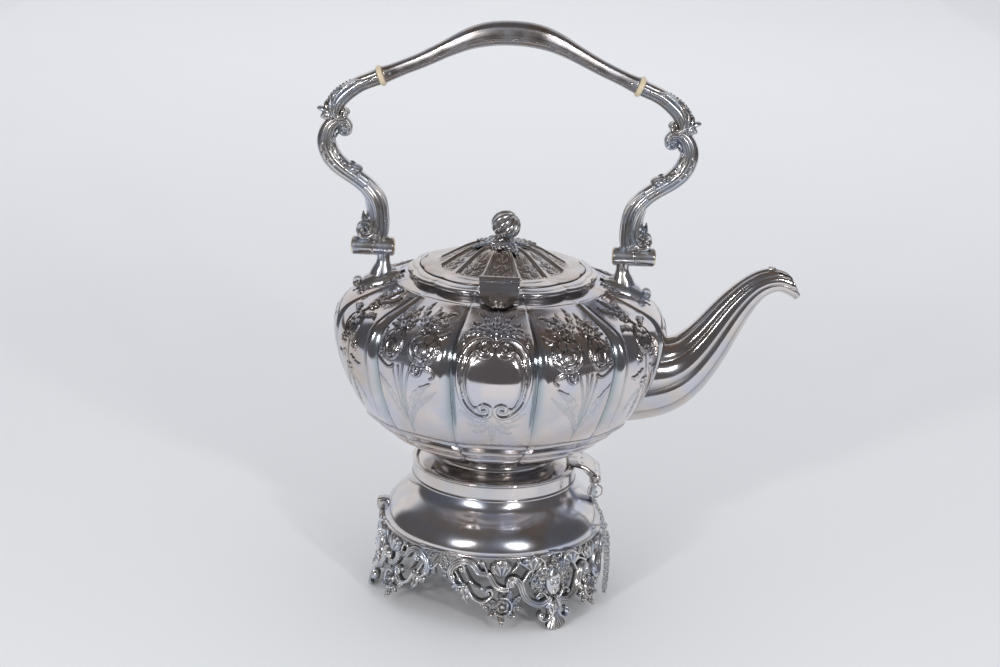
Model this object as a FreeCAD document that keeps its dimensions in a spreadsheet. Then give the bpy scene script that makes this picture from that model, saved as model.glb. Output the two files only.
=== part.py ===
import FreeCAD, Part
import Sketcher
import math, os
from FreeCAD import Vector as V, Placement, Rotation

# Swing-handled kettle on a burner stand, modelled in millimetres.
# Frame: +Z up, +X towards the spout, origin on the stand's vertical axis at table level.

doc = FreeCAD.newDocument("kettle_on_stand")
sheet = doc.addObject("Spreadsheet::Sheet", "dims")

CELLS = [
    # stand
    ("collar_outer", 49.2, "stand collar outer radius"),
    ("collar_inner", 48.0, "stand collar inner radius"),
    ("collar_base", 73.1, "height of the collar's lower edge"),
    ("collar_tall", 10.8, "height of the collar band"),
    ("ledge_inner", 43.6, "inner radius of the ledge the kettle foot rests on"),
    ("ledge_level", 7.2, "ledge top above the collar's lower edge"),
    ("drum_base", 45.0, "height of the drum's lower rim"),
    ("drum_radius", 65.8, "largest drum radius"),
    ("drum_neck", 48.0, "drum radius under the collar"),
    ("drum_wall", 1.2, "drum sheet thickness"),
    ("foot_radius", 72.6, "radius of the foot tips at the table"),
    ("foot_turn", 63.5, "plan angle of the first foot"),
    ("foot_tall", 45.0, "height of the feet castings"),
    # stand hinge
    ("hinge_reach", 60.8, "distance of the kettle hinge from the axis"),
    ("hinge_level", 76.2, "height of the kettle hinge axis"),
    ("hinge_barrel", 3.6, "kettle hinge barrel radius"),
    ("lock_shaft", 1.7, "lock pin shaft radius"),
    ("lock_bore", 1.75, "lock pin bore radius"),
    # kettle
    ("kettle_radius", 98.2, "largest body radius"),
    ("kettle_wall", 1.2, "body sheet thickness"),
    ("groove_cutter", 2.9, "radius of the twelve lobe grooves"),
    ("mouth_radius", 43.5, "mouth opening radius"),
    ("rim_radius", 54.8, "mouth collar outer radius"),
    ("rim_level", 198.6, "height of the mouth collar's seat"),
    ("spool_neck", 31.0, "kettle foot neck radius"),
    ("spool_rim", 46.4, "kettle foot rim radius"),
    # handle
    ("swing_reach", 76.4, "joint between the two barrel halves from the axis"),
    ("swing_level", 212.0, "height of the handle pivot"),
    ("swing_barrel", 6.2, "handle barrel radius"),
    ("swing_half", 12.0, "length of one barrel half"),
    ("swing_pin", 2.1, "handle pivot pin radius"),
    ("swing_bore", 2.14, "handle pivot bore radius"),
    ("ring_radius", 6.2, "insulator ring radius"),
    ("ring_thick", 3.3, "insulator ring thickness"),
    ("tenon_radius", 2.6, "insulator tenon radius"),
    ("tenon_long", 8.0, "insulator tenon length each side"),
    ("grip_radius", 7.2, "grip radius at mid span"),
    ("cross_pin", 0.8, "insulator cross pin radius"),
    # lid
    ("lid_radius", 47.8, "lid flange radius"),
    ("lid_level", 202.2, "height of the lid seat"),
    ("bezel_outer", 42.0, "lid bezel outer radius"),
    ("lidpin", 0.9, "lid hinge pin radius"),
    ("lidbore", 0.94, "lid hinge bore radius"),
    ("lidbarrel", 2.3, "lid hinge barrel radius"),
    ("lidhinge_back", -53.8, "lid hinge axis along Y"),
    ("lidhinge_level", 209.0, "lid hinge axis height"),
    ("melon_radius", 9.2, "finial melon radius"),
    ("stud_radius", 1.5, "finial stud radius"),
    # burner
    ("font_radius", 23.8, "burner font radius"),
    ("cradle_inner", 24.3, "cradle ring inner radius"),
    ("cradle_level", 47.6, "height of the cradle ring's top"),
    ("wick_radius", 3.6, "wick radius"),
]
for row, (alias, number, note) in enumerate(CELLS, start=1):
    sheet.set("A%d" % row, note)
    sheet.set("B%d" % row, "%g" % number)
    sheet.setAlias("B%d" % row, alias)
doc.recompute()
D = {alias: float(sheet.get(alias)) for alias, _, _ in CELLS}
NODES = []      # (node name, object)

def keep(node, obj):
    obj.Label = node
    NODES.append((node, obj))
    return obj

def origin_plane(body, role):
    for feature in body.Origin.OriginFeatures:
        if feature.Role == role:
            return feature
    raise RuntimeError(role)

def turned(node, points, bind=None, base=(0, 0, 0), turn=None):
    """A PartDesign body: closed polygon (r, z) revolved about the local Z axis.
    bind maps (vertex, 'r' or 'z') to a spreadsheet expression."""
    body = doc.addObject("PartDesign::Body", "body_" + node)
    sk = body.newObject("Sketcher::SketchObject", "profile_" + node)
    sk.AttachmentSupport = (origin_plane(body, "XZ_Plane"), [""])
    sk.MapMode = "FlatFace"
    n = len(points)
    for i in range(n):
        a, b = points[i], points[(i + 1) % n]
        sk.addGeometry(Part.LineSegment(V(a[0], a[1], 0), V(b[0], b[1], 0)), False)
    for i in range(n):
        sk.addConstraint(Sketcher.Constraint("Coincident", i, 2, (i + 1) % n, 1))
    for i, (r, z) in enumerate(points):
        if abs(r) < 1e-9:
            sk.addConstraint(Sketcher.Constraint("PointOnObject", i, 1, -2))
        else:
            k = sk.addConstraint(Sketcher.Constraint("DistanceX", -1, 1, i, 1, r))
            if bind and (i, "r") in bind:
                sk.renameConstraint(k, "r%d" % i)
                sk.setExpression("Constraints.r%d" % i, bind[(i, "r")])
        if abs(z) < 1e-9:
            sk.addConstraint(Sketcher.Constraint("PointOnObject", i, 1, -1))
        else:
            k = sk.addConstraint(Sketcher.Constraint("DistanceY", -1, 1, i, 1, z))
            if bind and (i, "z") in bind:
                sk.renameConstraint(k, "z%d" % i)
                sk.setExpression("Constraints.z%d" % i, bind[(i, "z")])
    rev = body.newObject("PartDesign::Revolution", "turn_" + node)
    rev.Profile = sk
    rev.ReferenceAxis = (sk, ["V_Axis"])
    rev.Angle = 360
    sk.Visibility = False
    body.Placement = Placement(V(*base), turn if turn else Rotation())
    doc.recompute()
    return keep(node, body)

def feature(node, shape, base=(0, 0, 0), turn=None):
    """A node whose shape is built by Part's functions, given in its own local frame."""
    obj = doc.addObject("Part::Feature", "piece_" + node)
    obj.Shape = shape
    obj.Placement = Placement(V(*base), turn if turn else Rotation())
    return keep(node, obj)

def spline(points, tangents=None):
    curve = Part.BSplineCurve()
    curve.interpolate([V(*p) for p in points])
    return curve.toShape()

def revolve(points_groups, angle=360.0):
    """Face bounded by alternating straight lists and ('s', list) spline lists of (r, z)."""
    edges, last = [], None
    first = None
    for group in points_groups:
        kind, pts = (group[0], group[1]) if group[0] in ("s", "l") else ("l", group)
        pts3 = [V(p[0], 0, p[1]) for p in pts]
        if last is not None and (last - pts3[0]).Length > 1e-7:
            edges.append(Part.makeLine(last, pts3[0]))
        if first is None:
            first = pts3[0]
        if kind == "s":
            c = Part.BSplineCurve()
            c.interpolate(pts3)
            edges.append(c.toShape())
        else:
            for a, b in zip(pts3, pts3[1:]):
                edges.append(Part.makeLine(a, b))
        last = pts3[-1]
    if (last - first).Length > 1e-7:
        edges.append(Part.makeLine(last, first))
    face = Part.Face(Part.Wire(edges))
    return face.revolve(V(0, 0, 0), V(0, 0, 1), angle)

def prism(points, vector, frame=None):
    """Closed polygon of 3D points extruded along vector."""
    pts = [V(*p) for p in points]
    face = Part.Face(Part.makePolygon(pts + [pts[0]]))
    solid = face.extrude(V(*vector))
    if frame:
        solid.transformShape(frame.toMatrix())
    return solid

def offset_line(points, amount):
    """Offset an open (r, z) polyline to its left by amount."""
    out = []
    n = len(points)
    for i in range(n):
        a = points[max(i - 1, 0)]
        b = points[min(i + 1, n - 1)]
        dx, dz = b[0] - a[0], b[1] - a[1]
        k = math.hypot(dx, dz)
        out.append((points[i][0] - dz / k * amount, points[i][1] + dx / k * amount))
    return out

def ell_wire(centre, direction, across, up, a, b):
    """Closed oval with half axes a along across and b along up, in the plane through centre."""
    c, u, w = V(*centre), V(*across), V(*up)
    pts = []
    for k in range(16):
        t = 2 * math.pi * k / 16
        pts.append(c + u * (a * math.cos(t)) + w * (b * math.sin(t)))
    curve = Part.BSplineCurve()
    curve.interpolate(Points=pts, PeriodicFlag=True)
    return Part.Wire(curve.toShape())

# ---------------------------------------------------------------- kettle body
# Outer meridian from the base to the mouth.
BODY = [(20.0, 90.6), (34.0, 91.2), (45.0, 93.6), (54.9, 98.4), (63.7, 104.3), (73.4, 112.2), (83.2, 122.4),
        (90.4, 135.0), (95.8, 150.0), (98.2, 165.0), (97.6, 171.0), (95.6, 177.0), (92.0, 181.6), (86.0, 185.5),
        (78.0, 188.9), (68.0, 192.8), (60.0, 196.3), (55.0, 198.6), (49.0, 200.2), (44.0, 200.8)]
scale_r = D["kettle_radius"] / 98.2
BODY = [(r * scale_r, z) for r, z in BODY]
IN = offset_line(BODY, D["kettle_wall"])
IN = [(max(r, 0.5), z) for r, z in IN]
mouth = D["mouth_radius"]

def body_outer():
    top = [(r, z) for r, z in BODY]
    return revolve([("l", [(0.0, 90.6), (20.0 * scale_r, 90.6)]), ("s", top), ("l", [top[-1], (0.0, top[-1][1]), (0.0, 90.6)])])

def body_inner():
    inn = list(IN)
    z0 = inn[0][1]
    return revolve([("l", [(0.0, z0), inn[0]]), ("s", inn), ("l", [inn[-1], (mouth, inn[-1][1]), (mouth, 206.0), (0.0, 206.0), (0.0, z0)])])

LOBE_ANGLES = [15.0 + 30.0 * k for k in range(12)]
GROOVE = [(62.0, 102.2), (73.4, 111.4), (83.2, 121.6), (90.4, 134.5), (95.8, 150.0), (98.2, 165.0), (97.6, 171.2), (95.6, 177.5), (91.4, 182.9)]

def groove_pipe(radius, lift):
    pts = [(r * scale_r, z) for r, z in GROOVE]
    pts = offset_line(pts, -lift)
    c = Part.BSplineCurve()
    c.interpolate([V(r, 0, z) for r, z in pts])
    wire = Part.Wire(c.toShape())
    d = c.tangent(c.FirstParameter)[0]
    circ = Part.Wire(Part.makeCircle(radius, V(pts[0][0], 0, pts[0][1]), d))
    pipe = wire.makePipeShell([circ], True, False)
    a = Part.makeSphere(radius, V(pts[0][0], 0, pts[0][1]))
    b = Part.makeSphere(radius, V(pts[-1][0], 0, pts[-1][1]))
    return pipe

outer = body_outer()
g = D["groove_cutter"]
cut_out = groove_pipe(g, 1.5)
cut_in = groove_pipe(g + D["kettle_wall"], 1.5)

def wedge(solid):
    """Thirty degree slice centred on +X."""
    cutter = Part.makeCylinder(150, 140, V(0, 0, 80), V(0, 0, 1), 30.0)
    cutter.rotate(V(0, 0, 0), V(0, 0, 1), -15.0)
    return solid.common(cutter)

def turn_wedge(points_groups):
    w = revolve(points_groups, 30.0)
    w.rotate(V(0, 0, 0), V(0, 0, 1), -15.0)
    return w

inn = list(IN)
outer_w = turn_wedge([("l", [(0.0, 90.6), (20.0 * scale_r, 90.6)]), ("s", list(BODY)), ("l", [BODY[-1], (0.0, BODY[-1][1]), (0.0, 90.6)])])
inner_w = turn_wedge([("l", [(0.0, inn[0][1]), inn[0]]), ("s", inn), ("l", [inn[-1], (mouth, inn[-1][1]), (mouth, 206.0), (0.0, 206.0), (0.0, inn[0][1])])])
one = outer_w.cut(cut_out).cut(inner_w.cut(cut_in))
one = max(one.Solids, key=lambda s: s.Volume)
print("wedge", one.isValid(), round(one.Volume), outer_w.Volume, inner_w.Volume)
slices = []
for ang in LOBE_ANGLES:
    a = one.copy()
    a.rotate(V(0, 0, 0), V(0, 0, 1), ang)
    slices.append(a)
shell = slices[0].fuse(slices[1:]).removeSplitter()
# strainer holes behind the spout
for dy, dz in [(0, 0), (7, 0), (-7, 0), (3.5, 6), (-3.5, 6), (3.5, -6), (-3.5, -6), (0, 12), (0, -12)]:
    shell = shell.cut(Part.makeCylinder(1.8, 30, V(78, dy, 140 + dz), V(1, 0, 0)))
outer_solid = outer     # plain envelope, used to trim the fittings
feature("kettle_body", shell.Solids[0] if len(shell.Solids) == 1 else shell)
print("kettle body", shell.ShapeType, len(shell.Solids), round(shell.Volume), shell.isValid())

# ---------------------------------------------------------------- kettle foot spool
neck = D["spool_neck"]; rimr = D["spool_rim"]
SP = [(40.0, 91.6), (36.5, 91.2), (33.5, 90.3), (neck + 0.8, 89.2), (neck, 87.9), (neck + 1.2, 86.6), (35.5, 85.2), (40.0, 84.2), (44.5, 83.4), (rimr, 82.6)]
z_rest = D["collar_base"] + D["ledge_level"]
spool = revolve([("s", SP), ("l", [SP[-1], (rimr, 81.2), (rimr - 0.6, z_rest), (44.0, z_rest), (44.0, 81.6)]),
                 ("s", [(44.0, 81.6), (39.6, 82.8), (34.6, 84.0), (neck - 0.6, 85.4), (neck - 2.0, 87.6), (neck - 1.0, 89.4), (31.6, 90.8), (33.0, 91.0)]),
                 ("l", [(33.0, 91.0), (33.0, 96.0), (40.0, 96.0), (40.0, 91.6)])])
spool = spool.cut(outer_solid)
spool = max(spool.Solids, key=lambda s: s.Volume)
feature("kettle_foot", spool)

# ---------------------------------------------------------------- mouth collar (moulded rim)
R = D["rim_radius"]; zl = D["lid_level"]
rim = revolve([("l", [(mouth, 196.5), (mouth, zl), (48.1, zl), (48.1, 203.3), (49.0, 203.6), (50.2, 203.2), (50.9, 202.0), (52.6, 201.9), (R - 0.6, 201.4), (R, 200.4), (R - 0.1, 199.4), (R - 1.4, 198.6), (R - 1.4, 196.5)])])
rim = rim.cut(outer_solid)
rim = max(rim.Solids, key=lambda s: s.Volume)
lip = revolve([("l", [(mouth, 199.0), (mouth, 201.0), (44.6, 201.0), (44.6, 199.0)])])
scallops = []
for k in range(12):
    ang = math.radians(15 + 30 * k)
    scallops.append(Part.makeCylinder(2.0, 12, V((R + 1.2) * math.cos(ang), (R + 1.2) * math.sin(ang), 195.0), V(0, 0, 1)))
rim = rim.cut(scallops)
feature("mouth_collar", rim)

# ---------------------------------------------------------------- spout
SPOUT = [  # centre x, z, half height in the plane, half width across, direction angle in the plane (degrees)
    (80.0, 138.0, 29.0, 18.6, -20.0),
    (90.0, 140.0, 26.8, 18.0, -6.0),
    (100.5, 142.6, 23.2, 16.2, 16.0),
    (109.3, 147.2, 19.2, 14.0, 31.0),
    (119.0, 157.0, 15.4, 12.0, 46.0),
    (128.4, 170.6, 12.6, 10.4, 55.0),
    (136.6, 183.2, 10.6, 9.2, 55.0),
    (144.4, 192.8, 9.0, 8.2, 46.0),
    (152.0, 199.0, 8.0, 7.6, 30.0),
    (160.0, 201.6, 7.2, 7.0, 6.0),
    (168.0, 200.4, 6.6, 6.6, -20.0),
    (176.0, 196.0, 6.2, 6.4, -36.0),
]

def spout_loft(grow):
    wires = []
    for x, z, a, b, deg in SPOUT:
        t = math.radians(deg)
        d = (math.cos(t), 0, math.sin(t))
        upv = (-math.sin(t), 0, math.cos(t))
        wires.append(ell_wire((x, 0, z), d, upv, (0, 1, 0), a + grow, b + grow))
    return Part.makeLoft(wires, True, False)

sp_out = spout_loft(0.0)
sp_in = spout_loft(-1.2)
spout = sp_out.cut(sp_in)
spout = spout.cut(outer_solid)
# pouring lip: slanted mouth from the top bead down to the tip
lipcut = prism([(158.6, -20, 209.4), (174.6, -20, 195.6), (190, -20, 195.0), (190, -20, 225), (158.6, -20, 225)], (0, 40, 0))
spout = spout.cut(lipcut)
spout = max(spout.Solids, key=lambda s: s.Volume)
undercut = prism([(170, -20, 180), (174.2, -20, 195.9), (190, -20, 200), (190, -20, 180)], (0, 40, 0))
spout = spout.cut(undercut)
spout = max(spout.Solids, key=lambda s: s.Volume)
feature("spout", spout)
print("spout", len(spout.Solids), round(spout.Volume), spout.isValid(), spout.BoundBox)

# ---------------------------------------------------------------- handle brackets, pins, arms
sr = D["swing_reach"]; sl = D["swing_level"]; sb = D["swing_barrel"]; half = D["swing_half"]; bore = D["swing_bore"]

def skin(lo, hi, thick):
    """Thin shell lying on the shoulder between two meridian points."""
    pts = [p for p in BODY if hi[0] <= p[0] <= lo[0] and p[1] > 170]
    up = offset_line(pts, -thick)
    return revolve([("s", pts), ("l", [pts[-1], up[-1]]), ("s", list(reversed(up))), ("l", [up[0], pts[0]])])

def bracket():
    barrel = Part.makeCylinder(sb, half - 0.1, V(sr - half, 0, sl), V(1, 0, 0))
    post = prism([(66.4, -4.0, 209.0), (75.0, -4.0, 209.0), (74.0, -4.0, 203.0), (74.6, -4.0, 197.5), (76.5, -4.0, 186.0), (62.0, -4.0, 186.0), (65.6, -4.0, 198.0), (67.4, -4.0, 203.0)], (0, 8.0, 0))
    # arched base plate with a curl at its outer end and a leaf cusp at its inner end
    plate = prism([(59.0, -7.5, 197.5), (62.5, -7.5, 199.8), (67.5, -7.5, 200.2), (74.5, -7.5, 198.4), (81.0, -7.5, 194.0), (84.0, -7.5, 191.0), (84.0, -7.5, 180.0), (59.0, -7.5, 180.0)], (0, 15.0, 0))
    curl = Part.makeCylinder(2.9, 15.0, V(84.8, -7.5, 189.3), V(0, 1, 0))
    shape = barrel.fuse([post, plate, curl])
    shape = shape.cut(Part.makeCylinder(bore, 40, V(55, 0, sl), V(1, 0, 0)))
    shape = shape.cut(outer_solid)
    shape = max(shape.Solids, key=lambda s: s.Volume)
    return shape.removeSplitter()

ARM = [  # centre x, z, half width in the plane, half thickness across
    (77.4, 216.6, 8.6, 5.4), (76.6, 221.0, 8.4, 5.4), (74.6, 226.5, 6.6, 5.2), (73.5, 233.0, 5.6, 5.0), (75.2, 240.5, 5.4, 5.0),
    (80.2, 247.2, 5.4, 5.0), (87.2, 252.6, 5.5, 5.2), (94.8, 257.8, 5.8, 5.4), (101.0, 264.4, 6.0, 5.4), (104.2, 271.8, 6.3, 5.4),
    (103.2, 279.4, 6.0, 5.6), (100.6, 286.0, 6.6, 5.6), (98.8, 292.4, 6.0, 5.4), (96.0, 298.6, 5.4, 5.2), (91.4, 303.8, 5.0, 5.0),
    (85.6, 307.4, 4.7, 4.8), (80.2, 309.8, 4.8, 4.8), (75.7, 311.6, 5.0, 5.0)]

def arm():
    wires = []
    n = len(ARM)
    for i, (x, z, a, b) in enumerate(ARM):
        p, q = ARM[max(i - 1, 0)], ARM[min(i + 1, n - 1)]
        dx, dz = q[0] - p[0], q[1] - p[1]
        if i == n - 1:
            dx, dz = -math.cos(math.radians(22)), math.sin(math.radians(22))
        if i == 0:
            dx, dz = 0.0, 1.0
        k = math.hypot(dx, dz)
        d = (dx / k, 0, dz / k)
        across = (dz / k, 0, -dx / k)
        wires.append(ell_wire((x, 0, z), d, across, (0, 1, 0), a, b))
    stem = Part.makeLoft(wires, True, False)
    barrel = Part.makeCylinder(sb, half - 0.1, V(sr + 0.1, 0, sl), V(1, 0, 0))
    low = Part.makeCylinder(5.4, 8.6, V(95.6, -4.3, 280.6), V(0, 1, 0))
    high = Part.makeCylinder(4.0, 8.0, V(94.6, -4.0, 291.2), V(0, 1, 0))
    base = Part.makeCylinder(4.6, 9.6, V(81.0, -4.8, 222.6), V(0, 1, 0))
    bump = Part.makeCylinder(3.0, 7.0, V(89.6, -3.5, 257.4), V(0, 1, 0))
    tip = prism([(104.6, -2.0, 283.0), (109.6, -2.0, 291.4), (103.2, -2.0, 294.6), (100.0, -2.0, 288.0)], (0, 4.0, 0))
    shape = stem.fuse([barrel, low, high, base, bump, tip])
    # clear the fixed half of the barrel all round the swing
    shape = shape.cut(Part.makeCylinder(sb + 0.25, 30, V(sr + 0.1 - 30, 0, sl), V(1, 0, 0)))
    shape = shape.cut(Part.makeCylinder(bore, 40, V(60, 0, sl), V(1, 0, 0)))
    shape = max(shape.Solids, key=lambda s: s.Volume)
    return shape

RING = V(74.1, 0, 312.3)          # centre of the insulator ring
TILT = math.radians(22.0)
along = V(-math.cos(TILT), 0, math.sin(TILT))   # from arm to grip, right-hand side
rt = D["ring_thick"] / 2.0
tr, tl = D["tenon_radius"], D["tenon_long"]

def ring_piece():
    disc = Part.makeCylinder(D["ring_radius"], 2 * rt, RING - along * rt, along)
    disc = disc.makeFillet(1.1, disc.Edges)
    tenon = Part.makeCylinder(tr, 2 * tl + 2 * rt, RING - along * (rt + tl), along)
    holes = []
    for s in (-1, 1):
        c = RING + along * (s * (rt + 4.2))
        holes.append(Part.makeCylinder(D["cross_pin"], 30, V(c.x, -15, c.z), V(0, 1, 0)))
    return disc.fuse(tenon).removeSplitter().cut(holes)

arm_shape = arm()
# trim the arm at the ring face, bore its socket and the cross-pin hole
face_cut = Part.makeCylinder(40, 60, RING - along * rt, along)
arm_shape = arm_shape.cut(face_cut)
arm_shape = arm_shape.cut(Part.makeCylinder(tr + 0.03, tl + 0.4, RING - along * (rt + tl + 0.4), along))
c_arm = RING - along * (rt + 4.2)
c_grip = RING + along * (rt + 4.2)
arm_shape = arm_shape.cut(Part.makeCylinder(D["cross_pin"], 30, V(c_arm.x, -15, c_arm.z), V(0, 1, 0)))
arm_shape = max(arm_shape.Solids, key=lambda s: s.Volume)

GRIP = [(68.4, 314.6, 4.7), (62.0, 317.4, 4.4), (54.0, 320.9, 4.4), (46.0, 324.8, 4.6), (38.0, 329.0, 4.9), (30.0, 333.0, 5.6), (22.0, 336.4, 6.4),
        (13.0, 338.7, 7.0), (4.0, 339.6, 7.2), (-4.0, 339.6, 7.2), (-13.0, 338.7, 7.0), (-22.0, 336.4, 6.4), (-30.0, 333.0, 5.6), (-38.0, 329.0, 4.9),
        (-46.0, 324.8, 4.6), (-54.0, 320.9, 4.4), (-62.0, 317.4, 4.4), (-68.4, 314.6, 4.7)]

def grip():
    pts = [(RING.x, RING.z, 4.9)] + GRIP + [(-RING.x, RING.z, 4.9)]
    wires = []
    n = len(pts)
    for i, (x, z, a) in enumerate(pts):
        p, q = pts[max(i - 1, 0)], pts[min(i + 1, n - 1)]
        dx, dz = q[0] - p[0], q[1] - p[1]
        k = math.hypot(dx, dz)
        d = (dx / k, 0, dz / k)
        across = (dz / k, 0, -dx / k)
        wires.append(ell_wire((x, 0, z), d, across, (0, 1, 0), a, a * 0.96))
    solid = Part.makeLoft(wires, True, False)
    solid = solid.cut(Part.makeCylinder(40, 60, RING + along * rt, along * -1))
    left = V(-RING.x, 0, RING.z)
    al = V(-along.x, 0, along.z)
    solid = solid.cut(Part.makeCylinder(40, 60, left + al * rt, al * -1))
    solid = solid.cut(Part.makeCylinder(tr + 0.03, tl + 0.4, RING + along * rt, along))
    solid = solid.cut(Part.makeCylinder(tr + 0.03, tl + 0.4, left + al * rt, al))
    for s in (1, -1):
        solid = solid.cut(Part.makeCylinder(D["cross_pin"], 30, V(s * c_grip.x, -15, c_grip.z), V(0, 1, 0)))
    return max(solid.Solids, key=lambda s: s.Volume)

grip_shape = grip()
flip = Rotation(V(0, 0, 1), 180)
br = bracket()
feature("handle_bracket_right", br)
feature("handle_bracket_left", br.copy(), turn=flip)
feature("handle_arm_right", arm_shape)
feature("handle_arm_left", arm_shape.copy(), turn=flip)
rp = ring_piece()
feature("insulator_ring_right", rp)
feature("insulator_ring_left", rp.copy(), turn=flip)
feature("handle_grip", grip_shape)
pins = []
for s in (1, -1):
    for c, hh in ((c_arm, 5.0), (c_grip, 4.8)):
        pins.append(Part.makeCylinder(D["cross_pin"], 2 * hh, V(s * c.x, -hh, c.z), V(0, 1, 0)))
feature("insulator_pins", Part.makeCompound(pins))
print("arm", round(arm_shape.Volume), arm_shape.isValid(), "grip", round(grip_shape.Volume), grip_shape.isValid(), "bracket", round(br.Volume), br.isValid())

def pivot_pin(node, side):
    """Headed pin through both barrel halves, along local Z, then laid along X."""
    long = 2 * half
    pts = [(0.0, -1.0), (4.6, -1.0), (5.2, -0.4), (5.2, 0.0), (D["swing_pin"], 0.0), (D["swing_pin"], long), (5.2, long), (5.2, long + 0.4), (4.6, long + 1.0), (0.0, long + 1.0)]
    return turned(node, pts, bind={(4, "r"): "dims.swing_pin", (5, "r"): "dims.swing_pin"},
                  base=(side * (sr - half), 0, sl), turn=Rotation(V(0, 0, 1), V(side, 0, 0)))
pivot_pin("handle_pin_right", 1)
pivot_pin("handle_pin_left", -1)

# ---------------------------------------------------------------- stand: collar, drum
turned("stand_collar",
       [(46.8, 0.0), (49.0, 0.0), (49.5, 0.7), (49.5, 1.3), (D["collar_outer"], 1.9), (D["collar_outer"], 9.3), (49.6, 9.9), (49.5, 10.5), (49.0, D["collar_tall"]),
        (D["collar_inner"], D["collar_tall"]), (D["collar_inner"], D["ledge_level"]), (D["ledge_inner"], D["ledge_level"]), (D["ledge_inner"], 6.2), (46.8, 5.4)],
       bind={(4, "r"): "dims.collar_outer", (5, "r"): "dims.collar_outer", (8, "z"): "dims.collar_tall", (9, "z"): "dims.collar_tall",
             (9, "r"): "dims.collar_inner", (10, "r"): "dims.collar_inner", (10, "z"): "dims.ledge_level", (11, "z"): "dims.ledge_level",
             (11, "r"): "dims.ledge_inner", (12, "r"): "dims.ledge_inner"},
       base=(0, 0, D["collar_base"]))
DRUM = [(48.0, 73.1), (48.6, 70.2), (50.4, 67.3), (53.4, 64.6), (57.2, 61.4), (60.9, 57.8), (63.8, 53.8), (65.4, 50.2), (65.8, 47.4), (65.5, 45.9), (64.9, 45.0)]
dk = D["drum_radius"] / 65.8
DRUM = [(r * (dk if r > 50 else 1.0), z) for r, z in DRUM]
drum_in = offset_line(DRUM, -D["drum_wall"])
drum_in = [(r, z) for r, z in drum_in]
drum_in[0] = (DRUM[0][0] - D["drum_wall"], 73.1)
drum_in[-1] = (DRUM[-1][0] - D["drum_wall"], 45.0)
drum = revolve([("s", DRUM), ("l", [DRUM[-1], drum_in[-1]]), ("s", list(reversed(drum_in))), ("l", [drum_in[0], DRUM[0]])])
feature("stand_drum", drum)
drum_full = revolve([("s", DRUM), ("l", [DRUM[-1], (0.0, 45.0), (0.0, 73.1), DRUM[0]])])

# ---------------------------------------------------------------- stand: three pierced cast feet
RW = 67.0     # wrapping radius of the foot pattern
FT = D["foot_tall"]; FR = D["foot_radius"]

def sector_cut(polygon, shift=0.0):
    """Prism through the casting: polygon of (s, z), s measured round the stand at radius RW."""
    ss = [p[0] for p in polygon]
    mid = (min(ss) + max(ss)) / 2.0
    ang = math.degrees(mid / RW)
    pts = [(45.0, (s - mid), z) for s, z in polygon]
    solid = prism(pts, (45.0, 0, 0))
    solid.rotate(V(0, 0, 0), V(0, 0, 1), ang)
    return solid

HALF_OUT = [
    [(4.4, -2), (4.6, 0.5), (6.6, 2.2), (7.4, 4.0), (11.0, 3.6), (13.0, 6.4), (12.2, 10.2), (10.2, 12.8), (15.0, 14.4), (19.4, 18.6), (22.4, 22.2), (22.6, 9.0), (24.2, 7.6), (29.0, 7.0), (29.0, -2)],
    [(18.0, -2), (18.0, 6.6), (24.0, 7.4), (28.0, 9.6), (32.4, 6.4), (35.2, 11.5), (38.0, 17.0), (41.5, 20.5), (45.8, 19.4), (50.0, 15.6), (50.0, -2)],
    [(39.0, -2), (39.0, 16.6), (45.4, 18.8), (50.5, 16.2), (53.8, 21.0), (56.8, 24.6), (58.0, 29.4), (61.0, 32.0), (62.6, 36.2), (66.0, 38.4), (71.5, 37.0), (71.5, -2)],
]
HOLES = [
    [(11.6, 31.4), (15.6, 28.6), (19.6, 31.8), (24.0, 36.6), (23.6, 40.6), (16.4, 41.6), (12.2, 37.4)],
    [(28.6, 29.8), (33.0, 32.4), (34.6, 37.6), (30.6, 40.8), (27.4, 38.6)],
    [(45.4, 28.2), (49.6, 27.4), (53.4, 31.0), (51.6, 36.2), (47.2, 36.4)],
    [(34.6, 23.6), (39.6, 24.6), (42.2, 29.8), (38.8, 31.6), (35.0, 28.2)],
]

def foot():
    # meridian section of the casting: plumb under the drum, flaring out to the tip
    outer_line = [(66.6, FT), (66.6, 34.0), (67.4, 24.0), (69.2, 13.0), (FR, 0.0)]
    inner_line = [(FR - 5.2, 0.0), (65.4, 13.0), (63.9, 24.0), (63.2, 34.0), (63.2, FT)]
    face = Part.Face(Part.makePolygon([V(r, 0, z) for r, z in outer_line + inner_line + [outer_line[0]]]))
    solid = face.revolve(V(0, 0, 0), V(0, 0, 1), 119.7)
    solid.rotate(V(0, 0, 0), V(0, 0, 1), -59.85)
    cutters = []
    for poly in HALF_OUT + HOLES:
        cutters.append(sector_cut(poly))
        cutters.append(sector_cut([(-s, z) for s, z in reversed(poly)]))
    solid = solid.cut(cutters)
    solid = max(solid.Solids, key=lambda s: s.Volume)
    # raised bosses: mask, roses, side volutes
    bosses = []
    def boss(s, z, radius, r_lo, r_hi):
        a = math.degrees(s / RW)
        c = Part.makeCylinder(radius, r_hi - r_lo, V(r_lo, 0, z), V(1, 0, 0))
        c.rotate(V(0, 0, 0), V(0, 0, 1), a)
        bosses.append(c)
    boss(0, 28.5, 5.0, 65.0, 69.6)
    boss(0, 5.6, 4.6, 68.0, 72.2)
    for sg in (-1, 1):
        boss(sg * 28.0, 16.5, 5.2, 65.6, 70.0)
        boss(sg * 9.6, 7.6, 3.0, 67.6, 72.0)
        boss(sg * 25.4, 34.4, 2.8, 65.0, 68.4)
        boss(sg * 49.5, 23.6, 3.4, 64.6, 68.2)
    solid = solid.fuse(bosses)
    solid = solid.removeSplitter()
    return max(solid.Solids, key=lambda s: s.Volume)

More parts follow.
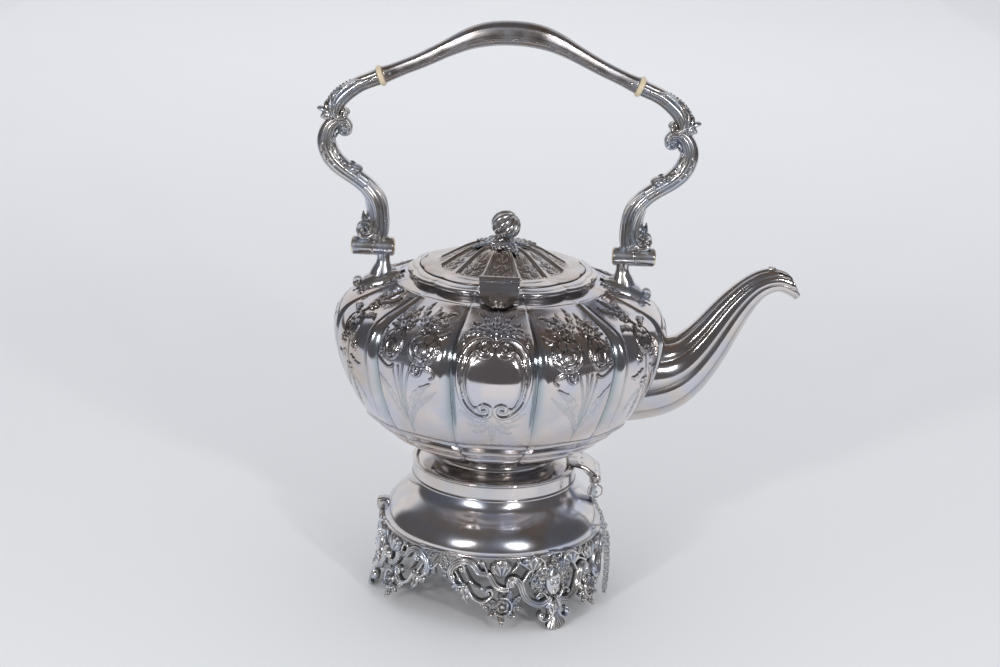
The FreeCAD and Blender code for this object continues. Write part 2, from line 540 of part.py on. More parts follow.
ft = foot()
print("foot", round(ft.Volume), ft.isValid(), len(ft.Solids), ft.BoundBox)
for node, k in (("stand_foot_back_right", 0), ("stand_foot_left", 1), ("stand_foot_front_right", 2)):
    feature(node, ft.copy(), turn=Rotation(V(0, 0, 1), D["foot_turn"] + 120.0 * k))

# ---------------------------------------------------------------- kettle hinge on the stand
hx, hz, hb = D["hinge_reach"], D["hinge_level"], D["hinge_barrel"]
post = prism([(hx - 3.4, -6.6, hz), (hx - 0.6, -6.6, hz), (hx - 0.2, -6.6, hz - 9.0), (hx + 1.6, -6.6, 52.0), (hx - 9.0, -6.6, 52.0), (hx - 4.4, -6.6, hz - 9.0)], (0, 13.2, 0))
knuckle = Part.makeCylinder(hb, 13.2, V(hx, -6.6, hz), V(0, 1, 0))
hp = post.fuse(knuckle).cut(Part.makeCylinder(D["lock_bore"], 40, V(hx, -20, hz), V(0, 1, 0))).cut(drum_full)
hp = max(hp.Solids, key=lambda s: s.Volume).removeSplitter()
feature("stand_hinge_post", hp)
strap_k = []
for y0 in (-13.0, 6.8):
    strap_k.append(Part.makeCylinder(hb, 6.2, V(hx, y0, hz), V(0, 1, 0)))
strap = prism([(44.5, -13.0, 86.6), (50.2, -13.0, 86.4), (61.6, -13.0, 79.8), (61.0, -13.0, 78.4), (58.6, -13.0, 77.0), (56.2, -13.0, 79.0), (50.2, -13.0, 84.5), (44.5, -13.0, 84.5)], (0, 26.0, 0))
relief = Part.makeBox(30, 13.6, 30, V(54.6, -6.8, 60))
strap = strap.cut(relief)
strap = strap.fuse(strap_k)
strap = strap.cut(Part.makeCylinder(D["lock_bore"], 40, V(hx, -20, hz), V(0, 1, 0)))
seat = prism([(38.0, -11.0, 86.6), (46.0, -11.0, 86.6), (46.0, -11.0, 83.4), (38.0, -11.0, 84.9)], (0, 22.0, 0))
strap = strap.fuse(seat).cut(spool).cut(outer_solid)
strap = max(strap.Solids, key=lambda s: s.Volume)
feature("kettle_hinge_strap", strap)

# keeper lug on the left of the drum
lug = prism([(-70.0, -3.4, 55.4), (-58.0, -3.4, 55.4), (-60.0, -3.4, 47.6), (-66.0, -3.4, 46.2), (-69.6, -3.4, 46.8), (-70.2, -3.4, 49.6), (-68.6, -3.4, 51.4), (-70.0, -3.4, 52.4)], (0, 6.8, 0))
lug = lug.cut(drum_full)
lug = max(lug.Solids, key=lambda s: s.Volume)
feature("keeper_lug", lug)

# chain anchor: a small eye on the drum's right
AN = math.radians(-14.0)
eye_c = V(69.4 * math.cos(AN), 69.4 * math.sin(AN), 48.6)
eye = Part.makeTorus(1.8, 0.6, eye_c, V(-math.sin(AN), math.cos(AN), 0))
stalk = Part.makeCylinder(0.7, 6.0, V(62.4 * math.cos(AN), 62.4 * math.sin(AN), 48.6), V(math.cos(AN), math.sin(AN), 0))
anchor = stalk.fuse(eye).cut(Part.makeCylinder(1.2, 6, eye_c - V(-math.sin(AN), math.cos(AN), 0) * 3, V(-math.sin(AN), math.cos(AN), 0))).cut(drum_full)
anchor = max(anchor.Solids, key=lambda s: s.Volume)
feature("chain_anchor", anchor)

# ---------------------------------------------------------------- lock pin, ring, chain
shaft = Part.makeCylinder(D["lock_shaft"], 28.4, V(hx, -14.2, hz), V(0, 1, 0))
nose = Part.makeCone(D["lock_shaft"], 0.8, 1.6, V(hx, 14.2, hz), V(0, 1, 0))
flange = Part.makeCylinder(3.0, 1.6, V(hx, -14.8, hz), V(0, 1, 0))
ball = Part.makeSphere(2.7, V(hx, -16.6, hz))
eye2c = V(hx, -20.4, hz + 0.2)
eye2 = Part.makeTorus(1.9, 0.7, eye2c, V(1, 0, 0))
pin = shaft.fuse([nose, flange, ball, eye2])
pin = pin.cut(Part.makeCylinder(1.25, 8, eye2c - V(4, 0, 0), V(1, 0, 0)))
pin = max(pin.Solids, key=lambda s: s.Volume)
feature("lock_pin", pin)
ringc = V(hx, -20.4, hz + 0.2 - 4.2)
feature("lock_ring", Part.makeTorus(4.2, 0.55, V(0, 0, 0), V(0, 1, 0)), base=tuple(ringc))
CHAIN = [(61.2, -20.4, 64.9), (63.0, -20.4, 61.4), (65.4, -20.4, 57.0), (67.0, -20.3, 50.0), (68.2, -20.3, 40.0),
         (69.4, -20.6, 28.0), (69.4, -21.4, 18.0), (69.2, -22.0, 12.6), (69.4, -21.4, 8.6), (70.0, -18.4, 6.6), (70.6, -15.2, 8.6),
         (71.0, -14.4, 12.6), (71.2, -14.8, 18.0), (71.2, -15.4, 26.0), (70.8, -16.0, 34.0), (70.2, -16.5, 41.0), (69.6, -16.8, 45.4)]
# the ring hangs from the pin, so the first, larger link hangs from the ring's lowest point
low = V(ringc[0], ringc[1], ringc[2] - 4.2)
CHAIN[0] = (low.x + 0.1, low.y, low.z - 3.05)
cc = Part.BSplineCurve()
cc.interpolate([V(*p) for p in CHAIN])
total = cc.length()
pitch = 1.26
count = int(total / pitch)
links = [Part.makeTorus(1.85, 0.3, V(low.x, low.y, low.z - 0.9), V(1, 0, 0))]
side = V(1, 0, 0)
for i in range(count + 1):
    u = cc.parameterAtDistance(i * pitch, cc.FirstParameter)
    p = cc.value(u)
    t = cc.tangent(u)[0]
    # carry one side direction along the line so that the links don't twist
    side = side - t * side.dot(t)
    side.normalize()
    other = t.cross(side)
    # alternate the links a quarter turn about the chain's line
    ax = side if i % 2 else other
    links.append(Part.makeTorus(0.98, 0.3, p, ax))
print("chain links", len(links), "length", round(total, 1))
feature("lock_chain", Part.makeCompound(links))

# ---------------------------------------------------------------- lid
LID = [(39.6, 204.1), (34.4, 206.7), (28.0, 210.4), (22.0, 213.7), (16.0, 216.1), (10.0, 217.4), (4.0, 217.9)]
LIDIN = offset_line(LID, 1.1)
lr = D["lid_radius"]
lid = revolve([("s", LID), ("l", [LID[-1], (D["stud_radius"] + 0.03, 217.9), (D["stud_radius"] + 0.03, LIDIN[-1][1]), LIDIN[-1]]),
               ("s", list(reversed(LIDIN))),
               ("l", [LIDIN[0], (39.0, 202.9), (40.8, zl), (lr, zl), (lr, 203.2), (46.6, 203.9), (45.4, 203.7), (44.6, 204.3), (42.0, 204.0), LID[0]])])
feature("lid_dome", lid)
turned("lid_bezel", [(40.9, 0.0), (D["bezel_outer"], 0.0), (D["bezel_outer"], 5.6), (40.9, 5.6)],
       bind={(1, "r"): "dims.bezel_outer", (2, "r"): "dims.bezel_outer"}, base=(0, 0, zl - 5.6))
LX = -1.5      # the lid hinge sits slightly left of the axis
hy, hzl, lb = D["lidhinge_back"], D["lidhinge_level"], D["lidbarrel"]
kn = 4.6
xs = [LX - 11.5 + kn * i for i in range(5)]
def knuckles(which):
    return [Part.makeCylinder(lb, kn - 0.12, V(xs[i] + 0.06, hy, hzl), V(1, 0, 0)) for i in which]
bleaf = prism([(LX - 11.5, hy - 2.45, hzl - 0.3), (LX - 11.5, hy - 3.6, hzl - 0.3), (LX - 11.5, hy - 3.7, 202.2), (LX - 11.5, hy - 5.2, 198.6), (LX - 11.5, hy - 13.4, 194.4),
               (LX - 11.5, hy - 13.4, 185.0), (LX - 11.5, hy - 2.2, 185.0), (LX - 11.5, hy - 2.2, 203.5), (LX - 11.5, hy - 2.45, 205.0)], (23.0, 0, 0))
notch = prism([(LX - 3.4, hy - 20, 201.4), (LX + 3.4, hy - 20, 201.4), (LX, hy - 20, 198.2)], (0, 12, 0))
webs = []
for i in (0, 2, 4):
    webs.append(Part.makeBox(kn - 0.12, 2.6, 2.0, V(xs[i] + 0.06, hy - 3.0, hzl - 1.9)))
bleaf = bleaf.fuse(knuckles((0, 2, 4)) + webs)
bleaf = bleaf.cut(Part.makeCylinder(D["lidbore"], 40, V(LX - 20, hy, hzl), V(1, 0, 0))).cut(outer_solid).cut(rim)
mouth_clear = revolve([("l", [(0.0, 190.0), (R + 0.15, 190.0), (R + 0.15, 206.0), (0.0, 206.0)])])
bleaf = bleaf.cut(mouth_clear)
bleaf = max(bleaf.Solids, key=lambda s: s.Volume)
feature("lid_hinge_body_leaf", bleaf)
lleaf = prism([(LX - 11.5, hy, hzl + 1.1), (LX - 11.5, -50.4, hzl + 1.1), (LX - 11.5, -42.0, 206.3), (LX - 11.5, -38.4, 206.3), (LX - 11.5, -38.4, 202.8),
               (LX - 11.5, -43.4, 202.8), (LX - 11.5, -43.4, 204.9), (LX - 11.5, -50.8, hzl - 0.9), (LX - 11.5, hy, hzl - 0.9)], (23.0, 0, 0))
room = [Part.makeCylinder(lb + 0.15, kn + 0.12, V(xs[i] - 0.06, hy, hzl), V(1, 0, 0)) for i in (0, 2, 4)]
lleaf = lleaf.cut(room).fuse(knuckles((1, 3)))
lleaf = lleaf.cut(Part.makeCylinder(D["lidbore"], 40, V(LX - 20, hy, hzl), V(1, 0, 0)))
lid_env = revolve([("s", LID), ("l", [LID[-1], (0.0, 217.9), (0.0, 200.0), (lr, 200.0), (lr, 203.2), (46.6, 203.9), (45.4, 203.7), (44.6, 204.3), (42.0, 204.0), LID[0]])])
lleaf = lleaf.cut(lid_env)
lleaf = max(lleaf.Solids, key=lambda s: s.Volume)
feature("lid_hinge_lid_leaf", lleaf)
turned("lid_hinge_pin", [(0.0, 0.0), (D["lidpin"], 0.0), (D["lidpin"], 23.0), (0.0, 23.0)],
       bind={(1, "r"): "dims.lidpin", (2, "r"): "dims.lidpin"}, base=(LX - 11.5, hy, hzl), turn=Rotation(V(0, 0, 1), V(1, 0, 0)))
# calyx of leaves under the finial
cal = revolve([("l", [(D["stud_radius"] + 0.03, 217.9), (4.0, 217.9), (9.0, 218.1), (15.0, 217.4), (21.2, 215.6), (21.4, 216.5), (15.2, 218.8), (9.0, 220.0), (4.0, 220.2), (D["stud_radius"] + 0.03, 220.2)])])
cal = cal.cut(lid_env)
gaps = []
for k in range(8):
    a0 = math.radians(22.5 + 45 * k)
    pts = [(8.5 * math.cos(a0), 8.5 * math.sin(a0)), (26 * math.cos(a0 - 0.30), 26 * math.sin(a0 - 0.30)), (30 * math.cos(a0), 30 * math.sin(a0)), (26 * math.cos(a0 + 0.30), 26 * math.sin(a0 + 0.30))]
    gaps.append(prism([(x, y, 210.0) for x, y in pts], (0, 0, 15.0)))
cal = cal.cut(gaps)
cal = max(cal.Solids, key=lambda s: s.Volume)
feature("finial_leaves", cal)
mr = D["melon_radius"]
mel = Part.makeSphere(mr)
mx = FreeCAD.Matrix(); mx.scale(1.0, 1.0, 0.93)
mel = mel.transformGeometry(mx)
mc = V(0.9, 0, 228.0)
mel.translate(mc)
mel = mel.cut(Part.makeCylinder(D["stud_radius"] + 0.03, 12.0, V(0, 0, 214.0), V(0, 0, 1))).cut(cal)
mel = mel.cut(Part.makeBox(40, 40, 20, V(-20, -20, 200.2)))
mel = max(mel.Solids, key=lambda s: s.Volume)
feature("finial_melon", mel)
turned("finial_stud", [(0.0, 0.0), (D["stud_radius"], 0.0), (D["stud_radius"], 12.6), (0.0, 12.6)],
       bind={(1, "r"): "dims.stud_radius", (2, "r"): "dims.stud_radius"}, base=(0, 0, 213.2))
nut_pts = [(3.2 * math.cos(math.radians(60 * k)), 3.2 * math.sin(math.radians(60 * k)), 0) for k in range(6)]
nut = prism(nut_pts, (0, 0, 2.2)).cut(Part.makeCylinder(D["stud_radius"] + 0.03, 6, V(0, 0, -1)))
feature("finial_nut", nut, base=(0, 0, LIDIN[-1][1] - 2.2 - 0.02))

# ---------------------------------------------------------------- burner
cl = D["cradle_level"]
ringb = revolve([("l", [(D["cradle_inner"], cl - 2.6), (27.4, cl - 2.6), (27.4, cl), (D["cradle_inner"], cl)])])
arms = []
for k in range(3):
    a = Part.makeBox(70.0 - 26.4, 5.0, 2.0, V(26.4, -2.5, cl - 2.3))
    a.rotate(V(0, 0, 0), V(0, 0, 1), D["foot_turn"] + 60 + 120.0 * k)
    arms.append(a)
drum_hollow = revolve([("s", drum_in), ("l", [drum_in[-1], (0.0, 45.0), (0.0, 73.1), drum_in[0]])])
drum_hollow2 = Part.makeCylinder(drum_in[-1][0], 10, V(0, 0, 36.0))
cradle = ringb.fuse(arms)
cradle = cradle.common(drum_hollow.fuse(drum_hollow2)).cut(drum)
cradle = max(cradle.Solids, key=lambda s: s.Volume)
feature("burner_cradle", cradle)
fr = D["font_radius"]
turned("burner_font", [(0.0, 0.0), (12.0, 0.0), (19.0, 1.8), (fr, 9.0), (fr, 19.5), (26.6, 19.5), (26.6, 20.6), (24.0, 21.0), (15.0, 25.4), (9.0, 27.8), (9.0, 33.0), (7.4, 33.0),
                       (7.4, 27.0), (14.2, 24.2), (22.8, 19.8), (22.8, 9.4), (18.2, 2.8), (11.6, 1.0), (0.0, 1.0)],
       bind={(3, "r"): "dims.font_radius", (4, "r"): "dims.font_radius"}, base=(0, 0, cl - 19.5 + 0.0))
zf = cl - 19.5
turned("wick_holder", [(3.65, 8.0), (4.6, 8.0), (4.6, 33.05), (10.0, 33.05), (10.0, 34.2), (4.8, 34.2), (4.8, 40.0), (3.65, 40.0)], base=(0, 0, zf))
turned("wick", [(0.0, 3.0), (D["wick_radius"], 3.0), (D["wick_radius"], 41.2), (0.0, 41.2)],
       bind={(1, "r"): "dims.wick_radius", (2, "r"): "dims.wick_radius"}, base=(0, 0, zf))
turned("snuffer", [(5.4, 34.25), (6.8, 34.25), (6.8, 43.4), (4.4, 46.0), (1.6, 46.6), (1.4, 48.4), (2.8, 50.0), (2.4, 51.8), (0.0, 52.4), (0.0, 44.6), (4.0, 44.0), (5.4, 42.4)], base=(0, 0, zf))

doc.recompute()
os.makedirs("parts", exist_ok=True)
bad = 0
for obj in doc.Objects:
    if any(flag in ("Invalid", "Error") for flag in obj.State):
        print("STATE", obj.Name, obj.State)
        bad += 1
for node, obj in NODES:
    shape = obj.Shape
    if shape.isNull() or not shape.isValid() or shape.Volume <= 0:
        print("SHAPE", node, shape.isNull(), shape.isValid())
        bad += 1
if bad:
    raise SystemExit("%d faults" % bad)
for node, obj in NODES:
    obj.Shape.exportStep("parts/%s.step" % node)
    bb = obj.Shape.BoundBox
    print("%-26s solids %3d vol %9.1f  x %7.1f %7.1f  y %7.1f %7.1f  z %7.1f %7.1f" % (node, len(obj.Shape.Solids), obj.Shape.Volume, bb.XMin, bb.XMax, bb.YMin, bb.YMax, bb.ZMin, bb.ZMax))
print("nodes", len(NODES))
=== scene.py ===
import math
import bmesh
import bpy
import numpy as np
from mathutils import Matrix, Vector


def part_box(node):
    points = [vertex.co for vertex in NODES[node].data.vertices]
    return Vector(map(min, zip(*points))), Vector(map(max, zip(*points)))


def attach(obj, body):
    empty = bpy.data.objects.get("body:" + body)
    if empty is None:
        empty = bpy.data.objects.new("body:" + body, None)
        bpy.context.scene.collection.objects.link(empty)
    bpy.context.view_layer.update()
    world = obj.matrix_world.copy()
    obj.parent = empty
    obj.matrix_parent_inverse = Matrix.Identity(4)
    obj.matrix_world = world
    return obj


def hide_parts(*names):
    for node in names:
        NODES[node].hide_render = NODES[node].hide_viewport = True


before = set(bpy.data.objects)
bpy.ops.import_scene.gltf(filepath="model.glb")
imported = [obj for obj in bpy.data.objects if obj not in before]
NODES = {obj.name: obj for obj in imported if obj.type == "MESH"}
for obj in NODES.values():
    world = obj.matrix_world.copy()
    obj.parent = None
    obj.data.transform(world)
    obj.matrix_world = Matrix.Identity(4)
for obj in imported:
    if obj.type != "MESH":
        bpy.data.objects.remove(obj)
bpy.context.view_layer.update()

MM = 0.001
rng = np.random.default_rng(7)


# ------------------------------------------------------------------ geometry helpers (millimetres)
class Geo:
    """Collects closed patches of one piece. Each vertex has a cavity value: 0 worn and bright, 1 dark recess."""

    def __init__(self):
        self.v, self.q, self.t, self.c, self.n = [], [], [], [], 0

    def add(self, v, quads=None, tris=None, cav=0.0):
        v = np.asarray(v, float).reshape(-1, 3)
        self.v.append(v)
        self.c.append(np.broadcast_to(np.asarray(cav, float), (len(v),)).astype(float).copy())
        if quads is not None and len(quads):
            self.q.append(np.asarray(quads, np.int64).reshape(-1, 4) + self.n)
        if tris is not None and len(tris):
            self.t.append(np.asarray(tris, np.int64).reshape(-1, 3) + self.n)
        self.n += len(v)
        return self

    def merge(self, other, fn=None):
        v = np.concatenate(other.v)
        c = np.concatenate(other.c)
        if fn is not None:
            v = fn(v)
        q = np.concatenate(other.q) if other.q else None
        t = np.concatenate(other.t) if other.t else None
        return self.add(v, q, t, c)


def build(name, geo, body, mat, replaces=(), flip=False, smooth=True):
    v = np.concatenate(geo.v) * MM
    q = np.concatenate(geo.q) if geo.q else np.zeros((0, 4), np.int64)
    t = np.concatenate(geo.t) if geo.t else np.zeros((0, 3), np.int64)
    if flip:
        q, t = q[:, ::-1], t[:, ::-1]
    me = bpy.data.meshes.new(name)
    me.vertices.add(len(v))
    me.vertices.foreach_set("co", v.astype(np.float32).ravel())
    nl = q.size + t.size
    me.loops.add(nl)
    me.loops.foreach_set("vertex_index", np.concatenate([q.ravel(), t.ravel()]).astype(np.int32))
    me.polygons.add(len(q) + len(t))
    start = np.concatenate([np.arange(len(q)) * 4, q.size + np.arange(len(t)) * 3])
    me.polygons.foreach_set("loop_start", start.astype(np.int32))
    me.update(calc_edges=True)
    me.polygons.foreach_set("use_smooth", np.full(len(me.polygons), smooth))
    at = me.attributes.new("cavity", "FLOAT", "POINT")
    at.data.foreach_set("value", np.clip(np.concatenate(geo.c), 0, 1).astype(np.float32))
    if getattr(geo, "tint", None) is not None:
        tt = me.attributes.new("tint", "FLOAT", "POINT")
        tt.data.foreach_set("value", np.asarray(geo.tint, np.float32))
    me.validate()
    bm = bmesh.new()
    bm.from_mesh(me)
    bmesh.ops.recalc_face_normals(bm, faces=bm.faces)
    bm.to_mesh(me)
    bm.free()
    me.update()
    ob = bpy.data.objects.new(name, me)
    bpy.context.scene.collection.objects.link(ob)
    me.materials.append(mat)
    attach(ob, body)
    if replaces:
        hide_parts(*replaces)
    return ob


def grid_quads(nu, nv, wrap_u=False, wrap_v=False, off=0):
    """Quads of a grid whose vertex index is i * nv + j."""
    iu = np.arange(nu if wrap_u else nu - 1)
    jv = np.arange(nv if wrap_v else nv - 1)
    i, j = np.meshgrid(iu, jv, indexing="ij")
    i2, j2 = (i + 1) % nu, (j + 1) % nv
    return np.stack([i * nv + j, i2 * nv + j, i2 * nv + j2, i * nv + j2], -1).reshape(-1, 4) + off


def spline(pts, n, closed=False):
    """Smooth curve through the points: n samples, even in chord length."""
    p = np.asarray(pts, float)
    if closed:
        p = np.vstack([p[-3:], p, p[:4]])
    d = np.r_[0, np.cumsum(np.maximum(np.linalg.norm(np.diff(p, axis=0), axis=1), 1e-9) ** 0.75)]
    m = len(p)
    h = np.diff(d)
    A = np.zeros((m, m))
    B = np.zeros((m, p.shape[1]))
    A[0, 0] = A[-1, -1] = 1.0
    for i in range(1, m - 1):
        A[i, i - 1], A[i, i], A[i, i + 1] = h[i - 1], 2 * (h[i - 1] + h[i]), h[i]
        B[i] = 6 * ((p[i + 1] - p[i]) / h[i] - (p[i] - p[i - 1]) / h[i - 1])
    k = np.linalg.solve(A, B)
    if closed:
        t = np.linspace(d[3], d[-4], n, endpoint=False)
    else:
        t = np.linspace(0, d[-1], max(n * 6, 60))
    i = np.clip(np.searchsorted(d, t, side="right") - 1, 0, m - 2)
    a, b, hh = (d[i + 1] - t)[:, None], (t - d[i])[:, None], h[i][:, None]
    c = (k[i] * a ** 3 + k[i + 1] * b ** 3) / (6 * hh) + (p[i] / hh - k[i] * hh / 6) * a + (p[i + 1] / hh - k[i + 1] * hh / 6) * b
    if closed:
        return c
    s = np.r_[0, np.cumsum(np.linalg.norm(np.diff(c, axis=0), axis=1))]
    g = np.linspace(0, s[-1], n)
    return np.stack([np.interp(g, s, c[:, a_]) for a_ in range(c.shape[1])], -1)


def smooth01(x):
    x = np.clip(x, 0, 1)
    return x * x * (3 - 2 * x)


def lathe(profile, n=256, closed=True, rfun=None, cav=0.0, turn=0.0):
    """Solid of revolution about Z of a closed (r, z) outline, counter-clockwise seen with r to the right and z up."""
    p = np.asarray(profile, float)
    a = np.linspace(0, 2 * math.pi, n, endpoint=False) + turn
    r = np.repeat(p[None, :, 0], n, 0)
    z = np.repeat(p[None, :, 1], n, 0)
    if rfun is not None:
        r, z = rfun(a[:, None], r, z)
    v = np.stack([r * np.cos(a)[:, None], r * np.sin(a)[:, None], z], -1).reshape(-1, 3)
    c = cav if np.isscalar(cav) else np.repeat(np.asarray(cav)[None, :], n, 0).ravel()
    return v, grid_quads(n, len(p), True, closed), c


def sweep(path, sec_u, sec_w, ref, wrap=True, caps=True, cav=0.0):
    """Closed tube: path (N,3), section offsets sec_u, sec_w (N,M) along the side and ref-like directions."""
    p = np.asarray(path, float)
    n = len(p)
    t = np.gradient(p, axis=0)
    t /= np.linalg.norm(t, axis=1)[:, None]
    ref = np.broadcast_to(np.asarray(ref, float), p.shape)
    side = np.cross(t, ref)
    side /= np.linalg.norm(side, axis=1)[:, None]
    up = np.cross(side, t)
    su = np.broadcast_to(np.asarray(sec_u, float), (n, np.shape(sec_u)[-1]))
    sw = np.broadcast_to(np.asarray(sec_w, float), (n, np.shape(sec_w)[-1]))
    v = p[:, None] + side[:, None] * su[..., None] + up[:, None] * sw[..., None]
    m = su.shape[1]
    quads = grid_quads(n, m, False, True)
    verts = v.reshape(-1, 3)
    tris = []
    cv = np.broadcast_to(np.asarray(cav, float), (n, m)).ravel() if np.ndim(cav) else np.full(n * m, float(cav))
    if caps:
        k = len(verts)
        verts = np.vstack([verts, v[0].mean(0), v[-1].mean(0)])
        cv = np.r_[cv, cv[0], cv[-1]]
        j = np.arange(m)
        j2 = (j + 1) % m
        tris = np.vstack([np.stack([np.full(m, k), j, j2], -1), np.stack([np.full(m, k + 1), (n - 1) * m + j2, (n - 1) * m + j], -1)])
    return verts, quads, tris, cv


def ball(c, r, nu=20, nv=12, squash=(1, 1, 1)):
    a = np.linspace(0, 2 * math.pi, nu, endpoint=False)
    b = np.linspace(-math.pi / 2, math.pi / 2, nv)
    b[0] += 1e-3
    b[-1] -= 1e-3
    A, Bq = np.meshgrid(a, b, indexing="ij")
    v = np.stack([np.cos(A) * np.cos(Bq) * squash[0], np.sin(A) * np.cos(Bq) * squash[1], np.sin(Bq) * squash[2]], -1) * r + np.asarray(c, float)
    v = v.reshape(-1, 3)
    q = grid_quads(nu, nv, True, False)
    k = len(v)
    v = np.vstack([v, v[0:nu * nv:nv].mean(0), v[nv - 1:nu * nv:nv].mean(0)])
    i = np.arange(nu)
    i2 = (i + 1) % nu
    t = np.vstack([np.stack([np.full(nu, k), i2 * nv, i * nv], -1), np.stack([np.full(nu, k + 1), i * nv + nv - 1, i2 * nv + nv - 1], -1)])
    return v, q, t


def add_ball(g, c, r, cav=0.0, nu=18, nv=11, squash=(1, 1, 1), fn=None):
    v, q, t = ball(c, r, nu, nv, squash)
    if fn is not None:
        v = fn(v[:, 0], v[:, 1], v[:, 2])
    g.add(v, q, t, cav)


def slab(top, bottom, ct, cb=0.6):
    """Closed patch between two grids (nu, nv, 3) that share their outline."""
    nu, nv = top.shape[:2]
    v = np.concatenate([top.reshape(-1, 3), bottom.reshape(-1, 3)])
    q1 = grid_quads(nu, nv)
    q2 = grid_quads(nu, nv, off=nu * nv)[:, ::-1]
    b = np.r_[np.arange(nv), np.arange(1, nu) * nv + nv - 1, (nu - 1) * nv + np.arange(nv - 2, -1, -1), np.arange(nu - 2, 0, -1) * nv]
    b2 = np.roll(b, -1)
    q3 = np.stack([b, b2, b2 + nu * nv, b + nu * nv], -1)[:, ::-1]
    c = np.concatenate([np.broadcast_to(ct, (nu, nv)).ravel(), np.full(nu * nv, cb)])
    return v, np.vstack([q1, q2, q3[:, ::-1]]), c


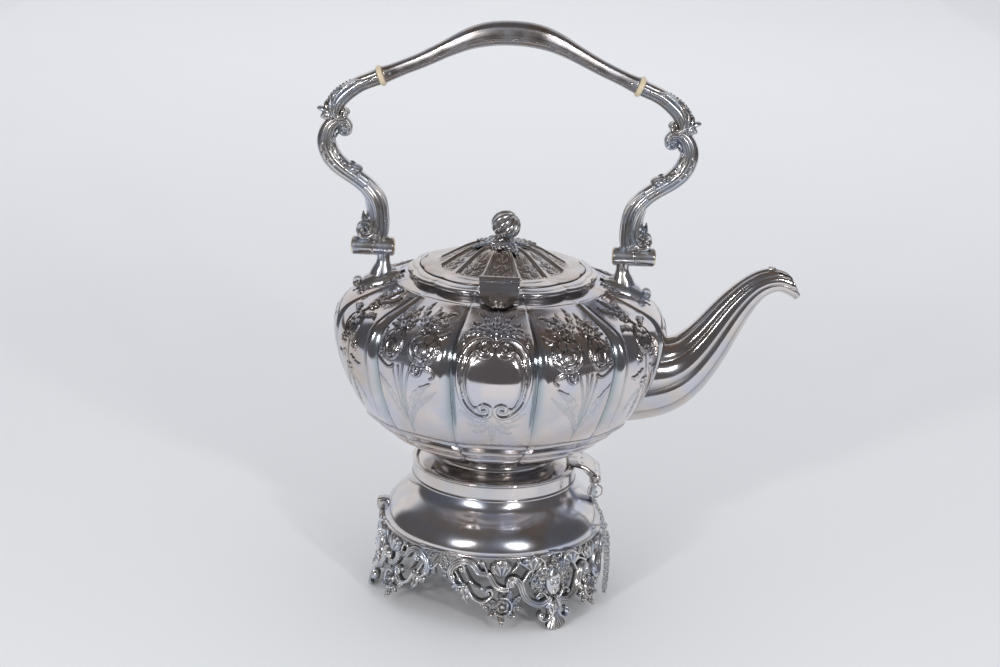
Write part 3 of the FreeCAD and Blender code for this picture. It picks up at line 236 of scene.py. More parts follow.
# ------------------------------------------------------------------ relief engine: a height map in (s, t) millimetres
class Relief:
    def __init__(self, s0, s1, t0, t1, step=0.2):
        self.s = np.arange(s0, s1 + step / 2, step)
        self.t = np.arange(t0, t1 + step / 2, step)
        self.step = step
        self.S, self.T = np.meshgrid(self.s, self.t, indexing="ij")
        self.h = np.zeros_like(self.S)
        self.c = np.zeros_like(self.S)

    def _win(self, p, pad):
        lo, hi = p.min(0) - pad, p.max(0) + pad
        i0, i1 = np.searchsorted(self.s, [lo[0], hi[0]])
        j0, j1 = np.searchsorted(self.t, [lo[1], hi[1]])
        return slice(max(i0, 0), i1), slice(max(j0, 0), j1)

    def _dist(self, p, w):
        S, T = self.S[w], self.T[w]
        best = np.full(S.shape, 1e9)
        along = np.zeros(S.shape)
        L = np.r_[0, np.cumsum(np.linalg.norm(np.diff(p, axis=0), axis=1))]
        for k in range(len(p) - 1):
            a, b = p[k], p[k + 1]
            d = b - a
            l2 = max(float(d @ d), 1e-9)
            u = np.clip(((S - a[0]) * d[0] + (T - a[1]) * d[1]) / l2, 0, 1)
            e = np.hypot(S - a[0] - u * d[0], T - a[1] - u * d[1])
            m = e < best
            best = np.where(m, e, best)
            along = np.where(m, (L[k] + u * (L[k + 1] - L[k])) / max(L[-1], 1e-9), along)
        return best, along

    def line(self, pts, width=0.45, depth=0.18, smooth=True, cav=0.9, taper=False):
        """Chased line: a narrow groove, dark in its floor."""
        p = np.asarray(pts, float)
        if smooth and len(p) > 2:
            p = spline(p, max(8, len(p) * 5))
        w = self._win(p, width * 2 + self.step)
        d, u = self._dist(p, w)
        k = np.sin(np.clip(u, 0, 1) * math.pi) ** 0.4 if taper else 1.0
        f = np.exp(-(d / (width * 0.75)) ** 2) * k
        self.h[w] -= depth * f
        self.c[w] = np.maximum(self.c[w], cav * f)

    def ridge(self, pts, w0, h0, w1=None, h1=None, smooth=True, edge=0.35, n=None):
        """Raised round band, tapering from w0, h0 to w1, h1, with a dark line round its foot."""
        p = np.asarray(pts, float)
        w1 = w0 if w1 is None else w1
        h1 = h0 if h1 is None else h1
        if smooth and len(p) > 2:
            p = spline(p, n or max(10, len(p) * 6))
        w = self._win(p, max(w0, w1) + 1.2)
        d, u = self._dist(p, w)
        ww = w0 + (w1 - w0) * u
        hh = h0 + (h1 - h0) * u
        x = d / np.maximum(ww, 0.05)
        f = np.sqrt(np.clip(1 - x * x, 0, 1))
        self.h[w] = np.maximum(self.h[w], self.h[w] * 0.3 + hh * f)
        if edge:
            g = np.exp(-((d - ww * 1.04) / 0.28) ** 2)
            self.h[w] -= 0.10 * edge * g
            self.c[w] = np.maximum(self.c[w] * (1 - 0.8 * (x < 0.8)), edge * 2.0 * g)

    def blob(self, s, t, rs, rt, h, rot=0.0, power=0.5, edge=0.3):
        p = np.array([[s, t]])
        w = self._win(p, max(rs, rt) + 1.0)
        S, T = self.S[w] - s, self.T[w] - t
        cr, sr = math.cos(rot), math.sin(rot)
        x, y = (S * cr + T * sr) / rs, (-S * sr + T * cr) / rt
        q = x * x + y * y
        f = np.clip(1 - q, 0, 1) ** power
        self.h[w] = np.where(q < 1, np.maximum(self.h[w], h * f), self.h[w])
        g = np.exp(-((np.sqrt(q) - 1.06) * min(rs, rt) / 0.26) ** 2)
        self.h[w] -= 0.10 * edge * g
        self.c[w] = np.maximum(self.c[w] * np.where(q < 0.7, 0.3, 1), edge * 2.2 * g)

    def leaf(self, pts, width, h, veins=5, teeth=0.0, vein_depth=0.16, curl=0.0):
        """Pointed leaf along a spine; teeth cuts its edge."""
        p = spline(pts, 26) if len(pts) > 2 else np.linspace(pts[0], pts[1], 20)
        w = self._win(p, width + 1.0)
        d, u = self._dist(p, w)
        S, T = self.S[w], self.T[w]
        i = np.clip((u * (len(p) - 1)).astype(int), 0, len(p) - 2)
        tx, ty = p[i + 1, 0] - p[i, 0], p[i + 1, 1] - p[i, 1]
        side = np.sign((S - p[i, 0]) * ty - (T - p[i, 1]) * tx)
        env = np.sin(np.clip(u, 0, 1) ** 0.75 * math.pi) ** 0.8
        if teeth:
            env = env * (1 - teeth * (0.5 + 0.5 * np.cos(u * veins * 2 * math.pi)))
        ww = width * np.maximum(env, 0.02)
        x = d / ww
        ins = x < 1
        f = np.sqrt(np.clip(1 - x ** 2.4, 0, 1))
        vein = np.exp(-(d / 0.3) ** 2)
        sidev = 0.5 + 0.5 * np.cos((u * veins - x * 0.35) * 2 * math.pi)
        hh = h * f * (0.72 + 0.28 * sidev) - vein_depth * vein * (u < 0.92)
        hh += curl * side * x * f
        self.h[w] = np.where(ins, np.maximum(self.h[w] * 0.4, 0) + np.maximum(hh, 0.02), self.h[w])
        g = np.exp(-((d - ww * 1.03) / 0.26) ** 2) * (u > 0.01) * (u < 0.995)
        self.h[w] -= 0.12 * g
        self.c[w] = np.where(ins & (x < 0.85), np.maximum(0.55 * vein, 0.35 * (1 - sidev) * f), np.maximum(self.c[w], 0.8 * g))

    def beads(self, pts, r, h, gap=2.1, closed=False):
        p = np.asarray(pts, float)
        d = np.r_[0, np.cumsum(np.linalg.norm(np.diff(p, axis=0), axis=1))]
        n = max(2, int(d[-1] / (r * gap)))
        g = np.linspace(0, d[-1], n, endpoint=not closed)
        for x, y in zip(np.interp(g, d, p[:, 0]), np.interp(g, d, p[:, 1])):
            self.blob(x, y, r, r, h, edge=0.22)

    def sample(self, s, t, which="h"):
        a = self.h if which == "h" else self.c
        x = np.clip((s - self.s[0]) / self.step, 0, len(self.s) - 1.001)
        y = np.clip((t - self.t[0]) / self.step, 0, len(self.t) - 1.001)
        i, j = x.astype(int), y.astype(int)
        fx, fy = x - i, y - j
        return (a[i, j] * (1 - fx) * (1 - fy) + a[i + 1, j] * fx * (1 - fy) + a[i, j + 1] * (1 - fx) * fy + a[i + 1, j + 1] * fx * fy)

    def mirrored(self):
        r = Relief.__new__(Relief)
        r.__dict__.update(self.__dict__)
        r.h, r.c = self.h[::-1].copy(), self.c[::-1].copy()
        return r


def ring_pts(s, t, rs, rt, n=40, a0=0.0, a1=360.0):
    a = np.radians(np.linspace(a0, a1, n))
    return np.stack([s + rs * np.cos(a), t + rt * np.sin(a)], -1)


def volute_pts(c, r, a0, turns, shrink=0.22, n=44):
    """Spiral into c: starts at angle a0 (degrees) and radius r; turns are signed."""
    u = np.linspace(0, 1, n)
    a = math.radians(a0) + u * turns * 2 * math.pi
    rr = r * (shrink ** u)
    return np.stack([c[0] + rr * np.cos(a), c[1] + rr * np.sin(a)], -1)


# ------------------------------------------------------------------ materials
def _n(nt, kind, x=0, y=0, **kw):
    n = nt.nodes.new(kind)
    n.location = (x, y)
    for k, v in kw.items():
        setattr(n, k, v)
    return n


def silver(name, base, tarnish, tarnish_amount, rough, recess=(0.035, 0.030, 0.028), recess_gain=1.0, cool=0.35, scale=22.0, grain=0.02, pits=0.25):
    """Plated silver: polished metal with smudged roughness, brown-gold and blue-grey tarnish clouds, dark oxide in the cavities."""
    m = bpy.data.materials.new(name)
    m.use_nodes = True
    nt = m.node_tree
    nt.nodes.clear()
    out = _n(nt, "ShaderNodeOutputMaterial", 900)
    b = _n(nt, "ShaderNodeBsdfPrincipled", 600)
    nt.links.new(b.outputs[0], out.inputs[0])
    b.inputs["Metallic"].default_value = 1.0
    tc = _n(nt, "ShaderNodeTexCoord", -1200)
    big = _n(nt, "ShaderNodeTexNoise", -900, 200)
    big.inputs["Scale"].default_value = scale
    big.inputs["Detail"].default_value = 5.0
    big.inputs["Roughness"].default_value = 0.58
    big.inputs["Distortion"].default_value = 0.5
    mid = _n(nt, "ShaderNodeTexNoise", -900, -50)
    mid.inputs["Scale"].default_value = scale * 2.6
    mid.inputs["Detail"].default_value = 6.0
    fine = _n(nt, "ShaderNodeTexNoise", -900, -300)
    fine.inputs["Scale"].default_value = scale * 16
    fine.inputs["Detail"].default_value = 5.0
    for k in (big, mid, fine):
        nt.links.new(tc.outputs["Object"], k.inputs["Vector"])
    r1 = _n(nt, "ShaderNodeValToRGB", -600, 250)
    r1.color_ramp.elements[0].position, r1.color_ramp.elements[1].position = 0.42, 0.64
    r1.color_ramp.elements[0].color, r1.color_ramp.elements[1].color = (0, 0, 0, 1), (1, 1, 1, 1)
    nt.links.new(big.outputs["Fac"], r1.inputs[0])
    k1 = _n(nt, "ShaderNodeMath", -400, 250, operation="MULTIPLY")
    k1.inputs[1].default_value = tarnish_amount
    nt.links.new(r1.outputs[0], k1.inputs[0])
    warm = _n(nt, "ShaderNodeMix", -200, 250, data_type="RGBA")
    warm.inputs[6].default_value = (*base, 1)
    warm.inputs[7].default_value = (*tarnish, 1)
    nt.links.new(k1.outputs[0], warm.inputs[0])
    r2 = _n(nt, "ShaderNodeValToRGB", -600, 0)
    r2.color_ramp.elements[0].position, r2.color_ramp.elements[1].position = 0.44, 0.62
    r2.color_ramp.elements[0].color, r2.color_ramp.elements[1].color = (0, 0, 0, 1), (cool, cool, cool, 1)
    nt.links.new(mid.outputs["Fac"], r2.inputs[0])
    blue = _n(nt, "ShaderNodeMix", 0, 250, data_type="RGBA")
    blue.inputs[7].default_value = (base[0] * 0.74, base[1] * 0.84, base[2] * 1.0, 1)
    nt.links.new(r2.outputs[0], blue.inputs[0])
    nt.links.new(warm.outputs[2], blue.inputs[6])
    cav = _n(nt, "ShaderNodeAttribute", -600, 520, attribute_name="cavity")
    c1 = _n(nt, "ShaderNodeMath", -400, 520, operation="MULTIPLY", use_clamp=True)
    c1.inputs[1].default_value = recess_gain
    nt.links.new(cav.outputs["Fac"], c1.inputs[0])
    tat = _n(nt, "ShaderNodeAttribute", -600, 720, attribute_name="tint")
    tmx = _n(nt, "ShaderNodeMix", 130, 450, data_type="RGBA")
    tmx.inputs[7].default_value = (0.52, 0.60, 0.645, 1)
    nt.links.new(tat.outputs["Fac"], tmx.inputs[0])
    nt.links.new(blue.outputs[2], tmx.inputs[6])
    dark = _n(nt, "ShaderNodeMix", 250, 300, data_type="RGBA")
    dark.inputs[7].default_value = (*recess, 1)
    nt.links.new(c1.outputs[0], dark.inputs[0])
    nt.links.new(tmx.outputs[2], dark.inputs[6])
    nt.links.new(dark.outputs[2], b.inputs["Base Color"])
    mr = _n(nt, "ShaderNodeMapRange", -300, -50)
    mr.inputs["From Min"].default_value, mr.inputs["From Max"].default_value = 0.30, 0.75
    mr.inputs["To Min"].default_value, mr.inputs["To Max"].default_value = rough * 0.65, rough * 1.7
    nt.links.new(mid.outputs["Fac"], mr.inputs["Value"])
    radd = _n(nt, "ShaderNodeMath", 100, -50, operation="MULTIPLY_ADD", use_clamp=True)
    radd.inputs[1].default_value = 0.35
    nt.links.new(c1.outputs[0], radd.inputs[0])
    nt.links.new(mr.outputs[0], radd.inputs[2])
    nt.links.new(radd.outputs[0], b.inputs["Roughness"])
    bump = _n(nt, "ShaderNodeBump", 300, -300)
    bump.inputs["Strength"].default_value = pits
    bump.inputs["Distance"].default_value = 0.00012
    mixn = _n(nt, "ShaderNodeMath", 0, -300, operation="MULTIPLY_ADD")
    mixn.inputs[1].default_value = grain * 10
    nt.links.new(fine.outputs["Fac"], mixn.inputs[0])
    nt.links.new(mid.outputs["Fac"], mixn.inputs[2])
    nt.links.new(mixn.outputs[0], bump.inputs["Height"])
    nt.links.new(bump.outputs[0], b.inputs["Normal"])
    return m


def plain_surface(name, col, col2, rough, scale=60.0, bump_strength=0.2, coat=0.0, sss=0.0):
    m = bpy.data.materials.new(name)
    m.use_nodes = True
    nt = m.node_tree
    b = nt.nodes["Principled BSDF"]
    tc = _n(nt, "ShaderNodeTexCoord", -900)
    no = _n(nt, "ShaderNodeTexNoise", -700)
    no.inputs["Scale"].default_value = scale
    no.inputs["Detail"].default_value = 6.0
    nt.links.new(tc.outputs["Object"], no.inputs["Vector"])
    mx = _n(nt, "ShaderNodeMix", -300, 100, data_type="RGBA")
    mx.inputs[6].default_value, mx.inputs[7].default_value = (*col, 1), (*col2, 1)
    nt.links.new(no.outputs["Fac"], mx.inputs[0])
    nt.links.new(mx.outputs[2], b.inputs["Base Color"])
    b.inputs["Roughness"].default_value = rough
    b.inputs["Coat Weight"].default_value = coat
    if sss:
        b.inputs["Subsurface Weight"].default_value = sss
        b.inputs["Subsurface Radius"].default_value = (0.004, 0.003, 0.002)
        b.inputs["Subsurface Scale"].default_value = 1.0
    bp = _n(nt, "ShaderNodeBump", -300, -200)
    bp.inputs["Strength"].default_value = bump_strength
    bp.inputs["Distance"].default_value = 0.0002
    nt.links.new(no.outputs["Fac"], bp.inputs["Height"])
    nt.links.new(bp.outputs[0], b.inputs["Normal"])
    return m


SILVER = silver("silver_polished", (0.77, 0.72, 0.715), (0.52, 0.42, 0.34), 0.60, 0.12, recess_gain=0.95, cool=0.75, scale=17.0)
SMOOTH = silver("silver_smooth", (0.77, 0.73, 0.715), (0.52, 0.45, 0.37), 0.5, 0.12, recess_gain=0.9, cool=0.6)
CAST = silver("silver_cast", (0.80, 0.785, 0.78), (0.48, 0.42, 0.35), 0.35, 0.20, recess=(0.030, 0.032, 0.034), recess_gain=1.0, cool=0.8, scale=45, pits=0.35)
# darker copy of the silver for the grip: its base colour is lowered as painted shade, with the usual tarnish clouds on
# top
GRIP_SHADED_SILVER = silver("silver_grip_painted_shade", (0.49, 0.475, 0.485), (0.42, 0.35, 0.30), 0.7, 0.25, recess_gain=0.8, cool=0.6, scale=30)
DRUM = silver("silver_drum", (0.79, 0.76, 0.755), (0.52, 0.45, 0.40), 0.6, 0.155, recess_gain=0.9, cool=0.9, scale=20)
TARNISHED = silver("silver_tarnished", (0.74, 0.70, 0.68), (0.40, 0.31, 0.24), 0.75, 0.15, recess=(0.055, 0.042, 0.033), recess_gain=0.9, scale=30)
INSIDE = silver("silver_inside", (0.70, 0.66, 0.60), (0.50, 0.40, 0.28), 0.6, 0.30, scale=18)
BRASSY = silver("silver_worn_brassy", (0.80, 0.73, 0.58), (0.72, 0.58, 0.36), 0.6, 0.17, recess_gain=0.9, cool=0.15, scale=40)
IVORY = plain_surface("cream_insulator", (0.55, 0.46, 0.31), (0.68, 0.60, 0.44), 0.32, 90.0, 0.12, coat=0.25, sss=0.1)
WICK = plain_surface("wick_cotton", (0.70, 0.64, 0.52), (0.82, 0.78, 0.68), 0.95, 900.0, 1.0)

for name, ob in NODES.items():
    mat = {"insulator_ring_right": IVORY, "insulator_ring_left": IVORY, "wick": WICK, "lid_dome": TARNISHED}.get(name, SMOOTH)
    if name.startswith(("handle_arm", "handle_bracket", "finial", "chain", "keeper", "lock", "stand_foot")):
        mat = CAST
    for s_ in ob.material_slots:
        s_.material = mat
    if not ob.material_slots:
        ob.data.materials.append(mat)

# ------------------------------------------------------------------ body: profile
PROFILE = [(34.0, 91.2), (45.0, 93.6), (54.9, 98.4), (63.7, 104.3), (73.4, 112.2), (83.2, 122.4), (90.4, 135.0), (95.8, 150.0), (98.2, 165.0),
           (97.6, 171.0), (95.6, 177.0), (92.0, 181.6), (86.0, 185.5), (78.0, 188.9), (68.0, 192.8), (62.0, 195.3), (55.0, 197.3), (52.0, 197.9)]
_p = np.array(PROFILE)
_T = 14.0 + np.r_[0, np.cumsum(np.linalg.norm(np.diff(_p, axis=0), axis=1))]


def _profile_tables():
    tt = np.linspace(_T[0], _T[-1], 700)
    # monotone cubic (Fritsch-Carlson) of both coordinates over the chord length
    out = []
    for k in range(2):
        y = _p[:, k]
        h = np.diff(_T)
        dlt = np.diff(y) / h
        m = np.zeros(len(y))
        m[1:-1] = np.where(dlt[:-1] * dlt[1:] > 0, 2 * dlt[:-1] * dlt[1:] / (dlt[:-1] + dlt[1:] + 1e-12), 0)
        m[0], m[-1] = dlt[0], dlt[-1]
        i = np.clip(np.searchsorted(_T, tt, side="right") - 1, 0, len(h) - 1)
        u = (tt - _T[i]) / h[i]
        out.append((2 * u ** 3 - 3 * u ** 2 + 1) * y[i] + (u ** 3 - 2 * u ** 2 + u) * h[i] * m[i] + (-2 * u ** 3 + 3 * u ** 2) * y[i + 1] + (u ** 3 - u ** 2) * h[i] * m[i + 1])
    r, z = out
    for _ in range(6):  # soften the joints of the pieces
        r[1:-1] = (r[:-2] + 2 * r[1:-1] + r[2:]) / 4
        z[1:-1] = (z[:-2] + 2 * z[1:-1] + z[2:]) / 4
    return tt, r, z


TT, TR, TZ = _profile_tables()
_dr, _dz = np.gradient(TR, TT), np.gradient(TZ, TT)
_l = np.hypot(_dr, _dz)
NR, NZ = _dz / _l, -_dr / _l
HALF_S = 25.4
LOBE_TURN = math.radians(-1.3)


def body_point(a, t, d):
    """Point on the kettle's wall: plan angle a from +X, meridian station t, d out along the normal."""
    r = np.interp(t, TT, TR) + d * np.interp(t, TT, NR)
    z = np.interp(t, TT, TZ) + d * np.interp(t, TT, NZ)
    return np.stack([r * np.cos(a), r * np.sin(a), z], -1)


def lobe_form(s, t):
    """Displacement of the plain lobed wall and its cavity, s in -25.4..25.4."""
    x = np.abs(s) / HALF_S
    dist = HALF_S - np.abs(s)
    fade_top = smooth01((170.2 - t) / 3.0) * (0.35 + 0.65 * smooth01((170 - t) / 26))
    fade_bot = 0.30 + 0.70 * smooth01((t - 66) / 30)
    f = fade_top * fade_bot
    wc = 2.5 + 3.1 * smooth01((152 - t) / 32)
    chan = 0.5 + 0.5 * np.cos(math.pi * np.clip(dist / wc, 0, 1))
    lobe = -(x ** 4.0) * 1.3
    d = f * (lobe - (1.5 + 0.9 * smooth01((150 - t) / 30)) * chan)
    # the lobe stands a little proud of the plain ring round the mouth, ending in a flat arch
    arch = 170.3 - 1.0 * x ** 6 - 2.5 * np.clip((x - 0.86) / 0.14, 0, 1) ** 2
    d = d - 0.55 * smooth01((t - arch) / 0.9)
    cav = 0.38 * np.exp(-((t - arch - 0.3) / 0.35) ** 2) + (0.30 + 0.35 * smooth01((t - 135) / 15)) * chan ** 3 * f
    # chased bottom tiers, scalloped petals with a notch at each channel
    for t0, dep in ((70.5, 0.8), (60.0, 0.9), (50.0, 0.9)):
        tb = t0 - 2.6 * (x ** 2.2) - 2.2 * np.clip((x - 0.9) / 0.1, 0, 1)
        e = t - tb
        d = d + dep * 0.9 * np.exp(-((e + 1.6) / 1.3) ** 2) - dep * 0.75 * np.exp(-((e) / 0.55) ** 2)
        cav = np.maximum(cav, 0.75 * np.exp(-(e / 0.45) ** 2))
    return d, cav


def chan_tint(s, t):
    """Blue-grey tarnish lying in the channels of the lower half."""
    dist = HALF_S - np.abs(s)
    return np.exp(-(dist / 4.0) ** 2) * smooth01((150 - t) / 22) * smooth01((t - 72) / 12)


# ------------------------------------------------------------------ body: chased ornament
def flower(R, s, t, r, h, petals=5, rot=0.0, squash=1.0):
    for k in range(petals):
        a = rot + 2 * math.pi * k / petals
        R.blob(s + 0.62 * r * math.cos(a) * squash, t + 0.62 * r * math.sin(a), r * 0.42 * squash + 0.05, r * 0.42, h, edge=0.35)
    R.blob(s, t, r * 0.26 * squash, r * 0.26, h * 1.35, edge=0.4)


def rose(R, s, t, rs, rt, h, beaded=True, look=(0.0, -0.32)):
    """Open rose: beaded rim, two rings of petals and an off-centre pounced heart."""
    R.blob(s, t, rs, rt, h * 0.42, power=0.35, edge=0.5)
    for k in range(6):
        a = 2 * math.pi * k / 6 + 0.25
        R.blob(s + 0.52 * rs * math.cos(a), t + 0.52 * rt * math.sin(a), rs * 0.40, rt * 0.38, h * 0.82, power=0.45, edge=0.7)
    hs, ht = s + look[0] * rs * 0.6, t + look[1] * rt * 0.6
    R.blob(hs, ht, rs * 0.46, rt * 0.42, h * 0.95, power=0.35, edge=0.8)
    R.ridge(ring_pts(hs, ht, rs * 0.40, rt * 0.36, 30, -210, 40), 0.55, h * 1.15, 0.4, h * 0.95, smooth=False, edge=0.5)
    for k in range(7):
        a = 2 * math.pi * k / 7
        R.blob(hs + 0.17 * rs * math.cos(a), ht + 0.16 * rt * math.sin(a), rs * 0.075, rt * 0.07, h * 1.12, edge=0.4)
    R.ridge(ring_pts(s, t, rs * 0.88, rt * 0.88), 0.5, h * 0.75, smooth=False, edge=0.4)
    if beaded:
        R.beads(ring_pts(s, t, rs * 1.0, rt * 1.0, 60), 0.5, h * 0.7, gap=1.7, closed=True)


def rose_round(R, s, t, rs, rt, h, beaded=True, look=(0.0, -0.32)):
    """Open rose: beaded rim, turned petals and an off-centre heart."""
    R.blob(s, t, rs, rt, h * 0.55, power=0.35, edge=0.5)
    R.ridge(ring_pts(s, t, rs * 0.80, rt * 0.80), 1.15, h, smooth=False, edge=0.35)
    if beaded:
        R.beads(ring_pts(s, t, rs * 0.97, rt * 0.97, 60), 0.52, h * 0.85, gap=2.0, closed=True)
    hs, ht = s + look[0] * rs, t + look[1] * rt
    R.ridge(ring_pts(hs, ht + rt * 0.10, rs * 0.48, rt * 0.44, 30, -200, 60), 0.75, h * 0.95, 0.55, h * 0.8, smooth=False, edge=0.5)
    R.blob(hs, ht, rs * 0.30, rt * 0.26, h * 1.15, power=0.5, edge=0.8)
    R.line(ring_pts(hs, ht, rs * 0.16, rt * 0.14, 16, 0, 300), 0.3, 0.2, smooth=False)
    for k, a0 in enumerate((20, 95, 165)):
        R.line(ring_pts(s, t, rs * 0.62, rt * 0.62, 12, a0, a0 + 55), 0.32, 0.16, smooth=False, taper=True)


def cartouche():
    R = Relief(-26.2, 26.2, 66, 180, 0.2)
    # convex medallion
    p = np.array([[0, 117.0]])
    q = (R.S / 14.6) ** 2 + ((R.T - 117.0) / 19.0) ** 2
    R.h = np.maximum(R.h, 0.55 * np.clip(1 - q, 0, 1) ** 0.5)
    g = np.exp(-((np.sqrt(q) - 1.02) * 15 / 0.4) ** 2)
    R.c = np.maximum(R.c, 0.45 * g)
    R.h -= 0.25 * g
    for m in (-1, 1):
        outer = np.array([(5.0, 134.8), (6.8, 134.0), (8.4, 135.8), (7.6, 138.6), (4.8, 139.4), (2.0, 137.6), (1.2, 134.4), (2.9, 131.4), (6.0, 130.6), (8.6, 131.6)])
        top = np.array([(5.3, 135.6), (6.6, 134.6), (7.5, 136.4), (6.2, 138.6), (3.6, 138.2), (2.3, 135.6), (3.2, 132.6), (5.9, 131.4), (8.8, 132.2)])
        R.blob(5.6 * m, 135.6, 5.2, 5.2, 1.15, power=0.4, edge=0.8)
        band = np.array([(0.9, 138.8), (3.0, 141.2), (6.6, 142.0), (11.0, 141.0), (15.2, 137.8), (18.4, 132.0), (19.9, 125.0), (20.0, 117.0), (18.9, 109.0),
                         (16.2, 102.0), (12.0, 97.2), (7.6, 94.8), (3.8, 94.9), (1.3, 97.2), (1.2, 100.6), (3.4, 103.0), (6.4, 102.8), (7.6, 100.6), (6.4, 98.8), (4.8, 99.4)])
        R.ridge(band * (m, 1), 1.65, 1.25, 1.0, 0.9, edge=0.8, n=150)
        inner = np.array([(9.4, 134.6), (11.6, 134.2), (14.2, 130.4), (15.8, 124.6), (16.2, 118.0), (15.6, 110.6), (13.6, 104.6), (10.6, 100.6), (8.9, 100.9)])
        R.ridge(inner * (m, 1), 0.65, 1.0, 0.5, 0.8, edge=0.7, n=80)
        R.ridge(volute_pts((5.6 * m, 135.4), 3.9, 90, -m * 1.35, 0.2) , 0.75, 1.6, 0.6, 1.9, smooth=False, edge=0.6)
        R.blob(5.5 * m, 135.3, 0.9, 0.9, 2.0, edge=0.3)
        R.beads(np.array([(17.3, 128.0), (18.0, 122.0), (18.0, 114.0), (17.0, 107.0)]) * (m, 1), 0.35, 0.9, gap=3.4)
        # crest leaves
        R.leaf(np.array([(1.2, 146.5), (6.5, 150.5), (11.0, 154.0), (17.0, 155.0)]) * (m, 1), 3.0, 0.95, veins=4, teeth=0.35)
        R.leaf(np.array([(1.0, 149.0), (5.0, 155.0), (8.8, 161.0), (14.0, 164.0)]) * (m, 1), 2.5, 0.8, veins=4, teeth=0.3)
        R.leaf(np.array([(3.4, 143.6), (9.0, 146.2), (14.5, 146.4), (19.6, 142.0)]) * (m, 1), 2.9, 1.1, veins=5, teeth=0.4)
        R.leaf(np.array([(8.0, 149.0), (13.0, 150.6), (18.2, 149.2)]) * (m, 1), 2.2, 0.9, veins=3, teeth=0.35)
        R.blob(19.0 * m, 139.2, 1.3, 1.8, 1.0)
        R.blob(20.4 * m, 144.6, 1.0, 1.2, 0.8)
        R.blob(3.2 * m, 144.8, 1.1, 1.1, 1.3)
        # light spray below
        R.line(np.array([(2.0, 93.0), (7.0, 91.0), (12.0, 91.6), (17.0, 95.0)]) * (m, 1), 0.34, 0.12, taper=True)
        R.leaf(np.array([(4.0, 91.6), (9.0, 88.6), (15.6, 89.6)]) * (m, 1), 1.9, 0.28, veins=3, teeth=0.35, vein_depth=0.06)
        R.leaf(np.array([(2.6, 89.4), (6.6, 84.6), (12.4, 83.0)]) * (m, 1), 2.0, 0.28, veins=3, teeth=0.35, vein_depth=0.06)
        R.leaf(np.array([(10.6, 92.6), (15.0, 95.6), (19.4, 97.8)]) * (m, 1), 1.4, 0.22, veins=3, teeth=0.3, vein_depth=0.05)
        R.blob(3.0 * m, 91.4, 0.5, 0.5, 0.3)
    R.leaf(np.array([(0, 149.0), (0, 158.0), (0, 168.6)]), 3.3, 0.95, veins=4, teeth=0.3)
    R.blob(0, 142.8, 1.2, 1.4, 1.3)
    R.blob(0, 147.6, 1.7, 2.0, 1.3, edge=0.5)
    R.leaf(np.array([(0, 90.6), (0, 83.0), (0, 75.6)]), 2.3, 0.3, veins=4, teeth=0.35, vein_depth=0.06)
    return R


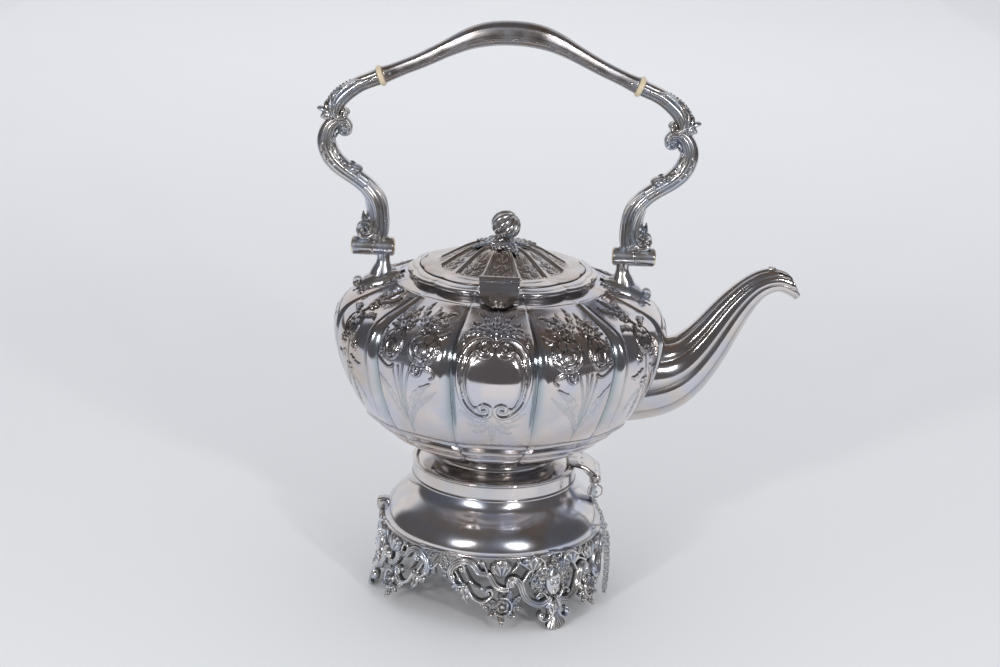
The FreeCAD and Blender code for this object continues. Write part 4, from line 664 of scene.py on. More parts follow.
def rose_lobe():
    R = Relief(-26.2, 26.2, 66, 180, 0.2)
    # foliage above
    for pts, w, h in (([(3, 141), (2, 148), (-3, 154), (-2, 160)], 3.0, 0.9), ([(10, 141), (14, 147), (15, 152), (12, 157)], 3.2, 1.0), ([(6, 142), (8, 150), (6, 156), (8, 161)], 2.8, 1.1),
                      ([(-8, 141), (-12, 147), (-17, 150), (-20, 156)], 3.0, 1.0), ([(-5, 141), (-7, 148), (-11, 155), (-12, 163)], 2.8, 0.9), ([(14, 139), (19, 141), (21.5, 146)], 2.2, 0.9),
                      ([(-14, 141), (-18, 143), (-21, 142)], 2.0, 0.9), ([(0, 150), (4, 157), (3, 165)], 2.4, 0.6), ([(-2, 154), (-6, 161), (-5, 168)], 2.3, 0.6), ([(9, 155), (14, 160), (19, 161)], 2.4, 0.55)):
        R.leaf(np.array(pts, float), w, h, veins=4, teeth=0.42)
    R.blob(-7.0, 143.4, 1.7, 2.6, 1.4, rot=0.3, edge=0.6)
    R.line([(-7.6, 141.6), (-7.0, 143.4), (-6.4, 145.4)], 0.3, 0.2)
    flower(R, 8.5, 149.5, 4.2, 1.3, 5, 0.3)
    flower(R, -13.5, 151.5, 3.6, 1.0, 5, 0.0)
    R.ridge([(-20, 147), (-16, 146.4), (-13.6, 148), (-12.0, 152), (-11.6, 156)], 0.8, 1.1, 0.5, 0.8)
    R.beads(np.array([(-21, 139), (-19.6, 135), (-19.4, 128), (-18.4, 123)]), 0.6, 0.7, gap=2.8)
    # stems and long leaves running down to one point
    root = (-3.0, 74.5)
    for pts, w, h in (([(-5.6, 119), (-5.2, 108), (-4.2, 95), root], 0.5, 0.5), ([(-2.4, 120), (-3.4, 110), (-3.4, 96), root], 0.5, 0.5), ([(3.0, 121), (-0.6, 110), (-2.4, 97), root], 0.55, 0.5),
                      ([(-9.6, 119), (-8.0, 108), (-5.8, 94), (-4.4, 86)], 0.45, 0.42)):
        R.ridge(pts, w, h, w * 0.6, h * 0.5, edge=0.5)
    R.leaf(np.array([(-4.6, 84), (-10.4, 96), (-15.6, 105.5), (-21.4, 112.5)]), 3.1, 0.62, veins=7, teeth=0.3)
    R.leaf(np.array([(-2.4, 82), (2.6, 97), (8.0, 107.0), (15.6, 112.6)]), 3.3, 0.62, veins=7, teeth=0.3)
    R.leaf(np.array([(-1.6, 86), (6.0, 96.5), (14.0, 103.5), (18.6, 108.0)]), 1.7, 0.35, veins=5, teeth=0.3)
    R.line([(-3.0, 78), (-6.0, 88), (-12, 98)], 0.34, 0.12)
    R.line([(-2.8, 78), (1.2, 90), (4.6, 98)], 0.34, 0.12)
    R.blob(-3.2, 99.0, 0.6, 0.8, 0.5)
    R.blob(-3.3, 96.4, 0.5, 0.7, 0.5)
    R.ridge([(3.4, 121.6), (3.0, 117.6), (5.6, 115.6), (8.6, 117.0), (9.4, 119.8)], 0.85, 0.9, 0.6, 0.7, edge=0.7)
    R.ridge([(12.0, 121.0), (15.4, 119.6), (16.8, 116.6), (14.6, 114.8)], 0.75, 0.8, 0.5, 0.6, edge=0.7)
    R.ridge([(-20.4, 121.0), (-16, 118.2), (-12.4, 117.0), (-9.0, 118.6)], 0.8, 0.9, 0.6, 0.6, edge=0.7)
    R.blob(6.6, 118.6, 1.2, 1.2, 1.0, edge=0.7)
    rose(R, -11.6, 131.2, 6.9, 10.0, 1.5, beaded=False, look=(0.0, -0.36))
    R.beads(ring_pts(-11.6, 131.2, 6.6, 9.6, 60), 0.42, 1.0, gap=2.3, closed=True)
    rose(R, 8.9, 132.2, 9.3, 9.6, 1.9)
    return R


def spray_lobe():
    """A stem of blossoms up the middle of the lobe, framed by a chased line near one channel."""
    R = Relief(-26.2, 26.2, 66, 180, 0.2)
    R.line([(19.4, 168), (19.8, 150), (19.6, 130), (19.2, 110), (18.0, 90), (16.0, 76)], 0.5, 0.22)
    R.ridge([(18.2, 166), (18.6, 150), (18.4, 130), (18.0, 110), (16.8, 92)], 0.5, 0.35, edge=0.3)
    for pts, w, h in (([(-1, 146), (-5, 153), (-9, 158), (-14, 160)], 2.8, 0.9), ([(1, 148), (5, 155), (10, 158), (12, 163)], 2.8, 0.9), ([(0, 152), (-1, 160), (2, 168)], 2.6, 0.8),
                      ([(-6, 140), (-12, 143), (-17, 142)], 2.6, 1.0), ([(5, 139), (11, 142), (15, 140)], 2.6, 1.0), ([(-4, 116), (-9, 112), (-15, 114)], 2.5, 0.9), ([(3, 115), (9, 111), (14, 112)], 2.5, 0.9),
                      ([(-3, 104), (-8, 98), (-12, 90)], 2.2, 0.6), ([(2, 102), (7, 95), (10, 87)], 2.2, 0.6), ([(-1, 96), (-3, 88), (-2, 79)], 2.0, 0.5)):
        R.leaf(np.array(pts, float), w, h, veins=4, teeth=0.42)
    R.ridge([(0, 146), (-2, 136), (1, 124), (-1, 112), (0, 98), (-1, 84)], 0.6, 0.7, 0.4, 0.4, edge=0.5)
    flower(R, 1.0, 148.0, 4.0, 1.2, 6, 0.2)
    flower(R, -6.4, 122.4, 3.4, 1.2, 5, 0.4)
    flower(R, 7.4, 121.8, 3.4, 1.2, 5, 0.1)
    flower(R, -1.2, 106.0, 3.6, 1.1, 5, 0.9)
    rose(R, 0.0, 132.6, 7.4, 8.2, 1.7)
    return R


def fan_lobe():
    """Engraved leaf fan below a handle bracket or the spout's root."""
    R = Relief(-26.2, 26.2, 66, 180, 0.2)
    for k, a in enumerate((-62, -38, -14, 14, 38, 62)):
        ar = math.radians(a)
        L = 22 - abs(a) * 0.07
        p0 = (2.0 * math.sin(ar), 163 - 2 * math.cos(ar))
        p1 = (L * 0.55 * math.sin(ar * 1.05), 163 - L * 0.5 * math.cos(ar))
        p2 = (L * math.sin(ar), 163 - L * math.cos(ar))
        R.leaf(np.array([p0, p1, p2]), 3.0, 0.5, veins=5, teeth=0.25, vein_depth=0.12)
    for m in (-1, 1):
        R.line(np.array([(3, 138), (9, 120), (8, 100), (3, 84)]) * (m, 1), 0.36, 0.14, taper=True)
        R.leaf(np.array([(2, 118), (8, 126), (14, 128)]) * (m, 1), 2.0, 0.35, veins=4, teeth=0.3, vein_depth=0.08)
        R.leaf(np.array([(2, 104), (8, 110), (13, 110)]) * (m, 1), 1.8, 0.35, veins=4, teeth=0.3, vein_depth=0.08)
    R.leaf(np.array([(0, 130), (0, 112), (0, 94)]), 2.6, 0.4, veins=7, teeth=0.3, vein_depth=0.08)
    return R


def top_band(R):
    """Light chasing shared by all lobes: the bead line of the top tier."""
    R.beads(np.array([(-23.5, 66.8), (-12, 68.6), (0, 69.0), (12, 68.6), (23.5, 66.8)]), 0.45, 0.35, gap=2.6)
    return R


_cart, _rose, _spray, _fan = [top_band(f()) for f in (cartouche, rose_lobe, spray_lobe, fan_lobe)]
LOBES = {270: _cart, 90: _cart, 240: _rose, 300: _rose.mirrored(), 60: _rose, 120: _rose.mirrored(),
         210: _spray, 330: _spray.mirrored(), 30: _spray, 150: _spray.mirrored(), 0: _fan, 180: _fan}


def lobe_mesh(phi, R):
    g = Geo()
    nu, nv = 113, 279
    s = np.linspace(-HALF_S, HALF_S, nu)
    t = np.linspace(TT[0], TT[-1], nv)
    S, T = np.meshgrid(s, t, indexing="ij")
    d, cav = lobe_form(S, T)
    h, c = R.sample(S, T), R.sample(S, T, "c")
    edge = smooth01((HALF_S - 2.4 - np.abs(S)) / 1.2)
    high = smooth01((T - 136) / 5)
    d = d + h * edge * (1 + 0.45 * high)
    c = np.clip(c * (1 + 0.4 * high), 0, 1)
    low = smooth01((118 - T) / 10)
    g.tint = np.clip(np.maximum(0.9 * chan_tint(S, T), 0.8 * c * edge * low), 0, 1)
    c = np.maximum(cav, c * edge * (1 - 0.68 * low))
    a = math.radians(phi) + LOBE_TURN + S / 97.0 * (math.radians(15) * 97.0 / HALF_S)
    top = body_point(a, T, d)
    ti = np.linspace(TT[0], TT[-1], nv)
    bot = body_point(a, T, -1.6 + np.minimum(lobe_form(S, T)[0], 0) * 0.9)
    v, q, cc = slab(top, bot, c, 0.35)
    g.add(v, q, None, cc)
    g.tint = np.concatenate([g.tint.ravel(), np.zeros(len(v) - g.tint.size)])
    return g


for k, phi in enumerate(sorted(LOBES)):
    build(f"kettle_lobe_{k + 1:02d}", lobe_mesh(phi, LOBES[phi]), "kettle", SILVER, ("kettle_body",) if k == 0 else ())


# ------------------------------------------------------------------ shared ornament builders in a local map
def band(g, fmap, pts, w0, w1, h, ribs=3, base=-0.6, n=70, m=17, cav_scale=1.0, h1=None, spline_on=True):
    """Reeded strip laid on a surface: pts are (x, y) on it, fmap(x, y, height) gives space. Closed all round."""
    p = spline(np.asarray(pts, float), n) if spline_on else np.asarray(pts, float)
    n = len(p)
    t = np.gradient(p, axis=0)
    t /= np.linalg.norm(t, axis=1)[:, None] + 1e-9
    nrm = np.stack([-t[:, 1], t[:, 0]], -1)
    u = np.linspace(0, 1, n)
    w = w0 + (w1 - w0) * u
    hh = h + ((h1 if h1 is not None else h) - h) * u
    x = np.linspace(-1, 1, m)
    dome = np.sqrt(np.clip(1 - np.abs(x) ** 3.2, 0, 1))
    if ribs > 1:
        rib = np.abs(np.sin(x * ribs * math.pi / 2 + (0 if ribs % 2 == 0 else math.pi / 2))) ** 0.7
        prof = dome * (0.58 + 0.42 * rib)
        cv = (1 - rib) ** 1.3 * 0.95
    else:
        prof = dome
        cv = np.zeros(m)
    cv = np.maximum(cv, np.clip((np.abs(x) - 0.86) / 0.14, 0, 1) * 0.8) * cav_scale
    endf = smooth01(np.minimum(u, 1 - u) * n / 3.0)
    X = p[:, None, 0] + nrm[:, None, 0] * (w[:, None] * x[None])
    Y = p[:, None, 1] + nrm[:, None, 1] * (w[:, None] * x[None])
    top = fmap(X, Y, base + (hh[:, None] - base) * prof[None] * (0.35 + 0.65 * endf[:, None]))
    bot = fmap(X, Y, np.full_like(X, base - 0.9))
    v, q, c = slab(top, bot, np.broadcast_to(cv[None], X.shape), 0.8)
    g.add(v, q, None, c)
    return p


def leafpiece(g, fmap, pts, width, h, lobes=4, teeth=0.35, base=-0.4, n=40, m=15, lift=0.0, cup=0.0):
    """Modelled leaf: central vein, lobed edge, tip lifted by lift."""
    p = spline(np.asarray(pts, float), n)
    t = np.gradient(p, axis=0)
    t /= np.linalg.norm(t, axis=1)[:, None] + 1e-9
    nrm = np.stack([-t[:, 1], t[:, 0]], -1)
    u = np.linspace(0, 1, n)
    env = np.sin(np.clip(u, 0, 1) ** 0.7 * math.pi) ** 0.75
    env = env * (1 - teeth * (0.5 - 0.5 * np.cos(u * lobes * 2 * math.pi + 0.4))) + 0.03
    x = np.linspace(-1, 1, m)
    lob = 0.5 + 0.5 * np.cos(u[:, None] * lobes * 2 * math.pi - np.abs(x)[None] * 2.4)
    prof = np.sqrt(np.clip(1 - np.abs(x) ** 2.6, 0, 1))[None] * (0.62 + 0.38 * lob) - 0.35 * np.exp(-(x / 0.16) ** 2)[None]
    X = p[:, None, 0] + nrm[:, None, 0] * (width * env[:, None] * x[None])
    Y = p[:, None, 1] + nrm[:, None, 1] * (width * env[:, None] * x[None])
    H = base + (h - base) * np.maximum(prof, 0.0) * (0.35 + 0.65 * env[:, None]) + lift * (u[:, None] ** 2) + cup * (x[None] ** 2)
    cv = np.maximum(0.75 * np.exp(-(x / 0.14) ** 2)[None] * np.ones((n, 1)), (1 - lob) * 0.6)
    cv = np.maximum(cv, np.clip((np.abs(x)[None] - 0.88) / 0.12, 0, 1) * 0.7)
    top = fmap(X, Y, H)
    bot = fmap(X, Y, np.full_like(X, base - 0.7) + lift * (u[:, None] ** 2))
    v, q, c = slab(top, bot, cv, 0.8)
    g.add(v, q, None, c)


def volute(g, fmap, c, r, a0, turns, w, h, ribs=1, ballr=None, base=-0.6, shrink=0.25, n=54):
    p = volute_pts(c, r, a0, turns, shrink, n)
    band(g, fmap, p, w, w * 0.55, h, ribs=ribs, base=base, m=11, h1=h * 1.15, spline_on=False)
    if ballr:
        add_ball(g, (0, 0, 0), 1.0, 0.1, 16, 10, fn=lambda X, Y, Z: fmap(c[0] + X * ballr, c[1] + Y * ballr, h * 0.55 + Z * ballr * 0.9))


def patch(g, fmap, c, rx, ry, hfun, nx=25, ny=25, base=-0.8, cav=0.5, power=1.0):
    """Oval patch of relief with its own height function of (u, v) in the unit disc."""
    a = np.linspace(-1, 1, nx)
    b = np.linspace(-1, 1, ny)
    A, B = np.meshgrid(a, b, indexing="ij")
    U = A * np.sqrt(1 - B * B / 2)
    V_ = B * np.sqrt(1 - A * A / 2)
    H, C = hfun(U, V_)
    top = fmap(c[0] + U * rx, c[1] + V_ * ry, H)
    bot = fmap(c[0] + U * rx, c[1] + V_ * ry, np.full_like(U, base))
    v, q, cc = slab(top, bot, C, cav)
    g.add(v, q, None, cc)


# ------------------------------------------------------------------ mouth collar, kettle foot, stand collar and drum
def scallop(a, amp, turn=LOBE_TURN, sharp=0.6):
    """Twelve outward arcs meeting in cusps over the lobes' channels."""
    return amp * (np.abs(np.cos(6 * (a - turn))) ** sharp - 0.55)


def turned_piece(name, prof, body, mat, replaces, n=360, rfun=None, cav=0.0):
    g = Geo()
    v, q, c = lathe(prof, n, True, rfun, cav)
    g.add(v, q, None, c)
    return build(name, g, body, mat, replaces)


def dense(prof, step=0.35, rnd=()):
    """Resample an outline finely so that its corners stay crisp."""
    p = np.asarray(prof, float)
    out = []
    for a, b in zip(p, np.roll(p, -1, 0)):
        k = max(1, int(np.linalg.norm(b - a) / step))
        out += [a + (b - a) * i / k for i in range(k)]
    return np.array(out)


def rounded(prof, r=0.25, k=3):
    """Outline with small rounded corners."""
    p = np.asarray(prof, float)
    n = len(p)
    out = []
    for i in range(n):
        a, b, c = p[i - 1], p[i], p[(i + 1) % n]
        d1, d2 = a - b, c - b
        l1, l2 = np.linalg.norm(d1), np.linalg.norm(d2)
        q = min(r, 0.42 * l1, 0.42 * l2)
        s, e = b + d1 / l1 * q, b + d2 / l2 * q
        for j in range(k + 1):
            u = j / k
            out.append((1 - u) ** 2 * s + 2 * u * (1 - u) * b + u * u * e)
    # extra points beside the corners keep the flats between them truly flat when shaded
    full = []
    for a, b in zip(out, out[1:] + out[:1]):
        full.append(a)
        L = np.linalg.norm(b - a)
        if L > 0.45:
            full += [a + (b - a) * 0.12 / L, b - (b - a) * 0.12 / L]
    return np.array(full)


rim = rounded([(43.5, 195.6), (43.5, 202.2), (48.3, 202.25), (48.5, 202.8), (49.8, 202.75), (51.2, 202.25), (52.1, 201.95), (52.5, 201.6), (53.4, 201.5), (54.1, 201.3), (54.6, 200.8), (54.8, 200.1), (54.8, 199.2), (54.5, 198.4), (54.1, 197.8), (53.6, 196.4)], 0.45)


def rim_r(a, r, z):
    k = smooth01((r - 47.0) / 5.0)
    return r + scallop(a, 2.3) * k, z + 0 * a


rc = np.where((rim[:, 0] > 51.0) & (rim[:, 0] < 51.9), 0.25, 0.0) + np.where((rim[:, 0] > 48.1) & (rim[:, 0] < 48.7), 0.85, 0.0) + np.where(rim[:, 1] < 199.2, 0.6, 0)
turned_piece("mouth_collar_rim", rim, "kettle", SMOOTH, ("mouth_collar",), 480, rim_r, np.clip(rc, 0, 1))

foot_prof = np.vstack([spline([(38.0, 92.0), (34.6, 90.9), (32.2, 89.4), (31.0, 87.8), (31.8, 86.3), (34.6, 85.0)], 22), [(35.2, 85.3), (35.9, 84.6)],
                       spline([(36.2, 84.4), (40.0, 83.9), (44.0, 83.2), (45.9, 82.5)], 14), [(46.4, 81.9), (46.2, 80.9), (45.4, 80.35)], spline([(44.0, 80.7), (40.0, 82.2), (34.6, 83.5), (30.4, 85.4), (29.0, 87.6), (30.6, 90.4), (33.4, 92.4)], 22)])
fcv = np.zeros(len(foot_prof))
fcv[20:25] = 0.5
turned_piece("kettle_foot_spool", foot_prof, "kettle", SMOOTH, ("kettle_foot",), 300, None, fcv)

b0, b1 = [np.array(x) * 1000 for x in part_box("stand_collar")]
zc = b0[2]
col = rounded([(46.6, zc - 0.4), (49.1, zc - 0.2), (49.7, zc + 0.5), (49.5, zc + 1.3), (49.0, zc + 1.7), (49.0, zc + 8.9), (49.45, zc + 9.5), (49.7, zc + 10.2), (49.0, zc + 10.8), (47.3, zc + 10.8), (47.1, zc + 7.2), (44.2, zc + 7.1), (44.0, zc + 6.0), (46.4, zc + 5.2)], 0.3)
ccv = np.where(np.abs(col[:, 1] - (zc + 1.7)) < 0.35, 0.55, 0.0) + np.where(np.abs(col[:, 1] - (zc + 8.9)) < 0.3, 0.45, 0.0)
turned_piece("stand_collar_band", col, "stand", SMOOTH, ("stand_collar",), 360, None, np.clip(ccv, 0, 1))

drum_line = spline([(47.6, 73.2), (48.5, 70.6), (50.2, 67.6), (53.3, 64.7), (57.1, 61.5), (60.8, 57.9), (63.6, 53.9), (65.2, 50.2), (65.75, 47.5), (65.6, 46.2)], 60)
roll = np.array([(65.9 + 0.75 * math.cos(a), 45.5 + 0.75 * math.sin(a)) for a in np.radians(np.linspace(80, -110, 12))])
inner = drum_line[::-1][:, :] - np.array([1.1, 0.0])
inner[:, 1] -= 0.5
drum_prof = np.vstack([drum_line[::-1], inner[::-1], roll[::-1]])
dcv = np.zeros(len(drum_prof))
dcv[:2] = 0.4
turned_piece("stand_drum_body", drum_prof, "stand", DRUM, ("stand_drum",), 420, None, dcv)


# ------------------------------------------------------------------ lid with twelve chased panels
def lid_panel():
    """One 30 degree sector: x from -10 to 10 (angle), y the radius."""
    R = Relief(-10.2, 10.2, 3, 41, 0.12)
    return R


def lid_form(a, r):
    """Relief of the lid's dome at plan angle a (from a panel's middle) and radius r."""
    x = ((a / math.radians(30) + 0.5) % 1.0 - 0.5) * 2          # -1..1 across one panel
    half = 0.85 - 0.05 * smooth01((r - 30) / 8)
    top = 12.0
    arch = np.clip((top + 5.0 - r) / 5.0, 0, 1)
    hw = half * np.sqrt(np.clip(1 - arch ** 2, 0, 1))
    mm = r * math.radians(15)
    dist = (hw - np.abs(x)) * mm
    low = 38.4 - 1.5 * (x / 0.85) ** 4 - r
    inside = smooth01(dist / 0.7) * smooth01(low / 0.9) * (r > top)
    rw = np.maximum((1 - half) * mm, 0.3)
    rib = np.sqrt(np.clip(1 - ((1 - np.abs(x)) * mm / (rw * 1.05)) ** 2, 0, 1)) * smooth01((39.5 - r) / 3) * smooth01((r - 11) / 3)
    d = -0.8 * inside + 0.55 * rib
    cav = 0.45 * np.exp(-((dist - 0.3) / 0.35) ** 2) * (r > top) * (low > 0) + 0.2 * np.exp(-((low - 0.3) / 0.4) ** 2) * (dist > 0)
    return d, cav, inside, x


_lp = Relief(-6.6, 6.6, 10, 40, 0.1)
flower(_lp, 0, 29.5, 3.0, 0.75, 6, 0.2)
flower(_lp, -3.0, 34.2, 1.9, 0.6, 5, 0.2)
flower(_lp, 3.0, 34.2, 1.9, 0.6, 5, 0.5)
_lp.leaf(np.array([(0, 26.0), (-0.6, 22.0), (0.4, 17.6)]), 1.2, 0.55, 4, 0.35)
for m_ in (-1, 1):
    _lp.leaf(np.array([(0.4, 26), (2.2, 24), (2.8, 20.6)]) * (m_, 1), 0.9, 0.5, 3, 0.3)
    _lp.leaf(np.array([(1.6, 30.0), (4.2, 29.2), (5.4, 27.0)]) * (m_, 1), 0.95, 0.5, 3, 0.3)
    _lp.leaf(np.array([(0.6, 32.6), (1.6, 35.6), (0.8, 37.4)]) * (m_, 1), 0.9, 0.45, 3, 0.3)
    _lp.line(np.array([(0.3, 24), (1.4, 20), (1.2, 15)]) * (m_, 1), 0.22, 0.12)
    _lp.blob(5.2 * m_, 31.6, 0.5, 0.5, 0.45)
    _lp.blob(4.6 * m_, 37.0, 0.6, 0.5, 0.4)

LIDP = spline([(2.6, 218.0), (6.0, 217.85), (10.0, 217.3), (16.0, 216.0), (22.0, 213.6), (28.0, 210.3), (34.4, 206.6), (38.6, 204.6), (40.6, 204.1)], 120)
flange = rounded([(40.6, 204.1), (42.4, 204.05), (43.2, 203.95), (44.4, 203.85), (44.9, 203.8), (46.6, 203.7), (47.5, 203.35), (47.7, 202.8), (47.2, 202.35), (41.5, 202.3)], 0.3)[3:]
under = spline([(40.0, 202.4), (36.0, 203.9), (30.0, 207.6), (22.0, 212.1), (12.0, 215.5), (2.6, 216.6)], 26)
lid_prof = np.vstack([LIDP, flange, under])
nt_ = len(LIDP)


def lid_geo():
    g = Geo()
    n = 600
    a = np.linspace(0, 2 * math.pi, n, endpoint=False)
    r = np.repeat(lid_prof[None, :, 0], n, 0)
    z = np.repeat(lid_prof[None, :, 1], n, 0)
    A = np.repeat(a[:, None], lid_prof.shape[0], 1)
    tn = np.gradient(LIDP, axis=0)
    tn /= np.linalg.norm(tn, axis=1)[:, None]
    nr, nz = -tn[:, 1], tn[:, 0]
    d, cav, inside, x = lid_form(A[:, :nt_] - LOBE_TURN - math.radians(-90), r[:, :nt_])
    hh = _lp.sample(x * np.maximum(r[:, :nt_], 8) * math.radians(15), r[:, :nt_])
    hc = _lp.sample(x * np.maximum(r[:, :nt_], 8) * math.radians(15), r[:, :nt_], "c")
    d = d + hh * inside * 0.8
    cav = np.maximum(cav, hc * inside * 0.8)
    cav = np.maximum(cav, 0.12 * inside)
    r[:, :nt_] += d * nr[None]
    z[:, :nt_] += d * nz[None]
    k = smooth01((r - 40.5) / 2.5)
    r = r + scallop(A, 1.7) * k
    c = np.zeros_like(r)
    c[:, :nt_] = cav
    fl = slice(nt_, nt_ + len(flange))
    c[:, fl] = np.where((lid_prof[None, fl, 0] > 47.3), 0.6, 0.0)
    v = np.stack([r * np.cos(A), r * np.sin(A), z], -1).reshape(-1, 3)
    g.add(v, grid_quads(n, lid_prof.shape[0], True, True), None, c.ravel())
    return g


build("lid_chased", lid_geo(), "lid", TARNISHED, ("lid_dome",))


# ------------------------------------------------------------------ finial: leaves, stem, curled tendril, ribbed melon
def polar_map(z0, tilt):
    """Local (x out from the axis, y across, h up) on the lid's crown at plan angle tilt."""
    def f(x, y, h):
        r = np.asarray(x, float)
        zz = np.interp(r, LIDP[:, 0], LIDP[:, 1]) + z0
        ca, sa = math.cos(tilt), math.sin(tilt)
        return np.stack([r * ca - y * sa, r * sa + y * ca, zz + h], -1)
    return f


g = Geo()
for k in range(8):
    an = math.radians(22.5 + 45 * k) + 0.12 * (k % 2)
    L = 20.5 if k % 2 == 0 else 16.5
    leafpiece(g, polar_map(0.3, an), [(3.0, 0), (L * 0.5, 0.6), (L, -0.4)], 4.4, 1.5, lobes=5, teeth=0.42, base=-0.2, lift=0.9, n=46)
build("finial_leaf_calyx", g, "lid", CAST, ("finial_leaves",))

g = Geo()
axis = np.array([0.70, -0.16, 0.70])
axis /= np.linalg.norm(axis)
MC = np.array([0.9, 0.0, 227.9])
e1 = np.cross(axis, [0, 1, 0])
e1 /= np.linalg.norm(e1)
e2 = np.cross(axis, e1)
nu, nv = 160, 60
A, B = np.meshgrid(np.linspace(0, 2 * math.pi, nu, endpoint=False), np.linspace(-math.pi / 2 + 0.02, math.pi / 2 - 0.02, nv), indexing="ij")
ribm = np.abs(np.cos(5 * A + 0.15 * np.sin(B))) ** 0.6
R_ = 9.0 * (1 - 0.20 * (1 - ribm) * np.cos(B) ** 0.7)
pr = R_ * np.cos(B)
pz = R_ * 0.93 * np.sin(B) - 1.0 * np.exp(-(pr / 2.4) ** 2) * np.sign(np.sin(B))
v = MC + pr[..., None] * (np.cos(A)[..., None] * e1 + np.sin(A)[..., None] * e2) + pz[..., None] * axis
k0 = len(v.reshape(-1, 3))
vv = np.vstack([v.reshape(-1, 3), v[:, 0].mean(0), v[:, -1].mean(0)])
i_ = np.arange(nu)
tri = np.vstack([np.stack([np.full(nu, k0), (i_ + 1) % nu * nv, i_ * nv], -1), np.stack([np.full(nu, k0 + 1), i_ * nv + nv - 1, (i_ + 1) % nu * nv + nv - 1], -1)])
g.add(vv, grid_quads(nu, nv, True, False), tri, np.r_[((1 - ribm) ** 1.2 * 0.95).ravel(), 0.8, 0.8])
build("finial_melon_ribbed", g, "lid", CAST, ("finial_melon",))

g = Geo()
st = spline([(-1.0, 0, 216.6), (-2.2, 0.2, 218.6), (-2.6, 0, 220.4), (-2.2, 0, 222.2)], 16)
th = np.linspace(0, 2 * math.pi, 20, endpoint=False)
w = np.linspace(3.6, 2.1, 16)[:, None]
v, q, t, c = sweep(st, w * np.cos(th) * (1 + 0.12 * np.cos(5 * th)), w * np.sin(th) * (1 + 0.12 * np.cos(5 * th)), (0, 1, 0), cav=0.35)
g.add(v, q, t, c)
for sx, sy, r_ in ((-6.2, -8.8, 1.9), (-4.6, -7.6, 1.2), (5.4, -7.0, 1.0), (-7.8, -7.2, 1.0)):
    add_ball(g, (sx, sy, 218.0 + (0.6 if r_ > 1.5 else 0.0)), r_, 0.1, 18, 12)
v, q, t, c = sweep(spline([(-2, -2, 219.6), (-3.6, -5.2, 220.4), (-5.2, -8.0, 219.6), (-6.6, -9.8, 218.2)], 24), 0.75 * np.cos(th), 0.75 * np.sin(th), (0, 0, 1), cav=0.2)
g.add(v, q, t, c)
build("finial_stem_tendril", g, "lid", CAST, ())


# ------------------------------------------------------------------ spout: reeded tube with an open pouring lip
SPOUT = np.array([(80.0, 138.0, 29.0, 18.6, -20.0), (90.0, 140.0, 26.8, 18.0, -6.0), (100.5, 142.6, 23.2, 16.2, 16.0), (109.3, 147.2, 19.2, 14.0, 31.0), (119.0, 157.0, 15.4, 12.0, 46.0),
                  (128.4, 170.6, 12.6, 10.4, 55.0), (136.6, 183.2, 10.6, 9.2, 55.0), (144.4, 192.8, 9.0, 8.2, 46.0), (152.0, 199.0, 8.0, 7.6, 30.0), (160.0, 201.6, 7.2, 7.0, 6.0), (168.0, 200.4, 6.6, 6.6, -20.0), (176.0, 196.0, 6.2, 6.4, -36.0)])


def spout_point(u, th, grow):
    """u 0..1 along, th from the top round the camera side; arrays of one shape."""
    x, z, a, b, dg = [np.interp(u, _su, _sp[:, k]) for k in range(5)]
    t = np.radians(dg)
    d = np.zeros_like(th)
    for c0 in (24, 62, 100, 140):
        for sg in (1, -1):
            e = np.degrees(np.arctan2(np.sin(th - sg * math.radians(c0)), np.cos(th - sg * math.radians(c0))))
            d = d + np.exp(-np.abs(e / 6.5) ** 1.3)
    swell = 0.032 * (1 - d) - 0.058 * d
    amp = np.clip(1.15 - 0.25 * u, 0.7, 1.2)
    k = 1 + (swell * amp if grow == 0 else -0.05)
    aa, bb = (a + grow) * k, (b + grow) * k
    # rounded oval section
    c, s = np.cos(th), np.sin(th)
    px = x - np.sin(t) * aa * c
    pz = z + np.cos(t) * aa * c
    return np.stack([px, -bb * s, pz], -1), d


_sp = spline(SPOUT, 220)
_su = np.linspace(0, 1, 220)


